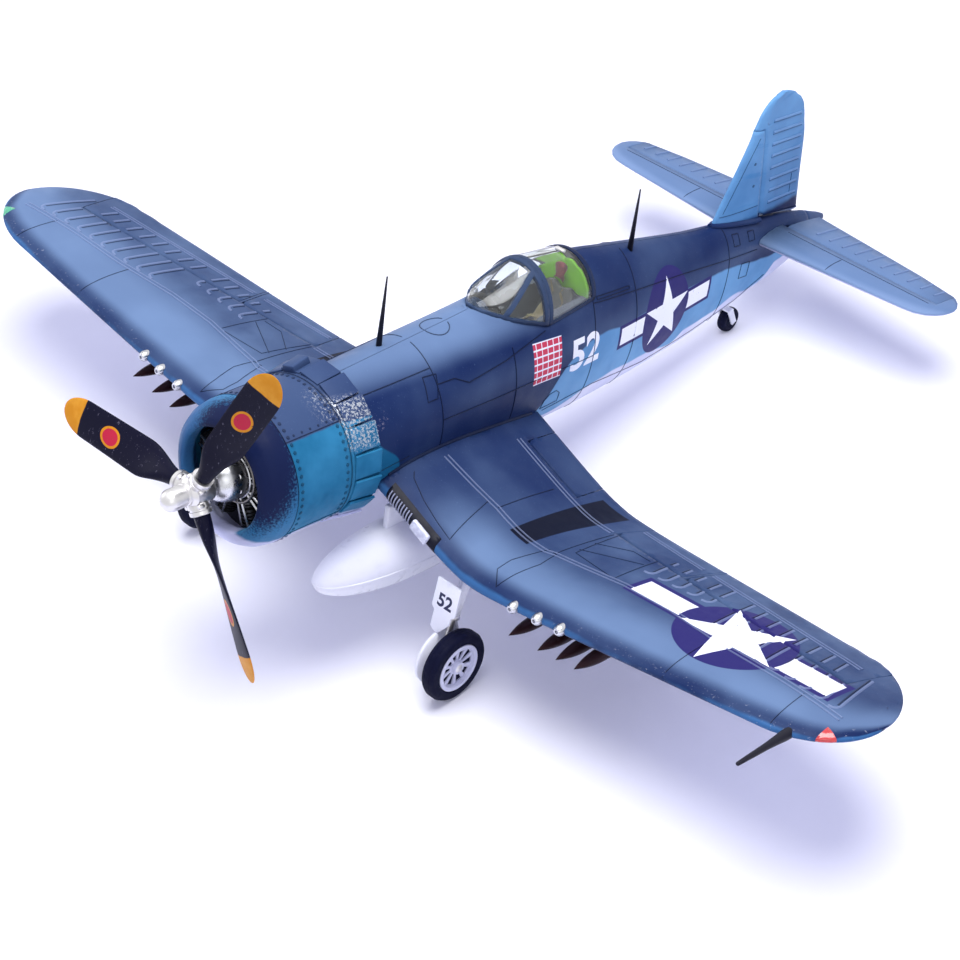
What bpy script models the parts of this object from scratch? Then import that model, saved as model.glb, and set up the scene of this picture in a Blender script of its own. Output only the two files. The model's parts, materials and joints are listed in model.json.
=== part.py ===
"""Radio-controlled model of a gull-winged navy fighter, standing on its three wheels.

Sizes are in metres. The airframe frame used below has X to port, Y aft from the nose of the
propeller hub and Z up from the thrust line. One empty pitches that frame nose-up until the three
wheels stand on Z = 0, and centres the model over the origin.
"""
from math import asin, atan, atan2, cos, hypot, pi, radians, sin, sqrt, tan

import bmesh
import bpy
from mathutils import Matrix, Vector

MM = 0.001

# Clearances
GAP = 0.3 * MM
HINGE_GAP = 0.6 * MM
END_GAP = 0.6 * MM
RUNNING_GAP = 0.9 * MM

# Propeller
PROP_RADIUS = 110.3 * MM
PROP_PLANE_Y = 22.7 * MM
BLADE_COUNT = 3
BLADE_PHASE = radians(28.3)
BLADE_CHORD = 21.5 * MM
BLADE_THICKNESS = 3.4 * MM
SHANK_RADIUS = 4.6 * MM
BARREL_RADIUS = 6.4 * MM
BARREL_LENGTH = 13.5 * MM
HUB_RADIUS = 8.8 * MM
HUB_NOSE_RADIUS = 6.3 * MM
HUB_LENGTH = 31.0 * MM
SHAFT_RADIUS = 2.3 * MM
SHAFT_DEPTH = 12.0 * MM

# Engine bay
COWL_FRONT_Y = 40.0 * MM
COWL_LENGTH = 59.0 * MM
COWL_RADIUS = 42.6 * MM
COWL_WALL = 2.0 * MM
INTAKE_RADIUS = 30.0 * MM
LIP_LENGTH = 16.0 * MM
COWL_FLAP_LENGTH = 19.0 * MM
COWL_FLAP_FLARE = 2.4 * MM
COWL_FLAP_WALL = 1.4 * MM
COWL_FLAP_COUNT = 18
COWL_FLAP_SLIT = 0.9 * MM
FLANGE_THICKNESS = 2.0 * MM
CRANKCASE_RADIUS = 13.5 * MM
CRANKCASE_LENGTH = 20.0 * MM
CYLINDER_COUNT = 9
CYLINDER_RADIUS = 5.2 * MM
CYLINDER_REACH = 36.0 * MM
ENGINE_Y = 58.0 * MM
BAFFLE_THICKNESS = 2.0 * MM
MOTOR_RADIUS = 14.0 * MM
MOTOR_LENGTH = 20.0 * MM
MOTOR_WALL = 1.6 * MM
FIREWALL_THICKNESS = 3.0 * MM
FIREWALL_SETBACK = 7.0 * MM

# Fuselage sections: distance aft, half width, height of the widest line, crown, keel
FUSELAGE_STATIONS = (
    (101.0, 37.3, 0.0, 38.2, -36.8),
    (118.0, 37.4, 1.0, 39.4, -37.4),
    (150.0, 37.0, 1.5, 41.8, -41.0),
    (190.0, 36.0, 2.0, 44.8, -44.5),
    (226.0, 35.0, 3.0, 47.8, -46.2),
    (262.0, 33.2, 4.0, 52.5, -46.8),
    (314.0, 30.8, 5.5, 59.0, -46.8),
    (347.0, 28.0, 6.0, 54.0, -46.0),
    (386.0, 24.4, 6.0, 46.8, -43.6),
    (430.0, 19.4, 7.0, 39.2, -40.0),
    (462.0, 15.4, 8.5, 35.6, -35.0),
    (500.0, 10.4, 11.0, 30.0, -28.0),
    (545.0, 7.0, 11.5, 22.8, -17.0),
    (575.0, 3.6, 8.5, 13.6, -1.5),
    (583.0, 1.6, 8.0, 10.2, 5.6),
)
CROWN_POWER = 1.85
KEEL_POWER = 2.2
FUSELAGE_WALL = 2.0 * MM
FUSELAGE_RING_COUNT = 24
ARC_POINT_COUNT = 13
TAIL_END_Y = FUSELAGE_STATIONS[-1][0] * MM
TAIL_CONE_LENGTH = 23.0 * MM
TAIL_CONE_Y = TAIL_END_Y - TAIL_CONE_LENGTH

# Cockpit
WINDSCREEN_FRONT_Y = 225.0 * MM
WINDSCREEN_FRONT_Z = 47.5 * MM
BOW_Y = 270.5 * MM
BOW_FOOT_Z = 34.0 * MM
BOW_TOP_Z = 67.5 * MM
CANOPY_REAR_Y = 313.5 * MM
CANOPY_REAR_FOOT_Z = 38.5 * MM
CANOPY_REAR_TOP_Z = 62.0 * MM
WINDSCREEN_FRONT_SHARE = 0.5
GLASS_PROUD = 0.8 * MM
GLASS_WALL = 1.4 * MM
CANOPY_POWER = 2.0
TUB_FLOOR_Z = 8.0 * MM
TUB_WALL = 5.0 * MM
TUB_FLOOR = 4.0 * MM
WELL_HALF_WIDTH = 15.0 * MM
WELL_SETBACK = 20.0 * MM
SEAT_WIDTH = 20.0 * MM
SEAT_DEPTH = 22.0 * MM
SEAT_HEIGHT = 31.0 * MM
SEAT_PAN_Z = 12.0 * MM
SEAT_WALL = 2.4 * MM
CUSHION_THICKNESS = 4.0 * MM
HEADREST_PLATE_HEIGHT = 18.5 * MM
HEADREST_PLATE_HALF_WIDTH = 21.0 * MM
PANEL_HEIGHT = 8.0 * MM
PANEL_HALF_WIDTH = 12.0 * MM
SHEET = 2.0 * MM

# Wing
WING_ROOT_X = 26.0 * MM
WING_KNEE_X = 103.0 * MM
WING_TIP_X = 349.0 * MM
LE_ROOT_Y = 128.8 * MM
LE_KNEE_Y = 132.3 * MM
LE_TIP_Y = 138.8 * MM
LE_TIP_START_X = 300.0 * MM
TE_ROOT_Y = 269.5 * MM
TE_KNEE_Y = 267.5 * MM
TE_TIP_Y = 241.0 * MM
TE_TIP_START_X = 285.0 * MM
TIP_Y = 180.0 * MM
KNEE_Z = -49.0 * MM
INNER_SLOPE = -0.418
OUTER_SLOPE = 0.135
KNEE_ROUNDING = 4.0 * MM
INCIDENCE = 0.04
ROOT_THICKNESS = 0.16
TIP_THICKNESS = 0.115
WING_CAMBER = 0.012
TE_THICKNESS = 0.9 * MM

# Wing control surfaces
INNER_HINGE_Y = 245.0 * MM
OUTER_HINGE_START_X = 127.0 * MM
OUTER_HINGE_START_Y = 239.0 * MM
OUTER_HINGE_SLOPE = -0.2
INNER_FLAP_SPAN = (46.0 * MM, 88.0 * MM)
OUTER_FLAP_SPAN = (128.0 * MM, 185.0 * MM)
AILERON_GAP = 2.5 * MM
AILERON_SPAN = (OUTER_FLAP_SPAN[1] + AILERON_GAP, 314.0 * MM)

# Wing fittings
JOINER_Y = 172.0 * MM
JOINER_THICKNESS = 4.0 * MM
JOINER_HEIGHT = 8.0 * MM
JOINER_REACH = 88.0 * MM
AILERON_SERVO_X = 222.0 * MM
AILERON_SERVO = (20.0 * MM, 12.0 * MM, 6.0 * MM)
PITOT_X = 317.0 * MM
PITOT_LENGTH = 40.0 * MM
PITOT_RADIUS = 1.3 * MM
LEFT_ROCKETS = (141.0 * MM, 162.0 * MM, 175.0 * MM, 188.0 * MM)
RIGHT_ROCKETS = (126.5 * MM, 143.5 * MM, 160.0 * MM, 178.0 * MM)
ROCKET_TIP_Y = 131.5 * MM
ROCKET_DROP = 17.0 * MM
ROCKET_RADIUS = 3.9 * MM
ROCKET_LENGTH = 92.0 * MM
ROCKET_NOSE = 22.0 * MM
RAIL_LENGTH = 40.0 * MM
RAIL_THICKNESS = 6.0 * MM

# Drop tank
TANK_X = 40.0 * MM
TANK_NOSE_Y = 82.0 * MM
TANK_LENGTH = 183.0 * MM
TANK_RADIUS = 19.3 * MM
TANK_Z = -64.5 * MM
TANK_FULLEST = 0.4
PYLON_WIDTH = 4.0 * MM
PYLON_LENGTH = 44.0 * MM

# Landing gear
WHEEL_X = 104.5 * MM
WHEEL_Y = 133.0 * MM
WHEEL_Z = -102.9 * MM
WHEEL_RADIUS = 22.0 * MM
TYRE_WIDTH = 9.8 * MM
TYRE_FACET_COUNT = 26
TREAD_WIDTH = 4.0 * MM
RIM_RADIUS = 15.0 * MM
SPOKE_COUNT = 10
SPOKE_GAP_SHARE = 0.6
AXLE_RADIUS = 1.6 * MM
LEG_X = 94.0 * MM
LEG_TOP_Y = 148.0 * MM
LEG_TOP_Z = -50.0 * MM
LEG_RADIUS = 3.4 * MM
OLEO_RADIUS = 2.2 * MM
OLEO_LENGTH = 24.0 * MM
DRUM_RADIUS = 18.0 * MM
DRUM_WIDTH = 2.0 * MM
DOOR_HALF_WIDTH = 8.8 * MM
DOOR_STEP_HALF_WIDTH = 6.4 * MM
DOOR_UPPER_LENGTH = 20.0 * MM
DOOR_LOWER_LENGTH = 12.5 * MM
DOOR_TOP_Y = 132.3 * MM
DOOR_TOP_Z = -53.0 * MM
DOOR_RAKE = radians(8)
DOOR_THICKNESS = 1.6 * MM
TAIL_WHEEL_Y = 495.0 * MM
TAIL_WHEEL_Z = -45.0 * MM
TAIL_WHEEL_RADIUS = 8.7 * MM
TAIL_WHEEL_WIDTH = 6.0 * MM
TAIL_TREAD_WIDTH = 2.4 * MM
TAIL_TRAIL = 6.0 * MM
TAIL_POST_RADIUS = 2.6 * MM
FORK_ARM = 1.6 * MM

# Tail
STAB_TIP_X = 141.5 * MM
STAB_Z = 16.0 * MM
STAB_LE_ROOT_Y = 497.0 * MM
STAB_LE_TIP_Y = 508.5 * MM
STAB_TE_ROOT_Y = 566.0 * MM
STAB_TE_TIP_Y = 553.5 * MM
STAB_TIP_START_X = 118.0 * MM
STAB_TIP_Y = 533.0 * MM
STAB_THICKNESS = 0.13
ELEVATOR_HINGE_Y = 531.0 * MM
ELEVATOR_END_X = 131.0 * MM
ELEVATOR_ROOT_GAP = 2.0 * MM
ELEVATOR_ROD_RADIUS = 1.6 * MM
HORN_LENGTH = 4.2 * MM
HORN_THICKNESS = 1.4 * MM
SPAR_Y = 515.0 * MM
SPAR_RADIUS = 1.8 * MM
SPAR_REACH = 60.0 * MM
RUDDER_HINGE_BASE = (503.8 * MM, 34.0 * MM)
RUDDER_HINGE_TOP = (494.6 * MM, 98.0 * MM)
FIN_LE = ((448.0, 22.0), (455.0, 39.4), (467.0, 62.8), (481.7, 91.0), (487.0, 99.0), (495.7, 106.8),
          (507.0, 113.2))
RUDDER_TE = ((548.5, 22.0), (544.5, 45.1), (540.3, 76.0), (538.4, 92.0), (536.0, 101.0), (529.7, 110.2),
             (522.0, 114.0))
FIN_CROWN_Z = 96.0 * MM
RUDDER_TOP_Z = 113.8 * MM
FIN_HALF_THICKNESS = 4.6 * MM
FIN_TIP_HALF_THICKNESS = 2.4 * MM
RUDDER_POST_RADIUS = 1.6 * MM
RUDDER_POST_DEPTH = 15.0 * MM
RUDDER_FOOT_SHEAR = -0.32

# Masts
FRONT_MAST_PLACE = (-6.0 * MM, 160.5 * MM)
REAR_MAST_PLACE = (6.0 * MM, 364.0 * MM)
FRONT_MAST_HEIGHT = 43.5 * MM
REAR_MAST_HEIGHT = 39.5 * MM
MAST_RADIUS = 1.9 * MM
MAST_TIP_RADIUS = 0.5 * MM

# Equipment
TRAY_FRONT_Y = 118.0 * MM
TRAY_LENGTH = 137.0 * MM
TRAY_THICKNESS = 2.0 * MM
BATTERY = (26.0 * MM, 62.0 * MM, 14.0 * MM)
RECEIVER = (28.0 * MM, 30.0 * MM, 11.0 * MM)
SERVO = (8.5 * MM, 24.0 * MM, 11.0 * MM)
SERVO_FRONT_Y = 326.0 * MM
SERVO_TRAY_Z = 5.0 * MM
SERVO_TRAY_LENGTH = 36.0 * MM
PUSHROD_RADIUS = 0.9 * MM
ELEVATOR_ROD_X = 3.0 * MM
RUDDER_ROD_X = -4.2 * MM
HATCH_FRONT_Y = 186.0 * MM
HATCH_LENGTH = 66.0 * MM
HATCH_HALF_WIDTH = 15.0 * MM

# Resolution
ROUND_COUNT = 32
SMALL_ROUND_COUNT = 16

MATERIALS = {
    "sea_blue": ((0.035, 0.075, 0.16), 0.45, 0.0),
    "sky_blue": ((0.13, 0.34, 0.55), 0.5, 0.0),
    "white": ((0.82, 0.83, 0.86), 0.4, 0.0),
    "black": ((0.015, 0.015, 0.02), 0.55, 0.0),
    "rubber": ((0.02, 0.02, 0.03), 0.75, 0.0),
    "chrome": ((0.78, 0.79, 0.82), 0.2, 1.0),
    "engine_grey": ((0.12, 0.13, 0.15), 0.5, 0.6),
    "clear": ((0.85, 0.9, 0.92), 0.08, 0.0),
    "green": ((0.3, 0.62, 0.08), 0.6, 0.0),
    "khaki": ((0.45, 0.39, 0.24), 0.8, 0.0),
    "maroon": ((0.25, 0.05, 0.06), 0.6, 0.0),
    "equipment": ((0.2, 0.21, 0.24), 0.6, 0.0),
    "wood": ((0.55, 0.42, 0.26), 0.7, 0.0),
}


def clear_scene():
    for obj in list(bpy.data.objects):
        bpy.data.objects.remove(obj, do_unlink=True)


def make_collection(name):
    collection = bpy.data.collections.new(name)
    bpy.context.scene.collection.children.link(collection)
    return collection


def make_material(name):
    colour, roughness, metallic = MATERIALS[name]
    material = bpy.data.materials.get(name) or bpy.data.materials.new(name)
    material.use_nodes = True
    shader = material.node_tree.nodes["Principled BSDF"]
    shader.inputs["Base Color"].default_value = (*colour, 1.0)
    shader.inputs["Roughness"].default_value = roughness
    shader.inputs["Metallic"].default_value = metallic
    return material


clear_scene()
PARTS = make_collection("rc_warbird_plane")
CUTTERS = make_collection("cutters")


# The pitch that sets the main and tail wheels on one level plane, and the empty that holds it
wheelbase = hypot(TAIL_WHEEL_Y - WHEEL_Y, TAIL_WHEEL_Z - WHEEL_Z)
PITCH = (atan2(TAIL_WHEEL_Z - WHEEL_Z, TAIL_WHEEL_Y - WHEEL_Y)
         + asin((WHEEL_RADIUS - TAIL_WHEEL_RADIUS) / wheelbase))
DATUM = bpy.data.objects.new("airframe_datum", None)
DATUM.rotation_euler.x = -PITCH
DATUM.location.y = -0.5 * TAIL_END_Y * cos(PITCH)
DATUM.location.z = WHEEL_RADIUS + WHEEL_Y * sin(PITCH) - WHEEL_Z * cos(PITCH)
PARTS.objects.link(DATUM)


def place(name, mesh, material, matrix=None, cutter=False):
    """One object under the airframe datum: a part, or a hidden cutter when cutter is set."""
    obj = bpy.data.objects.new(name, mesh)
    obj.parent = DATUM
    obj.matrix_local = matrix or Matrix.Identity(4)
    if material:
        mesh.materials.append(make_material(material))
    if cutter:
        hide(obj)
    else:
        PARTS.objects.link(obj)
    return obj


def hide(obj):
    for collection in list(obj.users_collection):
        collection.objects.unlink(obj)
    CUTTERS.objects.link(obj)
    obj.hide_render = True
    obj.display_type = "WIRE"


def boolean(obj, operation, others):
    """Cut others from obj, or unite them with it; each other becomes a hidden helper."""
    for other in others:
        modifier = obj.modifiers.new(operation.lower(), "BOOLEAN")
        modifier.operation = operation
        modifier.object = other
        if CUTTERS not in other.users_collection:
            hide(other)
    return obj


def cut(obj, *cutters):
    return boolean(obj, "DIFFERENCE", cutters)


def unite(obj, *others):
    return boolean(obj, "UNION", others)


def finish_mesh(name, build, smooth_angle=35):
    """A mesh from a bmesh, faces out, shaded smooth across shallow edges."""
    bmesh.ops.recalc_face_normals(build, faces=build.faces)
    mesh = bpy.data.meshes.new(name)
    build.to_mesh(mesh)
    build.free()
    mesh.shade_smooth()
    mesh.set_sharp_from_angle(angle=radians(smooth_angle))
    return mesh


def loft(name, rings, material=None, matrix=None, cutter=False):
    """A closed solid through a row of rings with equal point counts."""
    build = bmesh.new()
    rows = [[build.verts.new(point) for point in ring] for ring in rings]
    for near, far in zip(rows, rows[1:]):
        for i, corner in enumerate(near):
            j = (i + 1) % len(near)
            build.faces.new((corner, near[j], far[j], far[i]))
    build.faces.new(rows[0])
    build.faces.new(rows[-1])
    return place(name, finish_mesh(name, build), material, matrix, cutter)


def box(name, size, centre, material=None, matrix=None, cutter=False, bevel=0.0):
    build = bmesh.new()
    bmesh.ops.create_cube(build, size=1.0)
    bmesh.ops.scale(build, vec=size, verts=build.verts)
    bmesh.ops.translate(build, vec=centre, verts=build.verts)
    obj = place(name, finish_mesh(name, build), material, matrix, cutter)
    if bevel:
        rounding = obj.modifiers.new("rounding", "BEVEL")
        rounding.width = bevel
        rounding.segments = 2
    return obj


def rod(name, start, end, radius, material=None, end_radius=None, cutter=False, sides=SMALL_ROUND_COUNT):
    """A straight round bar or cone between two points, with its origin at the start."""
    start = Vector(start)
    along = Vector(end) - start
    build = bmesh.new()
    bmesh.ops.create_cone(build, cap_ends=True, segments=sides, radius1=radius,
                          radius2=radius if end_radius is None else end_radius, depth=along.length)
    bmesh.ops.translate(build, vec=(0, 0, along.length / 2), verts=build.verts)
    turn = along.to_track_quat("Z", "Y").to_matrix().to_4x4()
    return place(name, finish_mesh(name, build), material, Matrix.Translation(start) @ turn, cutter)


def turned(name, profile, matrix, material=None, sides=ROUND_COUNT, cutter=False):
    """A turned solid: a profile of (radius, height) run down its outer side, spun about local Z."""
    build = bmesh.new()
    points = [build.verts.new((radius, 0, height)) for radius, height in profile]
    for a, b in zip(points, points[1:]):
        build.edges.new((a, b))
    if profile[0][0] > 0:
        build.edges.new((points[-1], points[0]))
    mesh = bpy.data.meshes.new(name)
    build.to_mesh(mesh)
    build.free()
    obj = place(name, mesh, material, matrix, cutter)
    screw = obj.modifiers.new("turn", "SCREW")
    screw.axis = "Z"
    screw.angle = 2 * pi
    screw.steps = sides
    screw.render_steps = sides
    screw.use_merge_vertices = True
    screw.merge_threshold = 0.01 * MM
    screw.use_smooth_shade = True
    return obj


def prism_x(name, outline, half_width, material=None, cutter=False, bevel=0.0):
    """A side-view outline of (y, z) points extruded across the model."""
    rings = [[(x, y, z) for y, z in outline] for x in (-half_width, half_width)]
    obj = loft(name, rings, material, None, cutter)
    if bevel:
        rounding = obj.modifiers.new("rounding", "BEVEL")
        rounding.width = bevel
        rounding.segments = 2
    return obj


def facing_forward(x=0.0, z=0.0, y=0.0):
    """Local Z points forward, so a profile height of -d lies d aft of y."""
    return Matrix.Translation((x, y, z)) @ Matrix.Rotation(pi / 2, 4, "X")


def on_axle(x, y, z, facets):
    """Local Z along the axle, with a flat of the faceted tread straight down on the ground."""
    level = Matrix.Rotation(PITCH, 4, "X") @ Matrix.Rotation(pi / 2, 4, "Y")
    return Matrix.Translation((x, y, z)) @ level @ Matrix.Rotation(pi / facets, 4, "Z")


def between(value, low, high):
    return low[1] + (value - low[0]) * (high[1] - low[1]) / (high[0] - low[0])


def polyline(points, value, key):
    """The other coordinate of a polyline of (y, z) points in millimetres, at y or z = value."""
    rows = sorted((p[key] * MM, p[1 - key] * MM) for p in points)
    for low, high in zip(rows, rows[1:]):
        if value <= high[0]:
            break
    return between(value, low, high)


# Fuselage sections

def station(y):
    """Half width, widest line, crown and keel at y, on a smooth curve through the stations."""
    rows = [[value * MM for value in row] for row in FUSELAGE_STATIONS]
    last = len(rows) - 1
    i = max(k for k in range(last) if rows[k][0] <= y or k == 0)
    slope = [None, None]
    for n, k in enumerate((i, i + 1)):
        low, high = rows[max(k - 1, 0)], rows[min(k + 1, last)]
        slope[n] = [(b - a) / (high[0] - low[0]) for a, b in zip(low[1:], high[1:])]
    span = rows[i + 1][0] - rows[i][0]
    t = (y - rows[i][0]) / span
    blend = (2 * t**3 - 3 * t**2 + 1, t**3 - 2 * t**2 + t, -2 * t**3 + 3 * t**2, t**3 - t**2)
    return [blend[0] * a + blend[1] * span * m + blend[2] * b + blend[3] * span * n
            for a, m, b, n in zip(rows[i][1:], slope[0], rows[i + 1][1:], slope[1])]


def hull_point(y, angle, offset=0.0):
    """A point on the fuselage section at y; angle 0 is to port and a quarter turn is the crown."""
    width, middle, crown, keel = station(y)
    c, s = cos(angle), sin(angle)
    power = CROWN_POWER if s >= 0 else KEEL_POWER
    height = (crown - middle if s >= 0 else middle - keel) + offset
    across = abs(c) ** (2 / power) * (width + offset)
    up = abs(s) ** (2 / power) * height
    return Vector((across if c >= 0 else -across, y, middle + (up if s >= 0 else -up)))


def half_width_at(y, z, offset=0.0):
    width, middle, crown, keel = station(y)
    power = CROWN_POWER if z >= middle else KEEL_POWER
    height = (crown - middle if z >= middle else middle - keel) + offset
    share = min(abs(z - middle) / height, 1.0)
    return (width + offset) * (1 - share**power) ** (1 / power)


def keel_at(y, x, offset=0.0):
    width, middle, _, keel = station(y)
    share = min(abs(x) / (width + offset), 1.0)
    return middle - (middle - keel + offset) * (1 - share**KEEL_POWER) ** (1 / KEEL_POWER)


def hull_ring(y, offset, count=2 * (ARC_POINT_COUNT - 1)):
    return [hull_point(y, 2 * pi * i / count, offset) for i in range(count)]


def steps(first, last, count):
    return [first + (last - first) * i / (count - 1) for i in range(count)]


FUSELAGE_FRONT_Y = COWL_FRONT_Y + COWL_LENGTH + FLANGE_THICKNESS + 2 * GAP
FUSELAGE_INSIDE = -(FUSELAGE_WALL + 2 * GAP)


def fuselage_clearance():
    """The fuselage's outer form, grown by the gap that its neighbours keep to it."""
    rows = steps(FUSELAGE_FRONT_Y, TAIL_CONE_Y, FUSELAGE_RING_COUNT) + steps(TAIL_CONE_Y, TAIL_END_Y, 5)[1:]
    return loft("fuselage_clearance", [hull_ring(y, GAP) for y in rows], cutter=True)


FUSELAGE_CLEAR = fuselage_clearance()


def windscreen_base(y):
    return between(y, (WINDSCREEN_FRONT_Y, WINDSCREEN_FRONT_Z), (BOW_Y, BOW_FOOT_Z))


def canopy_sill(y):
    return between(y, (BOW_Y, BOW_FOOT_Z), (CANOPY_REAR_Y, CANOPY_REAR_FOOT_Z))


def cockpit_opening():
    high = 2 * BOW_TOP_Z
    outline = [(WINDSCREEN_FRONT_Y - SHEET, windscreen_base(WINDSCREEN_FRONT_Y - SHEET)),
               (BOW_Y, BOW_FOOT_Z), (CANOPY_REAR_Y, CANOPY_REAR_FOOT_Z),
               (CANOPY_REAR_Y, high), (WINDSCREEN_FRONT_Y - SHEET, high)]
    return prism_x("cockpit_opening", outline, 2 * COWL_RADIUS, cutter=True)


# Wing sections

def knee_height(x):
    """Height of the leading edge: two straight panels meeting in a rounded knee."""
    inner = KNEE_Z + INNER_SLOPE * (x - WING_KNEE_X)
    outer = KNEE_Z + OUTER_SLOPE * (x - WING_KNEE_X)
    return (inner + outer) / 2 + sqrt(((inner - outer) / 2) ** 2 + KNEE_ROUNDING**2)


def leading_edge(x):
    if x <= WING_KNEE_X:
        return between(x, (0.0, LE_ROOT_Y), (WING_KNEE_X, LE_KNEE_Y))
    if x <= LE_TIP_START_X:
        return between(x, (WING_KNEE_X, LE_KNEE_Y), (LE_TIP_START_X, LE_TIP_Y))
    share = (x - LE_TIP_START_X) / (WING_TIP_X - LE_TIP_START_X)
    return TIP_Y - (TIP_Y - LE_TIP_Y) * sqrt(max(1 - share**2, 0.0))


def trailing_edge(x):
    if x <= WING_KNEE_X:
        return between(x, (0.0, TE_ROOT_Y), (WING_KNEE_X, TE_KNEE_Y))
    if x <= TE_TIP_START_X:
        return between(x, (WING_KNEE_X, TE_KNEE_Y), (TE_TIP_START_X, TE_TIP_Y))
    share = (x - TE_TIP_START_X) / (WING_TIP_X - TE_TIP_START_X)
    return TIP_Y + (TE_TIP_Y - TIP_Y) * sqrt(max(1 - share**2, 0.0))


def thickness_form(u):
    """Half thickness of a streamlined section of unit thickness, at the chord share u."""
    return 5 * (0.2969 * sqrt(u) - 0.126 * u - 0.3516 * u**2 + 0.2843 * u**3 - 0.1015 * u**4)


def wing_heights(x, u, grow=0.0):
    """Lower and upper surface heights at span x and chord share u."""
    chord = trailing_edge(x) - leading_edge(x)
    ratio = between(x, (0.0, ROOT_THICKNESS), (WING_TIP_X, TIP_THICKNESS))
    half = thickness_form(u) * ratio * chord + u * TE_THICKNESS / 2 + grow
    middle = knee_height(x) - INCIDENCE * chord * u + 4 * WING_CAMBER * chord * u * (1 - u)
    return middle - half, middle + half


def wing_height(x, y, grow=0.0):
    front, back = leading_edge(x), trailing_edge(x)
    u = min(max((y - front) / (back - front), 0.0), 1.0)
    return wing_heights(x, u, grow)


CHORD_SHARES = (1.0, 0.84, 0.66, 0.48, 0.32, 0.18, 0.08, 0.03, 0.008)


def wing_ring(x, side, grow=0.0):
    front, back = leading_edge(x) - grow, trailing_edge(x) + grow
    upper = [(side * x, front + u * (back - front), wing_heights(x, u, grow)[1]) for u in CHORD_SHARES]
    lower = [(side * x, front + u * (back - front), wing_heights(x, u, grow)[0]) for u in CHORD_SHARES]
    nose = [(side * x, front, wing_heights(x, 0.0)[1])]
    return upper + nose + lower[::-1]


KNEE_SHARES = (0.63, 0.78, 0.875, 0.94, 1.0, 1.06, 1.125, 1.23)
OUTER_PANEL_SHARE = 1.44


def wing_spans():
    """Span stations, close together round the knee and the rounded tip."""
    knee = [WING_KNEE_X * share for share in KNEE_SHARES]
    middle = steps(WING_KNEE_X * OUTER_PANEL_SHARE, LE_TIP_START_X, 4)
    tip = [LE_TIP_START_X + (WING_TIP_X - LE_TIP_START_X) * sin(k * pi / 12) for k in (2, 3, 4, 5)]
    return [WING_ROOT_X] + knee + middle + tip + [WING_TIP_X - 0.4 * MM]


def wing_clearance(name, side):
    return loft(name, [wing_ring(x, side, GAP) for x in wing_spans()], cutter=True)


WING_CLEAR = {1: wing_clearance("left_wing_clearance", 1), -1: wing_clearance("right_wing_clearance", -1)}
SIDES = ((1, "left"), (-1, "right"))


# Hinged surfaces

def hinge_matrix(start, end):
    """Local X along the hinge, local Y aft along the chord, local Z square to both."""
    axis = (Vector(end) - Vector(start)).normalized()
    aft = Vector((0, 1, 0))
    aft = (aft - axis * aft.dot(axis)).normalized()
    matrix = Matrix((axis, aft, axis.cross(aft))).transposed().to_4x4()
    matrix.translation = Vector(start)
    return matrix


NOSE_ARC = [pi * k / 4 for k in range(5)]
FLANK_SHARES = (1.0, 0.6, 0.25)


def surface_ring(s, nose, upper, lower, shear=0.0):
    """A hinged section: flanks to the trailing edge and a round nose about the hinge line."""
    points = upper + [(-nose * sin(a), nose * cos(a)) for a in NOSE_ARC] + lower[::-1]
    return [(s + shear * back, back, up) for back, up in points]


def notch_ring(s, nose, reach, height):
    front = -(nose + HINGE_GAP)
    return [(s, front, -height), (s, reach, -height), (s, reach, height), (s, front, height)]


def wing_surface(name, side, hinge_y, span, material):
    """A flap or aileron shaped from the wing's own section, and the notch it needs in the wing."""
    def hinge_point(x):
        y = hinge_y(x)
        return Vector((side * x, y, sum(wing_height(x, y)) / 2))

    ends = sorted((hinge_point(x) for x in span), key=lambda p: p.x)
    matrix = hinge_matrix(*ends)
    inverse = matrix.inverted()
    rings, notches = [], []
    length = (ends[1] - ends[0]).length
    count = 5
    for k, share in enumerate(steps(0.0, 1.0, count)):
        point = ends[0].lerp(ends[1], share)
        x = abs(point.x)
        low, high = wing_height(x, point.y)
        nose = 0.46 * (high - low) * matrix[2][2]
        reach = trailing_edge(x) - point.y
        flank = {"low": [], "high": []}
        for part in FLANK_SHARES:
            y = point.y + part * reach
            for which, z in zip(("low", "high"), wing_height(x, y)):
                local = inverse @ Vector((point.x, y, z))
                flank[which].append((local.y, local.z))
        rings.append(surface_ring(share * length, nose, flank["high"], flank["low"]))
        if k in (0, count - 1):
            s = -END_GAP if k == 0 else length + END_GAP
            notches.append(notch_ring(s, nose, 2 * reach, 4 * nose))
    loft(name, rings, material, matrix)
    return loft(name + "_notch", notches, None, matrix, cutter=True)


def inner_hinge(x):
    return INNER_HINGE_Y


def outer_hinge(x):
    return OUTER_HINGE_START_Y + OUTER_HINGE_SLOPE * (x - OUTER_HINGE_START_X)


# Fuselage

def fuselage_arc(y, offset, side):
    points = [hull_point(y, a, offset) for a in steps(-pi / 2, pi / 2, ARC_POINT_COUNT)]
    return [(side * max(p.x, GAP / 2), p.y, p.z) for p in points]


def make_fuselage(cutters):
    for side, word in SIDES:
        rings = []
        for y in steps(FUSELAGE_FRONT_Y, TAIL_CONE_Y, FUSELAGE_RING_COUNT):
            rings.append(fuselage_arc(y, 0.0, side) + fuselage_arc(y, -FUSELAGE_WALL, side)[::-1])
        cut(loft(f"fuselage_{word}_shell", rings, "sea_blue"), *cutters)


def make_tail_cone():
    rings = [hull_ring(y, 0.0, ARC_POINT_COUNT + 3) for y in steps(TAIL_CONE_Y + GAP, TAIL_END_Y, 5)]
    loft("tail_cone", rings, "sea_blue")


def make_firewall():
    front = FUSELAGE_FRONT_Y + FIREWALL_SETBACK
    rings = [hull_ring(y, FUSELAGE_INSIDE) for y in (front, front + FIREWALL_THICKNESS)]
    loft("firewall", rings, "wood")
    return front


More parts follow.
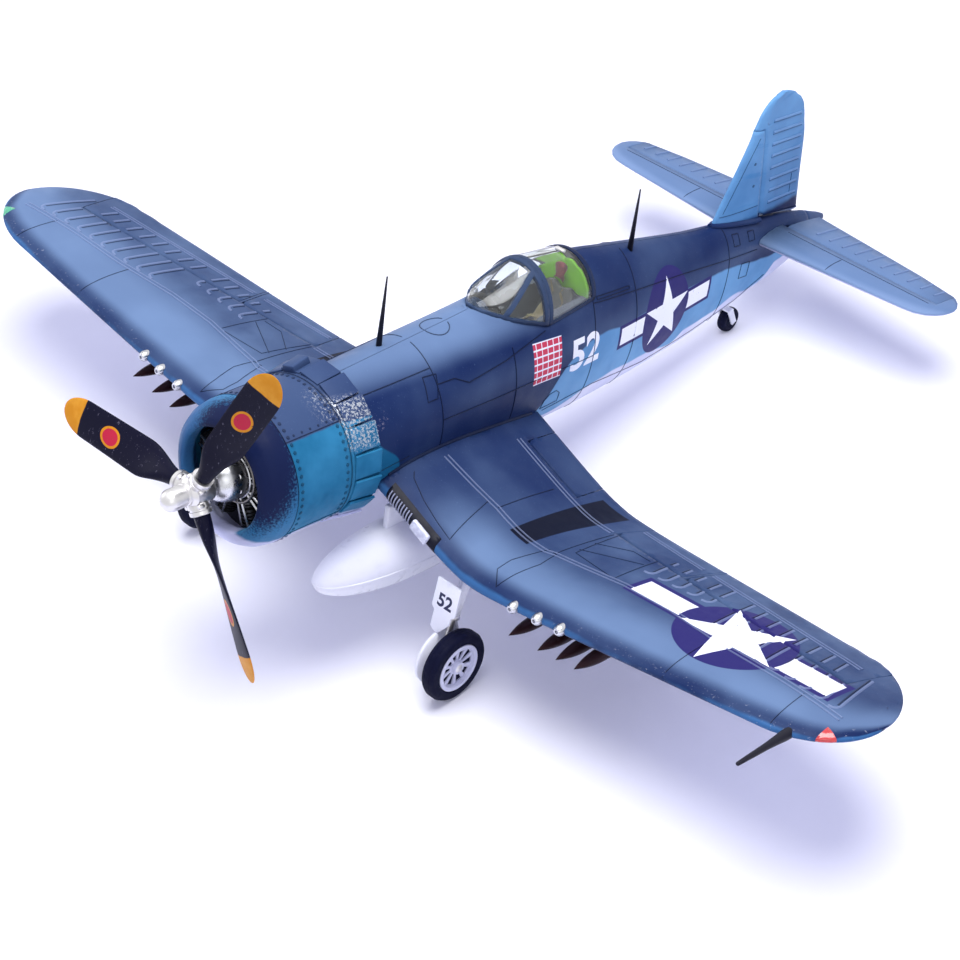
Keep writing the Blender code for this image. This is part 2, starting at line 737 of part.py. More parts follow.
def make_hatch():
    """A curved belly door with a knuckle along its front edge."""
    back = HATCH_FRONT_Y + HATCH_LENGTH
    axis = Vector((0, HATCH_FRONT_Y, keel_at(HATCH_FRONT_Y, 0.0, -FUSELAGE_WALL / 2)))
    rings = []
    for y in steps(HATCH_FRONT_Y + END_GAP, back, 5):
        xs = steps(-HATCH_HALF_WIDTH, HATCH_HALF_WIDTH, 7)
        outer = [Vector((x, y, keel_at(y, x))) - axis for x in xs]
        inner = [Vector((x, y, keel_at(y, x, -FUSELAGE_WALL))) - axis for x in xs[::-1]]
        rings.append(outer + inner)
    loft("belly_hatch", rings, "white", Matrix.Translation(axis))
    deep = 8 * FUSELAGE_WALL
    size = (2 * (HATCH_HALF_WIDTH + END_GAP), HATCH_LENGTH + 2 * END_GAP, deep)
    centre = (0, (HATCH_FRONT_Y + back) / 2, keel_at((HATCH_FRONT_Y + back) / 2, 0.0))
    return box("hatch_opening", size, centre, cutter=True)


# Cockpit

def arch_ring(y, foot, half_width, top, power, count=11):
    """A D-shaped section: an arch over a straight foot line."""
    points = []
    for a in steps(0.0, pi, count):
        c, s = cos(a), sin(a)
        across = abs(c) ** (2 / power) * half_width
        points.append((across if c >= 0 else -across, y, foot + s ** (2 / power) * (top - foot)))
    return points


def glass_half_width(y, foot):
    return half_width_at(y, foot) + GLASS_PROUD


def windscreen_top(y):
    return between(y, (WINDSCREEN_FRONT_Y, WINDSCREEN_FRONT_Z), (BOW_Y, BOW_TOP_Z))


def screen_narrowing(share):
    """How far the windscreen draws in from the fuselage's width towards its pointed front."""
    return 1.0 - (1.0 - WINDSCREEN_FRONT_SHARE) * max(1.0 - 2 * share, 0.0) ** 2


def canopy_top(y):
    return between(y, (BOW_Y, BOW_TOP_Z), (CANOPY_REAR_Y, CANOPY_REAR_TOP_Z))


def make_windscreen():
    front = WINDSCREEN_FRONT_Y + 0.12 * (BOW_Y - WINDSCREEN_FRONT_Y)
    rear = BOW_Y - GAP
    outer, inner = [], []
    length = rear - front
    for share in steps(0.0, 1.0, 6):
        y = front + share * length
        foot = windscreen_base(y) + GAP
        half = glass_half_width(y, foot) * screen_narrowing(share)
        outer.append(arch_ring(y, foot, half, windscreen_top(y), CANOPY_POWER))
    for share in steps(0.15, 1.15, 6):
        y = min(front + share * length, rear)
        foot = windscreen_base(y) - SHEET
        half = glass_half_width(y, foot + SHEET) * screen_narrowing(min(share, 1.0)) - GLASS_WALL
        top = windscreen_top(y) - 1.6 * GLASS_WALL
        inner.append(arch_ring(front + share * length, foot, half, top, CANOPY_POWER))
    glass = loft("windscreen", outer, "clear")
    cut(glass, loft("windscreen_inside", inner, cutter=True))


def make_canopy():
    front, rear = BOW_Y + GAP, CANOPY_REAR_Y - GAP
    outer, inner = [], []
    for y in steps(front, rear, 6):
        foot = canopy_sill(y) + GAP
        outer.append(arch_ring(y, foot, glass_half_width(y, foot), canopy_top(y), CANOPY_POWER))
    for y in steps(front - GLASS_WALL, rear + GLASS_WALL, 6):
        foot = canopy_sill(y) - SHEET
        half = glass_half_width(y, foot + SHEET) - GLASS_WALL
        inner.append(arch_ring(y, foot, half, canopy_top(y) - GLASS_WALL, CANOPY_POWER))
    glass = loft("sliding_canopy", outer, "clear")
    cut(glass, loft("canopy_inside", inner, cutter=True))


def cockpit_rim(y):
    return (windscreen_base(y) if y < BOW_Y else canopy_sill(y)) - GAP


WELL_FRONT_Y = WINDSCREEN_FRONT_Y + WELL_SETBACK
WELL_REAR_Y = CANOPY_REAR_Y - GAP - TUB_WALL


def make_cockpit():
    floor = TUB_FLOOR_Z - TUB_FLOOR
    rings = []
    for y in (WELL_FRONT_Y - TUB_WALL, BOW_Y, WELL_REAR_Y + TUB_WALL):
        rim = cockpit_rim(y)
        low = half_width_at(y, floor, FUSELAGE_INSIDE)
        high = half_width_at(y, rim, FUSELAGE_INSIDE)
        rings.append([(-high, y, rim), (-low, y, floor), (low, y, floor), (high, y, rim)])
    tub = loft("cockpit_tub", rings, "engine_grey")
    depth = BOW_TOP_Z - TUB_FLOOR_Z
    well = box("cockpit_well", (2 * WELL_HALF_WIDTH, WELL_REAR_Y - WELL_FRONT_Y, depth),
               (0, (WELL_FRONT_Y + WELL_REAR_Y) / 2, TUB_FLOOR_Z + depth / 2), cutter=True)
    cut(tub, well)

    base = TUB_FLOOR_Z + GAP
    back = WELL_REAR_Y - GAP
    front = back - SEAT_DEPTH
    pan = base + SEAT_PAN_Z
    outline = [(front, base), (back, base), (back, base + SEAT_HEIGHT), (back - SEAT_WALL, base + SEAT_HEIGHT),
               (back - SEAT_WALL, pan), (front, pan)]
    prism_x("pilot_seat", outline, SEAT_WIDTH / 2, "engine_grey", bevel=0.6 * MM)
    inner = SEAT_WIDTH - 2 * SEAT_WALL
    length = SEAT_DEPTH - SEAT_WALL - 2 * GAP
    box("seat_cushion", (inner, length, CUSHION_THICKNESS),
        (0, front + GAP + length / 2, pan + GAP + CUSHION_THICKNESS / 2), "khaki", bevel=1.2 * MM)

    plate_y = WELL_REAR_Y + GAP
    foot = cockpit_rim(plate_y + SHEET) + 2 * GAP
    rings = [arch_ring(y, foot, HEADREST_PLATE_HALF_WIDTH, foot + HEADREST_PLATE_HEIGHT, CANOPY_POWER)
             for y in (plate_y, plate_y + SHEET)]
    loft("armour_plate", rings, "green")
    pad = (0.36 * HEADREST_PLATE_HALF_WIDTH, CUSHION_THICKNESS, 0.6 * HEADREST_PLATE_HEIGHT)
    box("headrest_pad", pad, (0, plate_y - GAP - CUSHION_THICKNESS / 2, foot + HEADREST_PLATE_HEIGHT / 2),
        "maroon", bevel=1.2 * MM)

    panel_y = WELL_FRONT_Y - SHEET
    foot = cockpit_rim(panel_y - SHEET) + 2 * GAP
    rings = [arch_ring(y, foot, PANEL_HALF_WIDTH, foot + PANEL_HEIGHT, CANOPY_POWER)
             for y in (panel_y - SHEET, panel_y)]
    loft("instrument_panel", rings, "black")


# Engine bay and propeller

def make_cowl():
    rear = COWL_FRONT_Y + COWL_LENGTH
    swell = [(INTAKE_RADIUS + (COWL_RADIUS - INTAKE_RADIUS) * sin(a), -COWL_FRONT_Y - LIP_LENGTH * (1 - cos(a)))
             for a in (0.25 * pi / 2, 0.5 * pi / 2, 0.75 * pi / 2, pi / 2)]
    inside = COWL_RADIUS - COWL_WALL
    profile = [(INTAKE_RADIUS + COWL_WALL / 2, -COWL_FRONT_Y)] + swell + [
        (COWL_RADIUS, -rear), (inside, -rear), (inside, -COWL_FRONT_Y - LIP_LENGTH),
        (INTAKE_RADIUS, -COWL_FRONT_Y - LIP_LENGTH / 2), (INTAKE_RADIUS, -COWL_FRONT_Y - COWL_WALL / 2)]
    turned("cowl", profile, facing_forward(), "sea_blue")


def make_cowl_flaps():
    """A flared ring of petals behind the cowl, carried by a flange on the fuselage's front."""
    front = COWL_FRONT_Y + COWL_LENGTH + GAP
    back = front + COWL_FLAP_LENGTH
    web = front + FLANGE_THICKNESS
    outside = COWL_RADIUS
    inside = outside - COWL_FLAP_WALL
    flange = station(FUSELAGE_FRONT_Y)[0] - FUSELAGE_WALL
    profile = [(outside, -front), (outside + COWL_FLAP_FLARE, -back),
               (outside + COWL_FLAP_FLARE - COWL_FLAP_WALL, -back), (inside, -web), (flange, -web),
               (flange, -front)]
    ring = turned("cowl_flaps", profile, facing_forward(), "sea_blue", sides=2 * COWL_FLAP_COUNT)
    length = COWL_FLAP_LENGTH
    for k in range(COWL_FLAP_COUNT):
        turn = Matrix.Rotation(2 * pi * (k + 0.5) / COWL_FLAP_COUNT, 4, "Y")
        slit = box(f"cowl_flap_slit_{k}", (COWL_FLAP_SLIT, length, 4 * COWL_FLAP_FLARE),
                   (0, web + COWL_FLAP_LENGTH / 4 + length / 2, outside), matrix=turn, cutter=True)
        cut(ring, slit)


def make_engine():
    shaft_hole = SHAFT_RADIUS + RUNNING_GAP
    front = ENGINE_Y - CYLINDER_RADIUS - CRANKCASE_LENGTH
    radius = CRANKCASE_RADIUS
    dome = [(shaft_hole + (radius - shaft_hole) * sin(a), -front - 0.6 * CRANKCASE_LENGTH * (1 - cos(a)))
            for a in (0.2 * pi, 0.35 * pi, 0.5 * pi)]
    baffle = ENGINE_Y + 0.75 * CYLINDER_RADIUS
    outer = COWL_RADIUS - COWL_WALL - GAP
    profile = [(shaft_hole, -front)] + dome + [
        (radius, -baffle), (outer, -baffle), (outer, -baffle - BAFFLE_THICKNESS),
        (shaft_hole, -baffle - BAFFLE_THICKNESS)]
    engine = turned("dummy_engine", profile, facing_forward(), "engine_grey", sides=36)
    for k in range(CYLINDER_COUNT):
        a = 2 * pi * k / CYLINDER_COUNT
        direction = Vector((sin(a), 0, cos(a)))
        start = direction * (radius * 0.7) + Vector((0, ENGINE_Y, 0))
        end = direction * CYLINDER_REACH + Vector((0, ENGINE_Y, 0))
        unite(engine, rod(f"cylinder_{k}", start, end, CYLINDER_RADIUS, cutter=True, sides=12))


def make_motor(firewall_y):
    back = firewall_y - GAP
    flange = 2 * SHEET
    stator = MOTOR_RADIUS - MOTOR_WALL - RUNNING_GAP
    front = back - flange - MOTOR_LENGTH + MOTOR_WALL
    bell_front = front - RUNNING_GAP - MOTOR_WALL
    profile = [(0.0, -front), (stator, -front), (stator, -back + flange / 2),
               (MOTOR_RADIUS + SHEET, -back + flange / 2), (MOTOR_RADIUS + SHEET, -back), (0.0, -back)]
    turned("motor_stator", profile, facing_forward(), "equipment", sides=20)
    tip = HUB_LENGTH - SHAFT_DEPTH + GAP
    bell = MOTOR_RADIUS - MOTOR_WALL
    profile = [(0.0, 0.0), (SHAFT_RADIUS, 0.0), (SHAFT_RADIUS, tip - bell_front),
               (MOTOR_RADIUS, tip - bell_front), (MOTOR_RADIUS, tip - back + flange),
               (bell, tip - back + flange), (bell, tip - bell_front - MOTOR_WALL),
               (0.0, tip - bell_front - MOTOR_WALL)]
    turned("motor_rotor", profile, facing_forward(y=tip), "chrome", sides=20)


def make_propeller():
    nose = HUB_NOSE_RADIUS
    tip = [(nose * sin(a), -nose * (1 - cos(a))) for a in (0.0, 0.2 * pi, 0.35 * pi, 0.5 * pi)]
    bore = SHAFT_RADIUS + GAP
    shoulder = PROP_PLANE_Y - BARREL_RADIUS
    profile = tip + [(nose, -shoulder), (HUB_RADIUS, -shoulder - SHEET), (HUB_RADIUS, -HUB_LENGTH),
                     (bore, -HUB_LENGTH), (bore, -HUB_LENGTH + SHAFT_DEPTH), (0.0, -HUB_LENGTH + SHAFT_DEPTH)]
    hub = turned("prop_hub", profile, facing_forward(), "chrome", sides=24)
    for k in range(BLADE_COUNT):
        turn = Matrix.Translation((0, PROP_PLANE_Y, 0)) @ Matrix.Rotation(
            BLADE_PHASE + 2 * pi * k / BLADE_COUNT, 4, "Y")
        start = turn @ Vector((0, 0, SHAFT_RADIUS + 2 * SHEET))
        end = turn @ Vector((0, 0, BARREL_LENGTH))
        unite(hub, rod(f"barrel_{k}", start, end, BARREL_RADIUS, cutter=True, sides=16))
        loft(f"prop_blade_{k + 1}", blade_rings(), "black", turn)


def blade_rings():
    """Blade sections from the round shank to the rounded tip, washed out along the radius."""
    root = BARREL_LENGTH + GAP
    rings = []
    for share in (0.0, 0.06, 0.2, 0.38, 0.58, 0.78, 0.9, 0.965, 0.997):
        radius = root + (PROP_RADIUS - root) * share
        flat = min(share / 0.3, 1.0)
        flat = flat * flat * (3 - 2 * flat)
        end = sqrt(max(1 - (max(share - 0.8, 0.0) / 0.2) ** 2, 0.0))
        chord = (2 * SHANK_RADIUS * (1 - flat) + BLADE_CHORD * flat) * max(end, 0.08)
        thick = (2 * SHANK_RADIUS * (1 - flat) + BLADE_THICKNESS * (1.15 - 0.7 * share) * flat) * max(end, 0.2)
        pitch = atan(0.62 * PROP_RADIUS / (2 * max(radius, 0.25 * PROP_RADIUS)))
        ring = []
        for k in range(12):
            a = 2 * pi * k / 12
            along, out = chord / 2 * cos(a), thick / 2 * sin(a)
            ring.append((along * cos(pitch) - out * sin(pitch), along * sin(pitch) + out * cos(pitch), radius))
        rings.append(ring)
    return rings


# Wing pieces

def joiner_outline(grow, reach):
    """Front view of the bent joiner that ties both wing panels through the fuselage."""
    def middle(x):
        return sum(wing_height(max(x, WING_ROOT_X), JOINER_Y + JOINER_THICKNESS / 2)) / 2

    root = FUSELAGE_STATIONS[3][1] * MM
    half = JOINER_HEIGHT / 2 + grow
    port = [(root, middle(root)), ((root + reach) / 2, middle((root + reach) / 2)), (reach, middle(reach))]
    line = [(-x, z) for x, z in port[::-1]] + port
    return [(x, z + half) for x, z in line] + [(x, z - half) for x, z in line[::-1]]


def make_joiner():
    def plate(name, grow, reach, material, cutter):
        outline = joiner_outline(grow, reach)
        rings = [[(x, y, z) for x, z in outline]
                 for y in (JOINER_Y - grow, JOINER_Y + JOINER_THICKNESS + grow)]
        return loft(name, rings, material, None, cutter)

    plate("wing_joiner", 0.0, JOINER_REACH, "wood", False)
    return plate("joiner_slot", GAP, JOINER_REACH + GAP, None, True)


def leg_points():
    return Vector((LEG_X, LEG_TOP_Y, LEG_TOP_Z)), Vector((LEG_X, WHEEL_Y, WHEEL_Z))


def mirror_x(vector, side):
    return Vector((side * vector.x, vector.y, vector.z))


def make_wing(side, word, joiner_slot):
    wing = loft(f"{word}_wing", [wing_ring(x, side) for x in wing_spans()], "sea_blue")
    surfaces = (("inner_flap", inner_hinge, INNER_FLAP_SPAN), ("outer_flap", outer_hinge, OUTER_FLAP_SPAN),
                ("aileron", outer_hinge, AILERON_SPAN))
    notches = [wing_surface(f"{word}_{name}", side, hinge, span, "sea_blue") for name, hinge, span in surfaces]
    top, bottom = (mirror_x(p, side) for p in leg_points())
    up = (top - bottom).normalized()
    socket = rod(f"{word}_leg_socket", top - up * 2 * LEG_RADIUS, top + up * (leg_peg() + GAP),
                 LEG_RADIUS + GAP, cutter=True)
    cut(wing, FUSELAGE_CLEAR, joiner_slot, *notches, socket, make_aileron_servo(side, word))


def leg_peg():
    """How far the leg reaches up into the wing from its nominal top."""
    low, high = wing_height(LEG_X, LEG_TOP_Y)
    return 0.6 * (high - low) + low - LEG_TOP_Z


def make_aileron_servo(side, word):
    width, depth, height = AILERON_SERVO
    slope = Matrix.Rotation(-side * atan(OUTER_SLOPE), 4, "Y")
    y = outer_hinge(AILERON_SERVO_X) - 0.75 * depth - TE_THICKNESS * 8
    floor = wing_height(AILERON_SERVO_X, y)[0]
    matrix = Matrix.Translation((side * AILERON_SERVO_X, y, floor)) @ slope
    box(f"{word}_aileron_servo", (width, depth, height), (0, 0, height / 2 + GAP), "equipment", matrix,
        bevel=0.5 * MM)
    tall = 2 * height
    return box(f"{word}_servo_bay", (width + 2 * GAP, depth + 2 * GAP, tall),
               (0, 0, height + 2 * GAP - tall / 2), matrix=matrix, cutter=True)


def make_rocket_rack(side, word):
    """Four rockets moulded on one rail that lies against the wing's underside."""
    spots = LEFT_ROCKETS if side > 0 else RIGHT_ROCKETS
    middle_x = (spots[0] + spots[-1]) / 2
    width = spots[-1] - spots[0] + 2 * ROCKET_RADIUS
    rail_y = leading_edge(middle_x) + RAIL_LENGTH
    slope = Matrix.Rotation(-side * atan(OUTER_SLOPE), 4, "Y")
    top = wing_height(middle_x, rail_y)[0]
    bottom = knee_height(middle_x) - ROCKET_DROP
    matrix = Matrix.Translation((side * middle_x, rail_y, top)) @ slope
    rack = box(f"{word}_rocket_rack", (width, RAIL_LENGTH, RAIL_THICKNESS), (0, 0, -RAIL_THICKNESS / 4),
               "maroon", matrix)
    for k, x in enumerate(spots):
        z = knee_height(x) - ROCKET_DROP
        stub = box(f"{word}_stub_{k}", (ROCKET_RADIUS * 0.8, RAIL_LENGTH * 0.8, top - bottom),
                   (side * (x - middle_x), 0, -(top - bottom) / 2), matrix=matrix, cutter=True)
        nose = [(ROCKET_RADIUS * (1 - (1 - t) ** 2), -ROCKET_NOSE * t) for t in (0.0, 0.3, 0.65, 1.0)]
        profile = nose + [(ROCKET_RADIUS, -0.8 * ROCKET_LENGTH), (0.6 * ROCKET_RADIUS, -ROCKET_LENGTH),
                          (0.0, -ROCKET_LENGTH)]
        rocket = turned(f"{word}_rocket_{k}", profile, facing_forward(side * x, z, ROCKET_TIP_Y), sides=12,
                        cutter=True)
        unite(rack, stub, rocket)
    cut(rack, WING_CLEAR[side])


def make_tank():
    def radius(u):
        if u < TANK_FULLEST:
            return TANK_RADIUS * sqrt(max(1 - (1 - u / TANK_FULLEST) ** 2, 0.0))
        return TANK_RADIUS * (1 - ((u - TANK_FULLEST) / (1 - TANK_FULLEST)) ** 2.2)

    shares = (0.0, 0.015, 0.05, 0.12, 0.22, 0.4, 0.55, 0.7, 0.85, 0.95, 1.0)
    profile = [(radius(u), -TANK_LENGTH * u) for u in shares[:-1]] + [(0.0, -TANK_LENGTH)]
    tank = turned("drop_tank", profile, facing_forward(TANK_X, TANK_Z, TANK_NOSE_Y), "white", sides=24)
    fullest = TANK_NOSE_Y + TANK_FULLEST * TANK_LENGTH
    top = wing_height(TANK_X, fullest)[0] + SHEET
    pylon = box("tank_pylon", (PYLON_WIDTH, PYLON_LENGTH, top - TANK_Z),
                (TANK_X, fullest, (top + TANK_Z) / 2), cutter=True)
    unite(tank, pylon)
    cut(tank, WING_CLEAR[1])


def make_pitot():
    y = leading_edge(PITOT_X)
    z = knee_height(PITOT_X)
    tube = rod("pitot_tube", (PITOT_X, y + 2 * PITOT_RADIUS, z), (PITOT_X, y - PITOT_LENGTH, z + PITOT_RADIUS),
               PITOT_RADIUS, "black", 0.6 * PITOT_RADIUS, sides=10)
    cut(tube, WING_CLEAR[1])


# Landing gear

def make_gear(side, word):
    top, bottom = (mirror_x(p, side) for p in leg_points())
    up = (top - bottom).normalized()
    port = Vector((side, 0, 0))
    leg = rod(f"{word}_gear_leg", bottom + up * OLEO_LENGTH, top + up * leg_peg(), LEG_RADIUS, "white")
    oleo = rod(f"{word}_oleo", bottom - up * AXLE_RADIUS, bottom + up * (OLEO_LENGTH + LEG_RADIUS), OLEO_RADIUS,
               cutter=True)
    axle_end = WHEEL_X + TYRE_WIDTH / 2
    axle = rod(f"{word}_axle", bottom - port * OLEO_RADIUS / 2, bottom + port * (axle_end - LEG_X), AXLE_RADIUS,
               cutter=True)
    drum = rod(f"{word}_drum", bottom - port * DRUM_WIDTH, bottom, DRUM_RADIUS, cutter=True, sides=24)
    knee = bottom + up * (OLEO_LENGTH / 2) + Vector((0, 4 * OLEO_RADIUS, 0))
    links = [rod(f"{word}_link_{k}", bottom + up * (OLEO_LENGTH * share), knee, AXLE_RADIUS / 1.3, cutter=True,
                 sides=8) for k, share in enumerate((0.12, 1.1))]
    brackets = []
    for k, back in enumerate(make_door(side, word)):
        share = (back.z - bottom.z) / (top.z - bottom.z)
        start = bottom.lerp(top, share)
        brackets.append(rod(f"{word}_bracket_{k}", start, back, AXLE_RADIUS, cutter=True, sides=8))
    unite(leg, oleo, axle, drum, *links, *brackets)
    make_wheel(side, word)


def make_door(side, word):
    """A flat door ahead of the leg, wide above and stepped in below, and where its brackets meet it."""
    down = Vector((0, -sin(DOOR_RAKE), -cos(DOOR_RAKE)))
    aft = Vector((0, cos(DOOR_RAKE), -sin(DOOR_RAKE)))
    top = Vector((side * LEG_X, DOOR_TOP_Y, DOOR_TOP_Z))
    step = DOOR_UPPER_LENGTH
    low = step + DOOR_LOWER_LENGTH
    wide, slim = DOOR_HALF_WIDTH, DOOR_STEP_HALF_WIDTH
    outline = [(-wide, 0.0), (-wide, step - SHEET), (-slim, step), (-slim, low - SHEET), (-slim / 2, low),
               (0.0, low), (slim, low - 0.65 * DOOR_LOWER_LENGTH), (slim, step), (wide, step - SHEET), (wide, 0.0)]
    rings = [[top + aft * depth + down * drop + Vector((side * x, 0, 0)) for x, drop in outline]
             for depth in (0.0, DOOR_THICKNESS)]
    loft(f"{word}_gear_door", rings, "white")
    return [top + aft * (DOOR_THICKNESS + GAP) + down * (share * low) for share in (0.3, 0.6)]


def make_wheel(side, word):
    matrix = on_axle(side * WHEEL_X, WHEEL_Y, WHEEL_Z, TYRE_FACET_COUNT)
    outside = WHEEL_RADIUS / cos(pi / TYRE_FACET_COUNT)
    half, tread = TYRE_WIDTH / 2, TREAD_WIDTH / 2
    seat = RIM_RADIUS
    profile = [(seat, 0.8 * half), (seat + SHEET, half), (outside - SHEET, 0.8 * half), (outside, tread),
               (outside, -tread), (outside - SHEET, -0.8 * half), (seat + SHEET, -half), (seat, -0.8 * half)]
    turned(f"{word}_tyre", profile, matrix, "rubber", sides=TYRE_FACET_COUNT)
    rim = (RIM_RADIUS - GAP) * cos(pi / TYRE_FACET_COUNT)
    bore = AXLE_RADIUS + GAP
    face = 0.5 * half
    lip = rim - SHEET
    profile = [(bore, half), (2 * bore, half), (2 * bore, face), (lip, face), (lip, half), (rim, half),
               (rim, -half), (lip, -half), (lip, -face), (2 * bore, -face), (2 * bore, -half), (bore, -half)]
    hub = turned(f"{word}_wheel_hub", profile, matrix, "white", sides=TYRE_FACET_COUNT)
    inner, outer = 2 * bore + SHEET / 2, lip - SHEET / 3
    spread = tan(SPOKE_GAP_SHARE * pi / SPOKE_COUNT)
    corners = [(inner, -inner * spread), (outer, -outer * spread),
               (outer, outer * spread), (inner, inner * spread)]
    for k in range(SPOKE_COUNT):
        turn = matrix @ Matrix.Rotation(2 * pi * k / SPOKE_COUNT, 4, "Z")
        rings = [[(x, y, z) for x, y in corners] for z in (-half, half)]
        cut(hub, loft(f"{word}_spoke_gap_{k}", rings, None, turn, cutter=True))


def make_tail_wheel():
    """A steered fork on an upright post, trailing its wheel."""
    post_y = TAIL_WHEEL_Y - TAIL_TRAIL
    skin = keel_at(post_y, 0.0)
    top = (0, post_y, skin + 2 * FUSELAGE_WALL)
    half = TAIL_WHEEL_WIDTH / 2 + RUNNING_GAP
    crown = TAIL_WHEEL_Z + TAIL_WHEEL_RADIUS + RUNNING_GAP + FORK_ARM / 2
    fork = rod("tail_wheel_fork", top, (0, post_y, crown), TAIL_POST_RADIUS, "white")
    bridge = Matrix.Translation((0, post_y, crown))
    width = 2 * (half + FORK_ARM)
    pieces = [box("fork_bridge", (width, 2 * TAIL_POST_RADIUS, FORK_ARM), (0, 0, 0), matrix=bridge, cutter=True)]
    axle = Vector((0, TAIL_WHEEL_Y, TAIL_WHEEL_Z))
    for word, x in (("port", half + FORK_ARM / 2), ("starboard", -half - FORK_ARM / 2)):
        along = axle - Vector((0, post_y, crown))
        angle = atan2(along.y, -along.z)
        matrix = bridge @ Matrix.Rotation(angle, 4, "X")
        pieces.append(box(f"fork_arm_{word}", (FORK_ARM, 1.6 * TAIL_POST_RADIUS, along.length + AXLE_RADIUS),
                          (x, 0, -along.length / 2), matrix=matrix, cutter=True))
    pieces.append(rod("fork_axle", axle - Vector((half + FORK_ARM / 2, 0, 0)),
                      axle + Vector((half + FORK_ARM / 2, 0, 0)), AXLE_RADIUS / 1.4, cutter=True, sides=10))
    unite(fork, *pieces)
    facets = SMALL_ROUND_COUNT + 4
    outside = TAIL_WHEEL_RADIUS / cos(pi / facets)
    bore = AXLE_RADIUS / 1.4 + GAP
    wide, tread = TAIL_WHEEL_WIDTH / 2, TAIL_TREAD_WIDTH / 2
    profile = [(bore, wide), (0.5 * outside, wide), (0.8 * outside, wide), (outside, tread), (outside, -tread),
               (0.8 * outside, -wide), (0.5 * outside, -wide), (bore, -wide)]
    turned("tail_wheel", profile, on_axle(0, TAIL_WHEEL_Y, TAIL_WHEEL_Z, facets), "rubber", sides=facets)
    hole = TAIL_POST_RADIUS + RUNNING_GAP
    hole_top = (0, post_y, skin + 3 * FUSELAGE_WALL)
    return rod("tail_post_hole", (0, post_y, skin - hole), hole_top, hole, cutter=True)


# Tail surfaces

def stab_edges(x):
    if x <= STAB_TIP_START_X:
        front = between(x, (0.0, STAB_LE_ROOT_Y), (STAB_TIP_START_X, STAB_LE_TIP_Y))
        back = between(x, (0.0, STAB_TE_ROOT_Y), (STAB_TIP_START_X, STAB_TE_TIP_Y))
        return front, back
    share = min((x - STAB_TIP_START_X) / (STAB_TIP_X - STAB_TIP_START_X), 1.0)
    round_off = sqrt(1 - share**2)
    return (STAB_TIP_Y - (STAB_TIP_Y - STAB_LE_TIP_Y) * round_off,
            STAB_TIP_Y + (STAB_TE_TIP_Y - STAB_TIP_Y) * round_off)


def stab_half(x, y):
    front, back = stab_edges(x)
    u = min(max((y - front) / (back - front), 0.0), 1.0)
    return thickness_form(u) * STAB_THICKNESS * (back - front) + u * TE_THICKNESS / 2


def stab_ring(x, side):
    front, back = stab_edges(x)
    ys = [front + u * (back - front) for u in CHORD_SHARES]
    upper = [(side * x, y, STAB_Z + stab_half(x, y)) for y in ys]
    lower = [(side * x, y, STAB_Z - stab_half(x, y)) for y in ys[::-1]]
    return upper + [(side * x, front, STAB_Z)] + lower


def make_stabilizer(side, word, spar_hole):
    tip = [STAB_TIP_START_X + (STAB_TIP_X - STAB_TIP_START_X) * s for s in (0.0, 0.35, 0.62, 0.82, 0.94, 0.995)]
    spans = [2 * SHEET, STAB_TIP_START_X / 2] + tip
    stab = loft(f"{word}_stabilizer", [stab_ring(x, side) for x in spans], "sea_blue")
    start = half_width_at(ELEVATOR_HINGE_Y - stab_half(0.0, ELEVATOR_HINGE_Y), STAB_Z) + ELEVATOR_ROOT_GAP
    hinge = Vector((0, ELEVATOR_HINGE_Y, STAB_Z))
    rings, notches = [], []
    count = 5
    for k, x in enumerate(steps(start, ELEVATOR_END_X, count)):
        nose = 0.92 * stab_half(x, ELEVATOR_HINGE_Y)
        reach = stab_edges(x)[1] - ELEVATOR_HINGE_Y
        upper = [(share * reach, stab_half(x, ELEVATOR_HINGE_Y + share * reach)) for share in FLANK_SHARES]
        lower = [(back, -up) for back, up in upper]
        rings.append(surface_ring(side * x, nose, upper, lower))
        if k in (0, count - 1):
            s = 0.0 if k == 0 else side * (x + END_GAP)
            notches.append(notch_ring(s, nose, 2 * reach, 4 * nose))
    matrix = Matrix.Translation(hinge)
    cut(stab, FUSELAGE_CLEAR, spar_hole, loft(f"{word}_elevator_notch", notches, None, matrix, cutter=True))
    name = "elevator" if side > 0 else "starboard_elevator"
    return loft(name, rings, "sky_blue", matrix), start


def join_elevator(port, starboard, start):
    """Both elevator halves made one by a rod through the tail, with the horn that moves them."""
    hinge = Vector((0, ELEVATOR_HINGE_Y, STAB_Z))
    reach = Vector((start + 4 * ELEVATOR_ROD_RADIUS, 0, 0))
    horn = box("elevator_horn", (HORN_THICKNESS, HORN_THICKNESS, HORN_LENGTH),
               hinge + Vector((ELEVATOR_ROD_X, 0, HORN_LENGTH / 2)), cutter=True)
    bar = rod("elevator_rod", hinge - reach, hinge + reach, ELEVATOR_ROD_RADIUS, cutter=True, sides=10)
    unite(port, bar, starboard, horn)


def make_spar():
    ends = [Vector((x, SPAR_Y, STAB_Z)) for x in (-SPAR_REACH, SPAR_REACH)]
    rod("tailplane_spar", *ends, SPAR_RADIUS, "black", sides=12)
    longer = Vector((GAP, 0, 0))
    return rod("spar_hole", ends[0] - longer, ends[1] + longer, SPAR_RADIUS + GAP, cutter=True, sides=12)


def rudder_half(z):
    return between(z, (RUDDER_HINGE_BASE[1], FIN_HALF_THICKNESS), (RUDDER_TOP_Z, FIN_TIP_HALF_THICKNESS))


def hinge_y_at(z):
    return between(z, RUDDER_HINGE_BASE[::-1], RUDDER_HINGE_TOP[::-1])


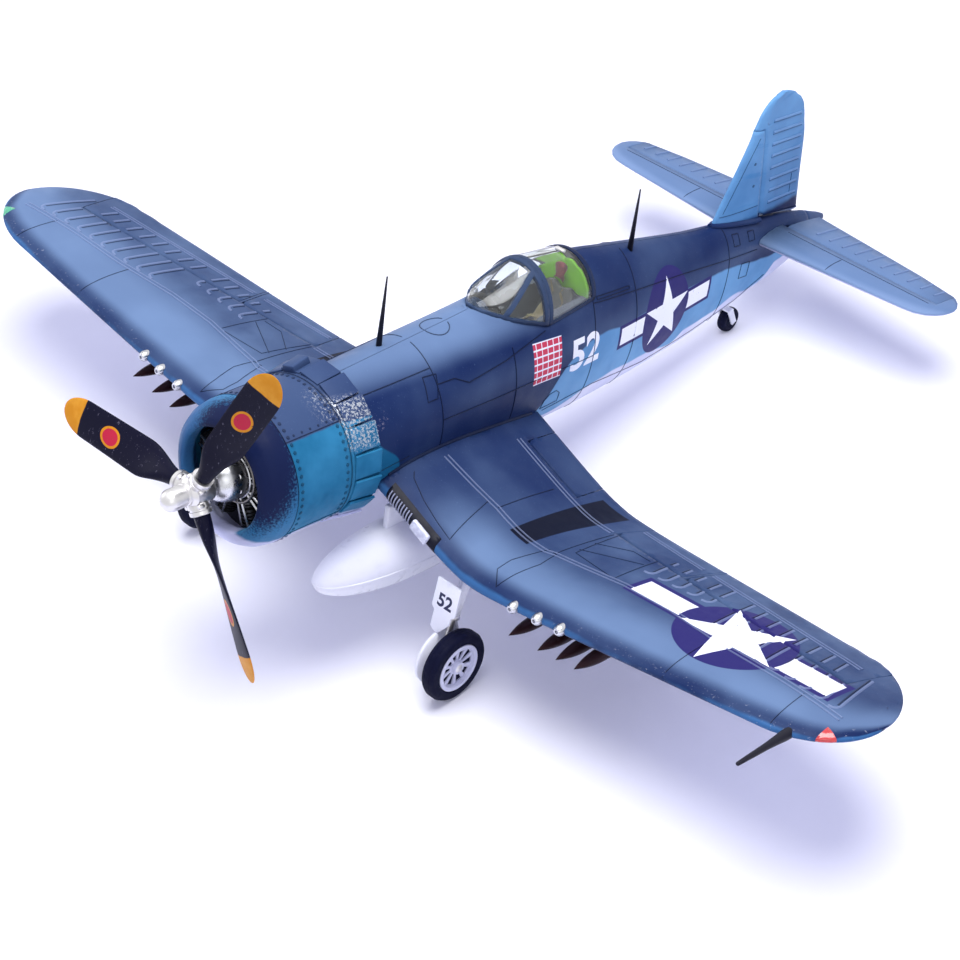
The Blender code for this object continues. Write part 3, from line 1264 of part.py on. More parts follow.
def make_fin():
    rings = []
    low = station(RUDDER_HINGE_BASE[0])[1]
    for z in steps(low, FIN_CROWN_Z - END_GAP, 6):
        front = polyline(FIN_LE, z, 1)
        half = rudder_half(z)
        back = hinge_y_at(z) - half - HINGE_GAP
        side = [(half * sqrt(1 - (1 - u) ** 2.4), front + u * (back - front)) for u in (0.03, 0.12, 0.3, 0.6, 1.0)]
        rings.append([(0, front, z)] + [(x, y, z) for x, y in side] + [(-x, y, z) for x, y in side[::-1]])
    cut(loft("vertical_fin", rings, "sky_blue"), FUSELAGE_CLEAR)


def make_rudder():
    base = Vector((0, *RUDDER_HINGE_BASE))
    matrix = hinge_matrix(base, (0, *RUDDER_HINGE_TOP))
    inverse = matrix.inverted()
    axis = matrix.col[0].to_3d()
    aft = matrix.col[1].to_3d()

    def reach_at(height, outline):
        """Distance from the hinge line to an outline of (y, z) points, measured along the section."""
        point = base + axis * height
        reach = 0.0
        for _ in range(6):
            z = (point + aft * reach).z
            reach = (polyline(outline, z, 1) - point.y) / aft.y
        return reach

    def flanks(front, back, half):
        run = back - max(front, 0.0)
        upper = [(max(front, 0.0) + share * run, half * (1 - 0.86 * share)) for share in FLANK_SHARES]
        return upper, [(y, -z) for y, z in upper]

    crown = (inverse @ Vector((0, hinge_y_at(FIN_CROWN_Z), FIN_CROWN_Z))).x + END_GAP
    top = (inverse @ Vector((0, hinge_y_at(RUDDER_TOP_Z), RUDDER_TOP_Z))).x
    rings = []
    for height in steps(0.0, crown, 5):
        half = 0.94 * rudder_half((base + axis * height).z)
        shear = RUDDER_FOOT_SHEAR * (1 - height / crown)
        back = reach_at(height, RUDDER_TE)
        for _ in range(4):
            back = reach_at(height + shear * back, RUDDER_TE)
        rings.append(surface_ring(height, half, *flanks(0.0, back, half), shear))
    for share in (0.02, 0.35, 0.62, 0.84, 0.96):
        height = crown + share * (top - crown)
        half = 0.94 * rudder_half((base + axis * height).z)
        front = reach_at(height, FIN_LE) + half / 2
        upper, lower = flanks(front, reach_at(height, RUDDER_TE), half)
        nose = [(front - half / 2 * sin(a), half * cos(a)) for a in NOSE_ARC]
        rings.append([(height, y, z) for y, z in upper + nose + lower[::-1]])
    rudder = loft("rudder", rings, "sky_blue", matrix)
    foot = base - axis * RUDDER_POST_DEPTH
    post_top = base + axis * 4 * RUDDER_POST_RADIUS
    post = rod("rudder_post", foot, post_top, RUDDER_POST_RADIUS, cutter=True, sides=10)
    horn = box("rudder_horn", (HORN_THICKNESS, HORN_THICKNESS, HORN_LENGTH), (0, 0, HORN_LENGTH / 2),
               matrix=matrix @ Matrix.Translation((HORN_THICKNESS - RUDDER_POST_DEPTH, 0, 0)), cutter=True)
    unite(rudder, post, horn)
    clear = RUDDER_POST_RADIUS + RUNNING_GAP
    hole = rod("rudder_post_hole", foot, base + axis * clear, clear, cutter=True, sides=12)
    return hole, foot + axis * HORN_THICKNESS


# Masts and equipment

def make_mast(name, spot, height):
    x, y = spot
    crown = station(y)[2]
    mast = rod(name, (x, y, crown - 2 * FUSELAGE_WALL), (x, y, crown + height), MAST_RADIUS, "black",
               MAST_TIP_RADIUS, sides=10)
    cut(mast, FUSELAGE_CLEAR)


def make_equipment():
    joiner_top = max(z for x, z in joiner_outline(0.0, JOINER_REACH))
    tray = joiner_top + GAP
    back = TRAY_FRONT_Y + TRAY_LENGTH
    width = min(half_width_at(y, tray, FUSELAGE_INSIDE) for y in steps(TRAY_FRONT_Y, back, 5))
    board = box("control_board", (2 * width, TRAY_LENGTH, TRAY_THICKNESS),
                (0, (TRAY_FRONT_Y + back) / 2, tray + TRAY_THICKNESS / 2), "green")
    behind = JOINER_Y + JOINER_THICKNESS + 2 * SHEET
    box("battery", BATTERY, (0, behind + BATTERY[1] / 2, tray - GAP - BATTERY[2] / 2), "equipment", bevel=1.0 * MM)
    unite(board, box("receiver", RECEIVER, (0, TRAY_FRONT_Y + RECEIVER[1], tray + RECEIVER[2] / 2), cutter=True))


def make_servos(rudder_horn):
    """Two linear servos on a tray behind the cockpit, each with the rod that it slides."""
    back = SERVO_FRONT_Y + SERVO_TRAY_LENGTH
    top = SERVO_TRAY_Z + SHEET
    width = min(half_width_at(y, z, FUSELAGE_INSIDE) for y in (SERVO_FRONT_Y, back) for z in (SERVO_TRAY_Z, top))
    tray = box("tail_servos", (2 * width, SERVO_TRAY_LENGTH, SHEET),
               (0, (SERVO_FRONT_Y + back) / 2, SERVO_TRAY_Z + SHEET / 2), "equipment")
    elevator_end = Vector((ELEVATOR_ROD_X, ELEVATOR_HINGE_Y - HORN_THICKNESS, STAB_Z + 0.8 * HORN_LENGTH))
    rudder_end = Vector((RUDDER_ROD_X, rudder_horn.y - HORN_THICKNESS, rudder_horn.z))
    for word, end in (("elevator", elevator_end), ("rudder", rudder_end)):
        side = 1 if end.x > 0 else -1
        x = side * (SERVO[0] / 2 + SHEET / 4)
        front_y = SERVO_FRONT_Y + 2 * SHEET
        servo_top = SERVO_TRAY_Z + SERVO[2]
        middle = (x, front_y + SERVO[1] / 2, servo_top - SERVO[2] / 2)
        unite(tray, box(f"{word}_servo", SERVO, middle, cutter=True))
        start = Vector((end.x, front_y + 2 * SHEET, servo_top + GAP + 2 * PUSHROD_RADIUS))
        rod(f"{word}_pushrod", start, end, PUSHROD_RADIUS, "chrome", sides=8)


def main():
    joiner_slot = make_joiner()
    firewall_y = make_firewall()
    spar_hole = make_spar()
    post_hole, rudder_horn = make_rudder()
    elevator_hole = rod("elevator_rod_hole", (-SPAR_REACH, ELEVATOR_HINGE_Y, STAB_Z),
                        (SPAR_REACH, ELEVATOR_HINGE_Y, STAB_Z), ELEVATOR_ROD_RADIUS + RUNNING_GAP, cutter=True,
                        sides=12)
    make_fuselage([cockpit_opening(), joiner_slot, spar_hole, elevator_hole, post_hole, make_hatch(),
                   make_tail_wheel()])
    make_tail_cone()
    make_cockpit()
    make_windscreen()
    make_canopy()
    make_cowl()
    make_cowl_flaps()
    make_engine()
    make_motor(firewall_y)
    make_propeller()
    for side, word in SIDES:
        make_wing(side, word, joiner_slot)
        make_rocket_rack(side, word)
        make_gear(side, word)
    port, start = make_stabilizer(1, "left", spar_hole)
    starboard, start = make_stabilizer(-1, "right", spar_hole)
    join_elevator(port, starboard, start)
    make_tank()
    make_pitot()
    make_fin()
    make_mast("front_antenna_mast", FRONT_MAST_PLACE, FRONT_MAST_HEIGHT)
    make_mast("rear_antenna_mast", REAR_MAST_PLACE, REAR_MAST_HEIGHT)
    make_equipment()
    make_servos(rudder_horn)


main()
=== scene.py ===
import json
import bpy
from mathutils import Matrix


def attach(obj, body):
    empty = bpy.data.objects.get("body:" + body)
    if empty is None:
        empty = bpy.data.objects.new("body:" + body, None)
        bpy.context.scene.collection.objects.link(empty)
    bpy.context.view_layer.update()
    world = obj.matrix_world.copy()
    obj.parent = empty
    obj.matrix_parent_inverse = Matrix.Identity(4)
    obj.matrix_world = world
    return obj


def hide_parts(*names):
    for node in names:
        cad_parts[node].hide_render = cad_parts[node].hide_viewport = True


bl_info = {
    "name": "Gull-wing Model Plane",
    "version": (1, 0, 0),
    "blender": (4, 5, 0),
    "location": "View3D > Sidebar > Model Plane",
    "description": "Dresses the solids of a radio-controlled gull-winged navy fighter for display",
    "category": "Object",
}

from math import asin, atan2, cos, hypot, pi, radians, sin, sqrt

import bmesh
import bpy
from bpy.props import FloatProperty, FloatVectorProperty, IntProperty, PointerProperty, StringProperty
from mathutils import Matrix, Vector
from mathutils.bvhtree import BVHTree

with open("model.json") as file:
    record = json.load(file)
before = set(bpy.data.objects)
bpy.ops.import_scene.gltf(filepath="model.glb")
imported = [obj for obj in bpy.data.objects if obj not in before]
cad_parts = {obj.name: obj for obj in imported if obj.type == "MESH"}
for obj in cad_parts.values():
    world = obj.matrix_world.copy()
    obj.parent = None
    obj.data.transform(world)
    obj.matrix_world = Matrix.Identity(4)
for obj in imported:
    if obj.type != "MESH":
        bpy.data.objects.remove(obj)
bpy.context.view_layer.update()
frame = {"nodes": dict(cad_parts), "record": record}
BODY_OF = {node: body for body, nodes in frame["record"]["behaviour"]["bodies"].items() for node in nodes}

MM = 0.001
SIDES = ((1, "left"), (-1, "right"))

# The airframe frame: X to port, Y aft from the hub's nose, Z up from the thrust line, in millimetres
WHEEL_Y, WHEEL_Z, WHEEL_RADIUS = 133.0, -102.9, 22.0
TAIL_WHEEL_Y, TAIL_WHEEL_Z, TAIL_WHEEL_RADIUS = 495.0, -45.0, 8.7
TAIL_END_Y = 583.0
WHEELBASE = hypot(TAIL_WHEEL_Y - WHEEL_Y, TAIL_WHEEL_Z - WHEEL_Z)
GROUND_PITCH = (atan2(TAIL_WHEEL_Z - WHEEL_Z, TAIL_WHEEL_Y - WHEEL_Y)
                + asin((WHEEL_RADIUS - TAIL_WHEEL_RADIUS) / WHEELBASE))
DATUM = Vector((0.0, -0.5 * TAIL_END_Y * cos(GROUND_PITCH),
                WHEEL_RADIUS + WHEEL_Y * sin(GROUND_PITCH) - WHEEL_Z * cos(GROUND_PITCH)))
TURN = Matrix.Rotation(-GROUND_PITCH, 3, "X")
AIR = Matrix.Translation(DATUM * MM) @ TURN.to_4x4() @ Matrix.Scale(MM, 4)
LEVEL = AIR.inverted()

# Fuselage sections: distance aft, half width, height of the widest line, crown, keel
FUSELAGE_STATIONS = (
    (101.0, 37.3, 0.0, 38.2, -36.8), (118.0, 37.4, 1.0, 39.4, -37.4), (150.0, 37.0, 1.5, 41.8, -41.0),
    (190.0, 36.0, 2.0, 44.8, -44.5), (226.0, 35.0, 3.0, 47.8, -46.2), (262.0, 33.2, 4.0, 52.5, -46.8),
    (314.0, 30.8, 5.5, 59.0, -46.8), (347.0, 28.0, 6.0, 54.0, -46.0), (386.0, 24.4, 6.0, 46.8, -43.6),
    (430.0, 19.4, 7.0, 39.2, -40.0), (462.0, 15.4, 8.5, 35.6, -35.0), (500.0, 10.4, 11.0, 30.0, -28.0),
    (545.0, 7.0, 11.5, 22.8, -17.0), (575.0, 3.6, 8.5, 13.6, -1.5), (583.0, 1.6, 8.0, 10.2, 5.6),
)
CROWN_POWER, KEEL_POWER = 1.85, 2.2
SKIN_SHARE = 0.972

# Wing plan and section
KNEE_X, TIP_X, TIP_Y = 103.0, 349.0, 180.0
LE_ROOT, LE_KNEE, LE_TIP, LE_TIP_X = 128.8, 132.3, 138.8, 300.0
TE_ROOT, TE_KNEE, TE_TIP, TE_TIP_X = 269.5, 267.5, 241.0, 285.0
KNEE_Z, INNER_SLOPE, OUTER_SLOPE, KNEE_ROUNDING = -49.0, -0.418, 0.135, 4.0
INCIDENCE, CAMBER, TE_THICKNESS = 0.04, 0.012, 0.9
ROOT_THICKNESS, TIP_THICKNESS = 0.16, 0.115
INNER_HINGE_Y = 245.0
OUTER_HINGE = ((127.0, 239.0), (327.0, 199.0))
AILERON_START = 186.0
OUTLINE_SPANS = (148.3, 198.9, 249.4, 300.0, 324.5, 334.65, 342.43, 347.33, 348.6)

# Wing skin: how far points are moved, the same on the upper nose of a flap, strip kept at the trailing edge
SKIN_REACH, NOSE_REACH, EDGE_KEPT = 1.2, 2.0, 2.0

# Fin and rudder edges: height, distance aft
FIN_FRONT = ((22.0, 448.0), (39.4, 455.0), (62.8, 467.0), (91.0, 481.7), (99.0, 487.0), (106.8, 495.7),
             (113.2, 507.0))
RUDDER_BACK = ((22.0, 548.5), (45.1, 544.5), (76.0, 540.3), (92.0, 538.4), (101.0, 536.0), (110.2, 529.7),
               (114.0, 522.0))
RUDDER_HINGE = ((34.0, 503.8), (98.0, 494.6))

# The rounder edges that the fin's and rudder's skins take on: height, distance aft
FIN_ROUND = ((22.0, 448.0), (45.3, 458.6), (67.0, 469.2), (88.8, 479.6), (100.0, 483.6), (106.4, 486.4),
             (111.0, 489.6), (114.6, 493.6), (117.2, 498.2), (118.4, 503.0))
RUDDER_ROUND = ((22.0, 548.5), (45.0, 545.0), (60.6, 542.6), (76.0, 540.4), (88.5, 538.2), (96.0, 536.3),
                (101.5, 534.2), (107.0, 530.9), (112.3, 526.0), (116.0, 520.8), (118.4, 514.5))

# Heights at which the rounder edges start and are whole, the rise of the tip, and the crown of its cap
ROUND_START, ROUND_WHOLE, FIN_RISE = 60.0, 75.0, 5.0
CAP_START, CAP_RISE = 0.93, 0.9

# The rudder's lowered foot, the horn's foot and nose, and the half thickness of the fin over its height
RUDDER_FOOT, FOOT_BLEND, FOOT_DROP = 40.0, 5.0, 1.5
HORN_FOOT, HORN_NOSE, NOSE_POWER, HORN_SHARE = 95.5, 11.0, 2.4, 0.94
FIN_HALF = ((34.0, 4.6), (113.8, 2.4))

# Photograph's viewpoint, in the airframe frame
VIEW_TARGET = Vector((0.0, 268.1, 0.0))
VIEW_BACK = Vector((0.54462, -0.67570, 0.49679))
VIEW_RIGHT = Vector((0.72229, 0.67895, 0.13163))
VIEW_UP = Vector((-0.42624, 0.28714, 0.85783))
VIEW_DISTANCE = 1523.7

# Turn of the first blade, and the slope of a star's edges from its inner radius
BLADE_PHASE = radians(28.3)
STAR_INNER = 0.381966
STAR_SLOPE = (1 - STAR_INNER * cos(pi / 5)) / (STAR_INNER * sin(pi / 5))


def colour_prop(name, value, description):
    return FloatVectorProperty(name=name, description=description, default=value, subtype="COLOR",
                               size=3, min=0.0, max=1.0)


def length_prop(name, value, description):
    return FloatProperty(name=name, description=description, default=value * MM, unit="LENGTH", min=0.0)


class PlaneColours(bpy.types.PropertyGroup):
    """Paint and material colours."""
    sea_blue: colour_prop("Sea blue", (0.0055, 0.0175, 0.077), "Upper surfaces")
    # The worn sea blue serves airbrushed light patches and dust, and also the painted sheen and highlights
    sea_blue_worn_and_sheen: colour_prop("Worn sea blue", (0.160, 0.250, 0.405), "Airbrushed light patches on the blue")
    # Edge blue is a painted highlight along the leading edges
    edge_highlight_blue: colour_prop("Edge blue", (0.045, 0.15, 0.34), "Bright band along the leading edges")
    sky_blue: colour_prop("Sky blue", (0.095, 0.255, 0.47), "Fin, rudder and rear flanks")
    belly: colour_prop("Belly", (0.55, 0.57, 0.76), "Undersides")
    cowl_blue: colour_prop("Cowl blue", (0.010, 0.115, 0.225), "Sides of the cowl")
    roundel: colour_prop("Roundel", (0.022, 0.019, 0.120), "Disc behind the star")
    star: colour_prop("Star", (0.83, 0.85, 0.92), "Star, bars and numbers")
    block_red: colour_prop("Block red", (0.55, 0.045, 0.09), "Chequered block on the flank")
    blade: colour_prop("Blade", (0.004, 0.004, 0.016), "Propeller blades")
    tip: colour_prop("Blade tip", (0.60, 0.235, 0.012), "Propeller tips")
    white: colour_prop("White", (0.78, 0.79, 0.84), "Gear, doors and tank")
    rubber: colour_prop("Rubber", (0.004, 0.005, 0.020), "Tyres")
    rocket: colour_prop("Rocket", (0.016, 0.004, 0.005), "Rocket bodies")
    bulkhead: colour_prop("Bulkhead", (0.21, 0.60, 0.015), "Armour plate behind the seat")
    headrest: colour_prop("Headrest", (0.24, 0.012, 0.02), "Headrest leather")
    cushion: colour_prop("Cushion", (0.36, 0.29, 0.14), "Seat cushion canvas")


class PlaneSizes(bpy.types.PropertyGroup):
    """Sizes of the surface detail."""
    seam: length_prop("Seam", 0.36, "Radius of a panel seam")
    rib: length_prop("Rib", 1.05, "Radius of a raised rib")
    rivet: length_prop("Rivet", 1.25, "Radius of a cowl rivet")
    skin: length_prop("Skin detail", 4.5, "Longest edge in the fuselage and wing skins")
    roundel_wing: FloatProperty(name="Wing roundel", default=34.5,
                                description="Radius of the wing roundel in millimetres")
    roundel_side: FloatProperty(name="Side roundel", default=24.5,
                                description="Radius of the fuselage roundel in millimetres")
    number: StringProperty(name="Number", default="52",
                           description="Plain number on the flanks and gear doors")
    lathe: IntProperty(name="Lathe steps", description="Steps in a turned piece", default=96, min=12)


class PlaneStage(bpy.types.PropertyGroup):
    """Camera and light."""
    lens: FloatProperty(name="Lens", description="Focal length", default=95.32, unit="CAMERA")
    shift_x: FloatProperty(name="Shift X", description="Sideways shift of the picture", default=-0.02732)
    shift_y: FloatProperty(name="Shift Y", description="Upward shift of the picture", default=-0.1265)
    key: FloatProperty(name="Key light", default=19.0, unit="POWER",
                       description="Power of the overhead softbox")
    fill: FloatProperty(name="Fill light", default=2.5, unit="POWER",
                        description="Power of the side softboxes")
    ambient: colour_prop("Ambient", (0.54, 0.55, 0.79), "Light from all round")
    floor: colour_prop("Floor", (0.93, 0.93, 0.95), "Floor colour")


def colours():
    return bpy.context.scene.plane_colours


def sizes():
    return bpy.context.scene.plane_sizes


# Surfaces of the airframe

def air(*point):
    """A row-frame point from airframe millimetres."""
    return AIR @ Vector(point)


def heading(*direction):
    return TURN @ Vector(direction)


def between(value, low, high):
    share = (value - low[0]) / (high[0] - low[0])
    return low[1] + share * (high[1] - low[1])


def along(points, value):
    """Height of a broken line at value."""
    for low, high in zip(points, points[1:]):
        if value <= high[0]:
            break
    return between(value, low, high)


def smooth_row(rows, y):
    """Values at y on a smooth curve through rows, each of which starts with its own y."""
    last = len(rows) - 1
    i = max(k for k in range(last) if rows[k][0] <= y or k == 0)
    slope = [None, None]
    for n, k in enumerate((i, i + 1)):
        low, high = rows[max(k - 1, 0)], rows[min(k + 1, last)]
        slope[n] = [(b - a) / (high[0] - low[0]) for a, b in zip(low[1:], high[1:])]
    span = rows[i + 1][0] - rows[i][0]
    t = (y - rows[i][0]) / span
    blend = (2 * t**3 - 3 * t**2 + 1, t**3 - 2 * t**2 + t, -2 * t**3 + 3 * t**2, t**3 - t**2)
    return [blend[0] * a + blend[1] * span * m + blend[2] * b + blend[3] * span * n
            for a, m, b, n in zip(rows[i][1:], slope[0], rows[i + 1][1:], slope[1])]


def station(y):
    """Half width, widest line, crown and keel at y."""
    return smooth_row(FUSELAGE_STATIONS, y)


def fit_hull(point):
    """Moves a point of the outer skin on to the smooth fuselage section."""
    width, middle, crown, keel = station(point.y)
    up = point.z - middle
    power, height = (CROWN_POWER, crown - middle) if up >= 0 else (KEEL_POWER, middle - keel)
    share = ((abs(point.x) / width) ** power + (abs(up) / height) ** power) ** (1 / power)
    if share > SKIN_SHARE:
        point.x /= share
        point.z = middle + up / share
    return point


def leading_edge(x):
    if x <= LE_TIP_X:
        return along(((0.0, LE_ROOT), (KNEE_X, LE_KNEE), (LE_TIP_X, LE_TIP)), x)
    share = (x - LE_TIP_X) / (TIP_X - LE_TIP_X)
    return TIP_Y - (TIP_Y - LE_TIP) * sqrt(max(1 - share**2, 0.0))


def trailing_edge(x):
    if x <= TE_TIP_X:
        return along(((0.0, TE_ROOT), (KNEE_X, TE_KNEE), (TE_TIP_X, TE_TIP)), x)
    share = (x - TE_TIP_X) / (TIP_X - TE_TIP_X)
    return TIP_Y + (TE_TIP - TIP_Y) * sqrt(max(1 - share**2, 0.0))


def knee_height(x):
    """Height of the gull wing's leading edge, with its knee rounded off."""
    inner = KNEE_Z + INNER_SLOPE * (x - KNEE_X)
    outer = KNEE_Z + OUTER_SLOPE * (x - KNEE_X)
    return (inner + outer) / 2 + hypot((inner - outer) / 2, KNEE_ROUNDING)


def wing_heights(x, y):
    """Lower and upper surface heights of the wing."""
    front, back = leading_edge(x), trailing_edge(x)
    chord = max(back - front, 1.0)
    u = min(max((y - front) / chord, 0.0), 1.0)
    form = 5 * (0.2969 * sqrt(u) - 0.126 * u - 0.3516 * u**2 + 0.2843 * u**3 - 0.1015 * u**4)
    ratio = between(x, (0.0, ROOT_THICKNESS), (TIP_X, TIP_THICKNESS))
    half = form * ratio * chord + u * TE_THICKNESS / 2
    middle = knee_height(x) - INCIDENCE * chord * u + 4 * CAMBER * chord * u * (1 - u)
    return middle - half, middle + half


def fit_plan(x, y):
    """Moves y from the solid's straight-sided outline to the smooth one."""
    for low, high in zip(OUTLINE_SPANS, OUTLINE_SPANS[1:]):
        if low <= x <= high:
            front = between(x, (low, leading_edge(low)), (high, leading_edge(high)))
            back = between(x, (low, trailing_edge(low)), (high, trailing_edge(high)))
            share = (y - front) / max(back - front, 1.0)
            return leading_edge(x) + share * (trailing_edge(x) - leading_edge(x))
    return y


def fit_wing(point, plan=True, reach=SKIN_REACH):
    """Moves a point of the wing's skin on to its smooth section, from up to reach away on the upper side."""
    x = abs(point.x)
    if plan:
        point.y = min(fit_plan(x, point.y), trailing_edge(x))
    low, high = wing_heights(x, point.y)
    upper = abs(point.z - high) < abs(point.z - low)
    surface = high if upper else low
    near = abs(point.z - surface) < (reach if upper else SKIN_REACH)
    if near and point.y < trailing_edge(x) - EDGE_KEPT:
        point.z = surface
    return point


def fit_aileron(point):
    return fit_wing(point, True, NOSE_REACH)


def fit_flap(point):
    return fit_wing(point, False, NOSE_REACH)


def fit_fin(point):
    """Carries the straight-sided fin and rudder on to the rounder edges, with a fine nose on the horn."""
    solid_z = point.z
    if solid_z <= ROUND_START:
        if solid_z < RUDDER_FOOT and point.y > between(solid_z, *RUDDER_HINGE) + 1.0:
            point.z -= FOOT_DROP * min((RUDDER_FOOT - solid_z) / FOOT_BLEND, 1.0)
        return point
    solid_top, round_top = FIN_FRONT[-1][0], FIN_ROUND[-1][0]
    height = min(solid_z, solid_top)
    front, back = along(FIN_FRONT, height), along(RUDDER_BACK, height)
    share = (point.y - front) / (back - front)
    grow = max(solid_z - ROUND_WHOLE, 0.0) / (solid_top - ROUND_WHOLE)
    tall = min(solid_z + FIN_RISE * grow * grow, round_top)
    new_front, new_back = smooth_row(FIN_ROUND, tall)[0], smooth_row(RUDDER_ROUND, tall)[0]
    blend = min((solid_z - ROUND_START) / (ROUND_WHOLE - ROUND_START), 1.0)
    point.y += blend * (new_front + share * (new_back - new_front) - point.y)
    cap = min(max(grow - CAP_START, 0.0) / (1 - CAP_START), 1.0)
    point.z = tall + CAP_RISE * cap * max(1 - (2 * share - 1) ** 2, 0.0)
    if solid_z > HORN_FOOT:
        u = min(max((point.y - new_front) / HORN_NOSE, 0.0), 1.0)
        half = HORN_SHARE * between(solid_z, *FIN_HALF) * sqrt(1 - (1 - u) ** NOSE_POWER)
        point.x = min(max(point.x, -half), half)
    return point


def outer_hinge(x):
    return between(x, *OUTER_HINGE)


# Meshes

SHARP_ANGLE = 35
SIDE_REACH, PLAN_REACH = 120.0, 150.0


def merged(node):
    """A copy of a solid's mesh with its triangles joined up."""
    bm = bmesh.new()
    bm.from_mesh(frame["nodes"][node].data)
    bmesh.ops.remove_doubles(bm, verts=bm.verts, dist=2e-6)
    return bm


def refine(bm, longest, fit):
    """Splits long edges, and settles every point on the smooth surface that it belongs to."""
    for _ in range(7):
        edges = [e for e in bm.edges if e.calc_length() > longest]
        if not edges:
            break
        bmesh.ops.subdivide_edges(bm, edges=edges, cuts=1)
        bmesh.ops.triangulate(bm, faces=[f for f in bm.faces if len(f.verts) > 3])
    for v in bm.verts:
        v.co = AIR @ fit(LEVEL @ v.co)


def soften(bm, width):
    """Rounds every sharp edge."""
    bmesh.ops.dissolve_limit(bm, angle_limit=radians(1.0), verts=bm.verts, edges=bm.edges)
    pairs = [e for e in bm.edges if len(e.link_faces) == 2]
    sharp = [e for e in pairs if e.calc_face_angle(0.0) > radians(SHARP_ANGLE)]
    bmesh.ops.bevel(bm, geom=sharp, offset=width * MM, offset_type="OFFSET", segments=2, profile=0.5,
                    affect="EDGES", clamp_overlap=True, material=-1)


def piece(name, bm, material, body, stands_for=(), smooth=38):
    """An object from a mesh, riding a body, in place of the solids that it stands for."""
    mesh = bpy.data.meshes.new(name)
    bm.to_mesh(mesh)
    bm.free()
    mesh.materials.append(material)
    mesh.shade_smooth()
    mesh.set_sharp_from_angle(angle=radians(smooth))
    obj = bpy.data.objects.new(name, mesh)
    bpy.context.scene.collection.objects.link(obj)
    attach(obj, body)
    if stands_for:
        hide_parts(*stands_for)
    return obj


def reskin(node, material, bevel=0.0, smooth=38, fit=None, longest=None):
    """A finished copy of a solid, in its place."""
    bm = merged(node)
    if fit:
        refine(bm, longest or sizes().skin, fit)
    if bevel:
        soften(bm, bevel)
    return piece(f"{node}_finish", bm, material, BODY_OF[node], (node,), smooth)


def dress(material, *nodes):
    """Gives solids that stay as they are a better material."""
    for node in nodes:
        mesh = frame["nodes"][node].data
        mesh.materials.clear()
        mesh.materials.append(material)


def surface_tree(*names):
    """A tree for laying detail on finished pieces."""
    bm = bmesh.new()
    for name in names:
        bm.from_mesh(bpy.data.objects[name].data)
    tree = BVHTree.FromBMesh(bm)
    bm.free()
    return tree


def drop(tree, points, direction, lift=0.0):
    """Where rays from airframe points meet a surface, in the row frame."""
    found = []
    for point in points:
        hit, normal, _, _ = tree.ray_cast(air(*point), heading(*direction))
        if hit is not None:
            found.append(hit + normal * lift)
    return found


def fine(points, step=3.0, closed=False):
    """A broken line with points close together."""
    corners = [Vector(p) for p in points]
    if closed:
        corners.append(corners[0])
    made = [corners[0]]
    for a, b in zip(corners, corners[1:]):
        count = max(int((b - a).length / step), 1)
        made += [a.lerp(b, (k + 1) / count) for k in range(count)]
    return made


def curve_mesh(curve, gap):
    """The mesh that a curve makes, with points nearer than gap joined; the curve is removed."""
    holder = bpy.data.objects.new(curve.name, curve)
    bpy.context.scene.collection.objects.link(holder)
    graph = bpy.context.evaluated_depsgraph_get()
    mesh = bpy.data.meshes.new_from_object(holder.evaluated_get(graph))
    bm = bmesh.new()
    bm.from_mesh(mesh)
    bpy.data.objects.remove(holder)
    bpy.data.curves.remove(curve)
    bpy.data.meshes.remove(mesh)
    bmesh.ops.remove_doubles(bm, verts=bm.verts, dist=gap)
    return bm


def strands(paths, radius, sides=2):
    """Round beads along paths in the row frame."""
    curve = bpy.data.curves.new("strands", "CURVE")
    curve.dimensions = "3D"
    curve.bevel_depth = radius
    curve.bevel_resolution = sides
    curve.use_fill_caps = True
    for path in paths:
        if len(path) < 2:
            continue
        spline = curve.splines.new("POLY")
        spline.points.add(len(path) - 1)
        for point, place in zip(spline.points, path):
            point.co = (*place, 1.0)
    return curve_mesh(curve, 1e-6)


def lathe(profile, axis_matrix, steps=None, bm=None):
    """Turns (radius, distance) points, in millimetres, about the local Z axis of an airframe matrix."""
    bm = bm or bmesh.new()
    chain = [bm.verts.new((r, 0.0, d)) for r, d in profile]
    edges = [bm.edges.new(pair) for pair in zip(chain, chain[1:])]
    before = set(bm.verts) - set(chain)
    bmesh.ops.spin(bm, geom=chain + edges, cent=(0, 0, 0), axis=(0, 0, 1), angle=2 * pi,
                   steps=steps or sizes().lathe, use_merge=True)
    made = [v for v in bm.verts if v not in before]
    bmesh.ops.remove_doubles(bm, verts=made, dist=1e-5)
    made = [v for v in bm.verts if v not in before]
    faces = list({f for v in made for f in v.link_faces})
    bmesh.ops.recalc_face_normals(bm, faces=faces)
    bmesh.ops.transform(bm, matrix=AIR @ axis_matrix, verts=made)
    return bm


def forward_axis(x=0.0, z=0.0):
    """Local Z runs aft along the thrust line."""
    return Matrix.Translation((x, 0, z)) @ Matrix.Rotation(-pi / 2, 4, "X")


def side_axis(x, y, z):
    return Matrix.Translation((x, y, z)) @ Matrix.Rotation(pi / 2, 4, "Y")


def facing(place, direction):
    """An airframe matrix at place whose Z axis points along direction."""
    return Matrix.Translation(place) @ Vector(direction).to_track_quat("Z", "Y").to_matrix().to_4x4()


def add_box(bm, size, matrix, bevel):
    """A box with rounded edges, from an airframe matrix."""
    made = bmesh.ops.create_cube(bm, size=1.0)["verts"]
    bmesh.ops.transform(bm, matrix=AIR @ matrix @ Matrix.Diagonal((*size, 1.0)), verts=made)
    bmesh.ops.bevel(bm, geom=list({e for v in made for e in v.link_edges}), offset=bevel * MM, segments=3,
                    profile=0.5, affect="EDGES", material=-1)


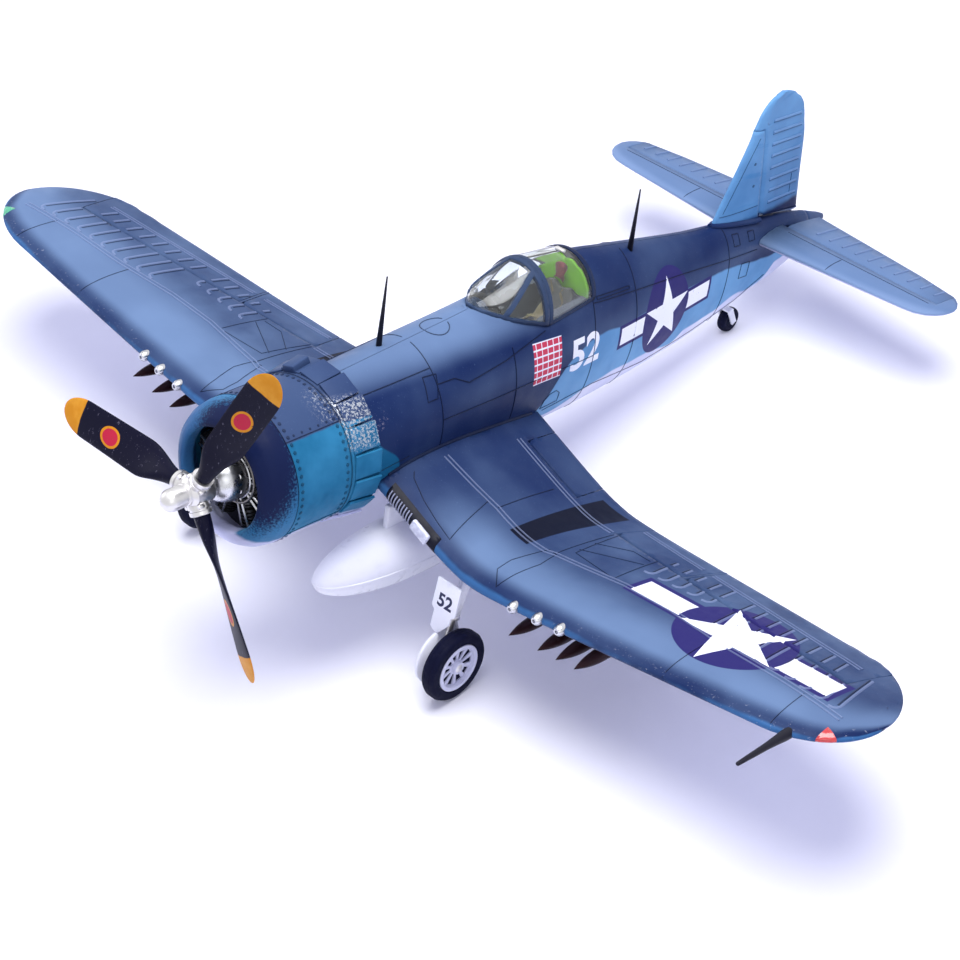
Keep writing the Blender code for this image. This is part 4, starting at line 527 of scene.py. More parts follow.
def add_dome(bm, place, normal, radius, flat=0.6):
    """A small dome on a surface, from row-frame place and normal."""
    made = bmesh.ops.create_icosphere(bm, subdivisions=1, radius=radius)["verts"]
    turn = Vector(normal).to_track_quat("Z", "Y").to_matrix().to_4x4()
    bmesh.ops.transform(bm, matrix=Matrix.Translation(place) @ turn @ Matrix.Scale(flat, 4, (0, 0, 1)),
                        verts=made)


# Materials

def rgba(colour):
    return (*colour[:3], 1.0)


class Finish:
    """A material being made, with short calls that add its shader nodes."""

    def __init__(self, name, **sockets):
        self.material = bpy.data.materials.new(name)
        self.material.use_nodes = True
        self.tree = self.material.node_tree
        self.shader = self.tree.nodes["Principled BSDF"]
        self.set(**sockets)
        place = self.add("ShaderNodeMapping", vector_type="POINT")
        self.put(self.add("ShaderNodeTexCoord").outputs["Object"], place.inputs["Vector"])
        place.inputs["Scale"].default_value = (1 / MM, 1 / MM, 1 / MM)
        place.inputs["Rotation"].default_value = (GROUND_PITCH, 0.0, 0.0)
        place.inputs["Location"].default_value = LEVEL.translation
        self.point = place.outputs["Vector"]
        parts = self.add("ShaderNodeSeparateXYZ")
        self.put(self.point, parts.inputs[0])
        self.x, self.y, self.z = parts.outputs

    def add(self, kind, **settings):
        node = self.tree.nodes.new(kind)
        for key, value in settings.items():
            setattr(node, key, value)
        return node

    def put(self, value, socket):
        if isinstance(value, bpy.types.NodeSocket):
            self.tree.links.new(value, socket)
        elif socket.type == "RGBA":
            socket.default_value = rgba(value)
        else:
            socket.default_value = value

    def set(self, **sockets):
        for key, value in sockets.items():
            self.put(value, self.shader.inputs[key.replace("_", " ").title().replace("Ior", "IOR")])

    def calc(self, operation, *values, clamp=False):
        node = self.add("ShaderNodeMath", operation=operation, use_clamp=clamp)
        for value, socket in zip(values, node.inputs):
            self.put(value, socket)
        return node.outputs[0]

    def step(self, value, low, high):
        """Rises smoothly from 0 at low to 1 at high."""
        node = self.add("ShaderNodeMapRange", interpolation_type="SMOOTHSTEP")
        for item, socket in zip((value, low, high), node.inputs):
            self.put(item, socket)
        return node.outputs[0]

    def scale(self, value, low, high, new_low, new_high):
        node = self.add("ShaderNodeMapRange")
        for item, socket in zip((value, low, high, new_low, new_high), node.inputs):
            self.put(item, socket)
        return node.outputs[0]

    def inside(self, value, low, high, soft=0.25):
        """1 where value lies between low and high."""
        rise = self.step(value, low - soft, low + soft)
        return self.calc("MULTIPLY", rise, self.step(value, high + soft, high - soft))

    def both(self, *masks):
        made = masks[0]
        for mask in masks[1:]:
            made = self.calc("MULTIPLY", made, mask)
        return made

    def either(self, *masks):
        made = masks[0]
        for mask in masks[1:]:
            made = self.calc("MAXIMUM", made, mask)
        return made

    def mix(self, share, low, high):
        node = self.add("ShaderNodeMix", data_type="RGBA")
        for item, socket in zip((share, low, high), (node.inputs[0], node.inputs[6], node.inputs[7])):
            self.put(item, socket)
        return node.outputs[2]

    def noise(self, size, detail=3.0, rough=0.55, stretch=None):
        """Cloudy pattern whose patches are about size millimetres across."""
        node = self.add("ShaderNodeTexNoise")
        vector = self.point
        if stretch:
            pull = self.add("ShaderNodeMapping", vector_type="POINT")
            self.put(self.point, pull.inputs["Vector"])
            pull.inputs["Scale"].default_value = stretch
            vector = pull.outputs["Vector"]
        self.put(vector, node.inputs["Vector"])
        self.put(1.0 / size, node.inputs["Scale"])
        self.put(detail, node.inputs["Detail"])
        self.put(rough, node.inputs["Roughness"])
        return node.outputs[0]

    def line(self, points, value):
        """Height of a smooth line through points, at value."""
        node = self.add("ShaderNodeFloatCurve")
        xs, ys = [p[0] for p in points], [p[1] for p in points]
        low, high, base, top = min(xs), max(xs), min(ys), max(ys)
        curve = node.mapping.curves[0]
        for k, (x, y) in enumerate(points):
            place = ((x - low) / (high - low), (y - base) / (top - base))
            if k in (0, len(points) - 1):
                curve.points[0 if k == 0 else -1].location = place
            else:
                curve.points.new(*place)
        node.mapping.update()
        self.put(self.scale(value, low, high, 0.0, 1.0), node.inputs["Value"])
        return self.scale(node.outputs[0], 0.0, 1.0, base, top)

    def bump(self, height, depth, strength=1.0):
        """Relief of that depth in millimetres."""
        node = self.add("ShaderNodeBump")
        self.put(height, node.inputs["Height"])
        node.inputs["Distance"].default_value = depth * MM
        node.inputs["Strength"].default_value = strength
        self.put(node.outputs["Normal"], self.shader.inputs["Normal"])

    def distance(self, u, v):
        return self.calc("SQRT", self.calc("ADD", self.calc("POWER", u, 2.0), self.calc("POWER", v, 2.0)))

    def facing_up(self):
        """Upward part of the surface's direction, in the airframe frame."""
        turn = self.add("ShaderNodeVectorRotate", rotation_type="X_AXIS")
        self.put(self.add("ShaderNodeTexCoord").outputs["Normal"], turn.inputs["Vector"])
        turn.inputs["Angle"].default_value = GROUND_PITCH
        parts = self.add("ShaderNodeSeparateXYZ")
        self.put(turn.outputs[0], parts.inputs[0])
        return parts.outputs[2]

    def star(self, u, v, radius):
        """1 inside a five-pointed star with a point along v."""
        angle = self.calc("PINGPONG", self.calc("ARCTAN2", u, v), pi / 5)
        out = self.distance(u, v)
        ahead = self.calc("MULTIPLY", out, self.calc("COSINE", angle))
        aside = self.calc("MULTIPLY", out, self.calc("SINE", angle))
        edge = self.calc("MULTIPLY_ADD", aside, STAR_SLOPE, ahead)
        return self.step(edge, radius + 0.2, radius - 0.2)

    def roundel(self, colour, u, v, radius, where, tall=1.0):
        """Star, disc and side bars painted over a colour; the disc may be taller than it is wide."""
        star = self.star(u, v, 0.98 * radius)
        out = self.distance(u, self.calc("DIVIDE", v, tall))
        aside, up = self.calc("ABSOLUTE", u), self.calc("ABSOLUTE", v)
        rim, soft = radius / 10, 0.4
        bar_end, bar_side = 2 * radius, radius / 4
        disc = self.step(out, radius + 0.25, radius - 0.25)
        band = self.both(self.step(aside, bar_end + rim, bar_end + rim - soft),
                         self.step(up, bar_side + rim, bar_side + rim - soft))
        bars = self.both(self.step(aside, bar_end, bar_end - soft), self.step(out, radius, radius + soft),
                         self.step(up, bar_side, bar_side - soft))
        chips = self.step(self.noise(2.2, 6.0, 0.7), 0.30, 0.36)
        dark = self.both(self.either(disc, band), where)
        white = self.both(self.either(star, bars), where, chips)
        colour = self.mix(dark, colour, colours().roundel)
        return self.mix(white, colour, colours().star)


# Middles of the painted markings, on the flank as (y, z) and on the wing as (x, y), and their slopes
SIDE_ROUNDEL, BLOCK, BLOCK_SLOPE = (389.0, 5.0), (268.0, 14.0), 0.07
WING_ROUNDEL, ROUNDEL_SLOPE = (246.0, 190.5), 0.06

# The oval on a blade, as its distance out and half sizes, and where the painted tip starts
OVAL_OUT, OVAL_LONG, OVAL_WIDE, TIP_START = 69.0, 7.9, 5.3, 94.4

# Heights of the paint's borders along the fuselage
SKY_LINE = ((95.0, 17.0), (114.0, 15.0), (129.0, 7.0), (142.0, -5.0), (165.0, -44.0), (250.0, -44.0),
            (266.0, -23.0), (275.0, -10.0), (287.0, 4.0), (298.0, 10.0), (317.0, 15.0), (345.0, 13.0),
            (438.0, 12.5), (476.0, 7.7), (514.0, 1.5), (590.0, 4.0))
BELLY_LINE = ((95.0, -24.0), (150.0, -33.0), (262.0, -33.0), (301.0, -28.0), (329.0, -20.5), (358.0, -22.0),
              (375.0, -21.0), (408.0, -28.0), (421.0, -21.5), (457.0, -20.0), (476.0, -17.5), (509.0, -20.0),
              (525.0, -8.0), (590.0, 2.0))


def sea_blue(g, light=0.0):
    """Upper-surface blue with airbrushed clouds, dust and fine chips; light adds painted sheen and
    highlights.
    """
    cloud = g.step(g.noise(60.0, 3.0, 0.5), 0.34, 0.70)
    share = g.calc("ADD", g.calc("MULTIPLY", cloud, 0.15), light, clamp=True)
    colour = g.mix(share, colours().sea_blue, colours().sea_blue_worn_and_sheen)
    dust = g.calc("MULTIPLY", g.step(g.noise(1.3, 5.0, 0.7), 0.60, 0.78), 0.35)
    return g.mix(dust, colour, colours().sea_blue_worn_and_sheen)


def painted(g, colour, shade):
    """Finishes a paint: chips, grain and sheen; darker for a seam or painted shadow, lighter as a painted rib
    highlight.
    """
    chips = g.step(g.noise(3.4, 8.0, 0.75), 0.735, 0.755)
    colour = g.mix(g.calc("MULTIPLY", chips, 0.55), colour, (0.45, 0.48, 0.55))
    if shade != 1.0:
        bright = g.add("ShaderNodeRGBToBW")
        g.put(colour, bright.inputs[0])
        depth = abs(shade - 1.0)
        share = g.scale(g.step(bright.outputs[0], 0.76, 0.82), 0.0, 1.0, depth, 0.15 * depth)
        # A shade below 1 darkens for seams and painted shadows; above 1 lightens as a painted highlight
        colour = g.mix(share, colour, (0.004, 0.005, 0.014) if shade < 1.0 else (0.27, 0.33, 0.50))
    g.set(base_color=colour)
    g.put(g.scale(g.noise(9.0, 5.0, 0.6), 0.3, 0.7, 0.35, 0.52), g.shader.inputs["Roughness"])
    g.put(0.08, g.shader.inputs["Specular IOR Level"])
    g.bump(g.noise(0.9, 4.0, 0.6), 0.05, 0.35)
    return g.material


def waves(g, size, height):
    return g.calc("MULTIPLY", g.calc("SUBTRACT", g.noise(size, 2.0, 0.4), 0.5), height)


def belly_share(g, soft=1.2):
    border = g.calc("ADD", g.line(BELLY_LINE, g.y), waves(g, 26.0, 6.0))
    return g.step(g.calc("SUBTRACT", border, g.z), -soft, soft)


def fuselage_paint(name, shade=1.0, plain=False):
    g = Finish(name)
    # Painted highlight along the top of the nose, fading out aft, and a slightly lighter band along the flank
    top = g.both(g.step(g.z, 30.0, 43.0), g.scale(g.y, 220.0, 310.0, 0.68, 0.02))
    flank = g.both(g.inside(g.z, 8.0, 22.0, 8.0), g.scale(g.y, 175.0, 205.0, 0.0, 0.12))
    colour = sea_blue(g, g.calc("ADD", top, flank))
    border = g.calc("ADD", g.line(SKY_LINE, g.y), waves(g, 22.0, 5.0))
    sky = g.step(g.calc("SUBTRACT", border, g.z), -0.9, 0.9)
    light = g.mix(g.step(g.noise(34.0), 0.3, 0.7), colours().sky_blue, (0.14, 0.33, 0.56))
    light = g.mix(g.step(g.y, 210.0, 180.0), light, colours().cowl_blue)
    colour = g.mix(sky, colour, light)
    flakes = g.step(g.noise(1.6, 8.0, 0.8), 0.56, 0.60)
    rubbed = g.both(flakes, g.step(g.noise(16.0, 3.0), 0.46, 0.58), g.inside(g.y, 114.0, 138.0, 5.0),
                    g.inside(g.z, 8.0, 24.0, 4.0), g.step(g.x, 0.0, 8.0))
    colour = g.mix(g.calc("MULTIPLY", rubbed, 0.8), colour, (0.30, 0.28, 0.36))
    pale = g.mix(g.step(g.noise(30.0), 0.3, 0.75), colours().belly, (0.72, 0.73, 0.86))
    colour = g.mix(belly_share(g), colour, pale)
    if not plain:
        across, up = g.calc("SUBTRACT", g.y, SIDE_ROUNDEL[0]), g.calc("SUBTRACT", g.z, SIDE_ROUNDEL[1])
        colour = g.roundel(colour, across, up, sizes().roundel_side, 1.0, 1.2)
        across = g.calc("SUBTRACT", g.y, BLOCK[0])
        up = g.calc("MULTIPLY_ADD", across, BLOCK_SLOPE, g.calc("SUBTRACT", g.z, BLOCK[1]))
        block = g.both(g.inside(across, -12.6, 12.6), g.inside(up, -13.0, 13.0))
        cells = g.both(g.inside(g.calc("PINGPONG", across, 2.5), 0.3, 9.0, 0.12),
                       g.inside(g.calc("PINGPONG", up, 2.15), 0.5, 9.0, 0.15))
        tile = g.mix(cells, colours().star, colours().block_red)
        colour = g.mix(block, colour, tile)
    return painted(g, colour, shade)


def wing_paint(name, shade=1.0):
    g = Finish(name)
    reach = g.calc("ABSOLUTE", g.x)
    front = g.line(((0.0, LE_ROOT), (KNEE_X, LE_KNEE), (LE_TIP_X, LE_TIP), (325.0, 144.0), (340.0, 157.0),
                    (TIP_X, TIP_Y)), reach)
    back = g.calc("SUBTRACT", g.y, front)
    # Painted sheen: a lighter band behind the leading edge, wider and lighter still on the starboard wing
    starboard_sheen = g.step(g.x, -40.0, -140.0)
    fade = g.step(g.calc("MULTIPLY_ADD", starboard_sheen, -14.0, back), 56.0, 18.0)
    sheen = g.both(g.step(back, 4.0, 15.0), fade, g.scale(reach, 60.0, 95.0, 0.12, 1.0))
    aft = g.step(back, 36.0, 64.0)
    mottled = g.scale(g.noise(22.0, 3.0, 0.5), 0.3, 0.7, 0.08, 0.26)
    clouds = g.both(aft, mottled, g.scale(reach, 90.0, 150.0, 0.2, 1.0))
    light = g.calc("ADD", g.calc("MULTIPLY", sheen, 0.64), clouds)
    light = g.calc("ADD", light, g.calc("MULTIPLY", starboard_sheen, 0.10))
    colour = sea_blue(g, light)
    # A thin band of edge blue along the leading edge is a painted highlight
    edge = g.calc("MULTIPLY", g.step(g.calc("ADD", back, waves(g, 12.0, 2.4)), 2.4, 0.4), 0.8)
    colour = g.mix(edge, colour, colours().edge_highlight_blue)
    # Pale chips of real wear near the leading edge of the outer wing
    wear_and_highlight = g.both(g.step(g.noise(2.2, 8.0, 0.75), 0.60, 0.66), g.step(back, 14.0, 1.0),
                  g.step(reach, 120.0, 240.0))
    colour = g.mix(g.calc("MULTIPLY", wear_and_highlight, 0.7), colour, (0.40, 0.43, 0.50))
    under = g.add("ShaderNodeAttribute", attribute_name="under").outputs["Fac"]
    top = g.step(under, 0.55, 0.45)
    outer = g.line(((170.0, 109.0), (180.0, 109.4), (258.0, 117.0), (270.0, 118.0)), g.y)
    stripe = g.both(g.inside(reach, 95.5, 400.0), g.step(g.calc("SUBTRACT", outer, reach), 0.0, 0.5),
                    g.inside(g.y, 176.0, 259.0), top)
    colour = g.mix(stripe, colour, (0.003, 0.005, 0.017))
    where = g.both(top, g.step(g.x, 0.0, 10.0))
    outward, forward = g.calc("SUBTRACT", g.x, WING_ROUNDEL[0]), g.calc("SUBTRACT", WING_ROUNDEL[1], g.y)
    across = g.calc("MULTIPLY_ADD", forward, ROUNDEL_SLOPE, outward)
    up = g.calc("MULTIPLY_ADD", outward, -ROUNDEL_SLOPE, forward)
    colour = g.roundel(colour, across, up, sizes().roundel_wing, where)
    below = g.both(g.step(under, 0.45, 0.55), g.step(g.calc("ADD", back, waves(g, 20.0, 5.0)), 3.0, 6.0))
    pale = g.mix(g.step(g.noise(36.0), 0.3, 0.75), colours().belly, (0.70, 0.71, 0.86))
    colour = g.mix(below, colour, pale)
    return painted(g, colour, shade)


def fin_paint(name, shade=1.0):
    g = Finish(name)
    light = g.mix(g.step(g.noise(36.0, 3.0), 0.25, 0.75), (0.055, 0.17, 0.36), (0.12, 0.30, 0.53))
    rise = g.step(g.z, 30.0, 105.0)
    colour = g.mix(g.calc("MULTIPLY", rise, 0.35), light, (0.20, 0.42, 0.66))
    foot = g.step(g.calc("ADD", g.z, waves(g, 14.0, 4.0)), 37.0, 32.0)
    colour = g.mix(foot, colour, colours().sea_blue)
    streak = g.calc("MULTIPLY", g.step(g.noise(10.0, 4.0, 0.6, (1.0, 0.25, 1.6)), 0.58, 0.75), 0.5)
    colour = g.mix(streak, colour, (0.035, 0.19, 0.42))
    return painted(g, colour, shade)


def tailplane_paint(name, shade=1.0):
    g = Finish(name)
    colour = g.mix(0.55, sea_blue(g, 0.4), (0.17, 0.275, 0.46))
    front = g.line(((0.0, 497.0), (118.0, 508.5), (132.0, 514.0), (141.5, 533.0)), g.calc("ABSOLUTE", g.x))
    edge = g.step(g.calc("SUBTRACT", g.y, front), 9.0, 1.0)
    colour = g.mix(g.calc("MULTIPLY", edge, 0.5), colour, (0.24, 0.34, 0.52))
    below = g.step(g.facing_up(), 0.02, -0.25)
    colour = g.mix(below, colour, colours().belly)
    return painted(g, colour, shade)


def cowl_paint(name, shade=1.0, chipped=0.0):
    g = Finish(name)
    navy = sea_blue(g, 0.08)
    teal = g.mix(g.step(g.noise(24.0), 0.3, 0.75), colours().cowl_blue, (0.028, 0.19, 0.34))
    seam = g.step(g.calc("ADD", g.z, waves(g, 9.0, 1.0)), 31.4, 30.6)
    colour = g.mix(seam, navy, teal)
    shadow = g.calc("MULTIPLY_ADD", g.x, 0.6, g.calc("MULTIPLY_ADD", g.z, 0.8, waves(g, 1.2, 34.0)))
    shadow = g.calc("MULTIPLY_ADD", g.calc("SUBTRACT", g.y, 50.0), -1.5, shadow)
    lip = g.mix(g.step(shadow, 8.0, 30.0), (0.033, 0.165, 0.320), (0.006, 0.012, 0.050))
    lip = g.mix(g.step(g.calc("ADD", g.x, waves(g, 14.0, 12.0)), -14.0, -34.0), lip, (0.030, 0.11, 0.26))
    colour = g.mix(g.step(g.y, 59.3, 58.7), colour, lip)
    pale = g.step(g.calc("ADD", g.z, waves(g, 18.0, 7.0)), -25.0, -29.0)
    colour = g.mix(pale, colour, colours().belly)
    flakes = g.step(g.noise(1.5, 9.0, 0.8), 0.54 - chipped, 0.57 - chipped)
    port = g.step(g.x, 4.0, 14.0)
    flaps = g.both(g.step(g.y, 97.0, 99.0), g.step(g.z, 15.0, 20.0), g.step(g.z, 41.0, 38.0))
    rear = g.both(g.step(g.y, 82.0, 98.0), g.step(g.y, 99.0, 98.0), g.step(g.z, 30.0, 36.0))
    bare = g.both(flakes, port, g.either(flaps, rear))
    colour = g.mix(bare, colour, (0.46, 0.49, 0.54))
    g.put(g.calc("MULTIPLY", bare, 0.8), g.shader.inputs["Metallic"])
    return painted(g, colour, shade)


def blade_paint(name):
    g = Finish(name)
    out = g.distance(g.x, g.z)
    turn = g.calc("SUBTRACT", g.calc("ARCTAN2", g.x, g.z), BLADE_PHASE)
    fold = g.calc("WRAP", turn, pi / 3, -pi / 3)
    aside = g.calc("MULTIPLY", out, g.calc("SINE", fold))
    scuff = g.step(g.noise(1.8, 8.0, 0.75, (1.0, 1.0, 0.35)), 0.60, 0.66)
    colour = g.mix(g.calc("MULTIPLY", scuff, 0.4), colours().blade, (0.24, 0.23, 0.30))
    along_oval = g.calc("DIVIDE", g.calc("SUBTRACT", out, OVAL_OUT), OVAL_LONG)
    oval = g.distance(along_oval, g.calc("DIVIDE", aside, OVAL_WIDE))
    chips = g.step(g.noise(1.6, 5.0, 0.7), 0.33, 0.38)
    colour = g.mix(g.both(g.step(oval, 1.02, 0.98), chips), colour, colours().tip)
    colour = g.mix(g.both(g.step(oval, 0.80, 0.76), chips), colour, (0.48, 0.02, 0.05))
    edge = g.calc("ADD", out, waves(g, 5.0, 0.8))
    tip = g.mix(g.step(g.noise(8.0, 5.0), 0.35, 0.75), colours().tip, (0.68, 0.31, 0.03))
    colour = g.mix(g.step(edge, TIP_START, TIP_START + 0.5), colour, tip)
    g.set(base_color=colour)
    g.put(g.scale(scuff, 0.0, 1.0, 0.34, 0.55), g.shader.inputs["Roughness"])
    g.put(0.08, g.shader.inputs["Specular IOR Level"])
    g.bump(g.noise(1.2, 4.0), 0.05, 0.3)
    return g.material


def enamel(name, colour, grime=(0.35, 0.36, 0.45), amount=0.3, rough=0.38, size=14.0):
    """Gloss paint with soft grime and worn spots."""
    g = Finish(name)
    share = g.calc("MULTIPLY", g.step(g.noise(size, 6.0, 0.65), 0.52, 0.80), amount)
    made = g.mix(share, colour, grime)
    speck = g.calc("MULTIPLY", g.step(g.noise(1.5, 5.0, 0.7), 0.70, 0.74), amount)
    g.set(base_color=g.mix(speck, made, [c * 0.4 for c in grime]))
    g.put(g.scale(g.noise(6.0, 4.0), 0.3, 0.7, rough - 0.06, rough + 0.12), g.shader.inputs["Roughness"])
    g.put(0.15, g.shader.inputs["Specular IOR Level"])
    g.bump(g.noise(0.8, 4.0), 0.04, 0.3)
    return g.material


def metal(name, colour, rough=0.25, stain=(0.10, 0.10, 0.12), amount=0.35, size=5.0):
    """Bare metal, brushed and stained."""
    g = Finish(name, metallic=1.0)
    share = g.calc("MULTIPLY", g.step(g.noise(size, 7.0, 0.7), 0.54, 0.78), amount)
    g.set(base_color=g.mix(share, colour, stain))
    g.put(g.scale(g.noise(5.0, 4.0, 0.5), 0.3, 0.7, rough - 0.05, rough + 0.08), g.shader.inputs["Roughness"])
    g.bump(g.noise(0.7, 5.0, 0.6, (1.0, 4.0, 1.0)), 0.01, 0.2)
    return g.material


def rubber_finish(name):
    g = Finish(name)
    dust = g.calc("MULTIPLY", g.step(g.noise(5.0, 7.0, 0.7), 0.50, 0.75), 0.35)
    g.set(base_color=g.mix(dust, colours().rubber, (0.03, 0.03, 0.055)))
    g.put(g.scale(g.noise(3.0, 4.0), 0.3, 0.7, 0.48, 0.70), g.shader.inputs["Roughness"])
    g.put(0.06, g.shader.inputs["Specular IOR Level"])
    g.bump(g.noise(0.45, 4.0, 0.7), 0.08, 0.5)
    return g.material


def cloth_finish(name, colour, dark, weave=1.1):
    """Woven canvas or grained leather, with cloudy darker patches as painted shade in its folds."""
    g = Finish(name, sheen_weight=0.25)
    wave = [g.calc("SINE", g.calc("MULTIPLY", axis, 2 * pi / weave)) for axis in (g.x, g.y, g.z)]
    cross = g.calc("MULTIPLY", wave[0], g.calc("ADD", wave[1], wave[2]))
    thread = g.scale(cross, -2.0, 2.0, 0.0, 1.0)
    # Cloudy darker patches, painted shade standing for the folds
    fold = g.step(g.noise(7.0, 5.0, 0.6), 0.35, 0.75)
    made = g.mix(fold, colour, dark)
    g.set(base_color=g.mix(g.calc("MULTIPLY", thread, 0.3), made, dark))
    g.put(g.scale(fold, 0.0, 1.0, 0.70, 0.90), g.shader.inputs["Roughness"])
    g.bump(thread, 0.12, 0.6)
    return g.material


def glass_finish(name, tint=(0.90, 0.94, 0.98)):
    g = Finish(name, transmission_weight=1.0, ior=1.45)
    haze = g.step(g.noise(12.0, 4.0), 0.55, 0.8)
    g.set(base_color=g.mix(haze, tint, [c * 0.93 for c in tint]))
    g.put(g.scale(haze, 0.0, 1.0, 0.02, 0.09), g.shader.inputs["Roughness"])
    return g.material


def lens_finish(name, colour, glow):
    """Tinted clear lens over a bright backing."""
    g = Finish(name, coat_weight=1.0, coat_roughness=0.04)
    spot = g.step(g.noise(3.0, 3.0), 0.35, 0.7)
    g.set(base_color=g.mix(spot, colour, glow))
    g.put(g.scale(spot, 0.0, 1.0, 0.12, 0.28), g.shader.inputs["Roughness"])
    return g.material


def finish(name, maker, *args, **more):
    """One material per name, made when first asked for."""
    return bpy.data.materials.get(name) or maker(name, *args, **more)


def hub_chrome():
    return finish("hub_chrome", metal, (0.70, 0.69, 0.71), 0.33, (0.42, 0.42, 0.46), 0.25, 9.0)


def gun_steel():
    return finish("gun_steel", metal, (0.58, 0.59, 0.64), 0.24, (0.2, 0.2, 0.24), 0.5)


def mast_black():
    return finish("mast_black", enamel, (0.012, 0.012, 0.02), (0.06, 0.06, 0.08), 0.4)


# Pieces

def fit_turned(count):
    """Rounds a piece turned about the thrust line with that many flat sides."""
    half = pi / count

    def fit(point):
        angle = atan2(point.z, point.x) % (2 * half) - half
        grow = cos(angle) / cos(half)
        point.x *= grow
        point.z *= grow
        return point
    return fit


def ring_seam(tree, y, low, high, side, lift):
    """A line round the fuselage at y, from one angle to another in degrees."""
    path = []
    for angle in range(low, high + 1, 5):
        a = radians(angle)
        start = (side * SIDE_REACH * cos(a), y, 4.0 + SIDE_REACH * sin(a))
        path += drop(tree, [start], (-side * cos(a), 0.0, -sin(a)), lift)
    return path


def flank_seam(tree, points, side, lift, closed=False):
    """A line on the fuselage's side, from (y, z) points."""
    starts = [(side * SIDE_REACH, p.x, p.y) for p in fine([(y, z, 0) for y, z in points], closed=closed)]
    return drop(tree, starts, (-side, 0, 0), lift)


def plan_seam(tree, points, lift, below=False, closed=False):
    """A line on an upper or lower surface, from (x, y) points."""
    height = -PLAN_REACH if below else PLAN_REACH
    starts = [(p.x, p.y, height) for p in fine([(x, y, 0) for x, y in points], closed=closed)]
    return drop(tree, starts, (0, 0, 1 if below else -1), lift)


def mirrored(points, side):
    return [(side * x, y) for x, y in points]


class BuildFuselage(bpy.types.Operator):
    """Fuselage shells, tail cone and hatch, with their panel seams."""
    bl_idname = "model_plane.fuselage"
    bl_label = "Fuselage"

    RINGS = ((108.0, -70, 90), (176.0, -40, 90), (239.0, -30, 48), (312.0, -75, 90), (355.0, -75, 90),
             (461.0, -80, 90))
    LINES = (((312, 36), (351, 31.2), (404, 25), (450, 18.7), (496, 12.4)),
             ((176, 27.4), (190, 27), (200, 22.3), (232, 25.4), (268, 32)),
             ((274, -24), (321, -22), (379, -30), (434, -28), (487, -25), (516, -14)),
             ((108, 33), (176, 35)), ((108, -9), (150, -6)), ((176, 8), (239, 6), (312, 3)))
    SHAPES = (((316, 38.8), (349, 35.2), (349, 33.4), (316, 37.0)),
              ((168, 32.5), (178, 32), (174, 21), (166, 21)),
              ((270, -21), (271, -15), (275, -11.5), (281, -11), (285, -14), (286, -21)),
              ((478, 8), (489, 6), (489, -5), (478, -3)), ((468, 30), (475, 29), (475, 22), (468, 23)),
              ((486, 27), (493, 26), (493, 20), (486, 21)))
    CROWN_CIRCLE = (0.0, 199.0, 8.6)

    def execute(self, context):
        paint = finish("fuselage_paint", fuselage_paint)
        names = ["fuselage_left_shell", "fuselage_right_shell", "tail_cone"]
        for node in names:
            reskin(node, paint, fit=fit_hull)
        reskin("belly_hatch", paint, fit=fit_hull)
        tree = surface_tree(*[f"{n}_finish" for n in names])
        lift = 0.05 * MM
        paths = []
        for side, _ in SIDES:
            paths += [ring_seam(tree, y, low, high, side, lift) for y, low, high in self.RINGS]
            paths += [flank_seam(tree, line, side, lift) for line in self.LINES]
            paths += [flank_seam(tree, line, side, lift, True) for line in self.SHAPES]
        x, y, r = self.CROWN_CIRCLE
        circle = [(x + r * sin(a * pi / 12), y + r * cos(a * pi / 12)) for a in range(24)]
        paths.append(plan_seam(tree, circle, lift, closed=True))
        dark = finish("fuselage_seam", fuselage_paint, 0.3)
        piece("fuselage_seams", strands(paths, sizes().seam, 1), dark, "airframe")
        plywood = finish("plywood", enamel, (0.42, 0.29, 0.15), (0.25, 0.15, 0.07), 0.7, 0.6, 6.0)
        dress(plywood, "firewall", "wing_joiner")
        return {"FINISHED"}


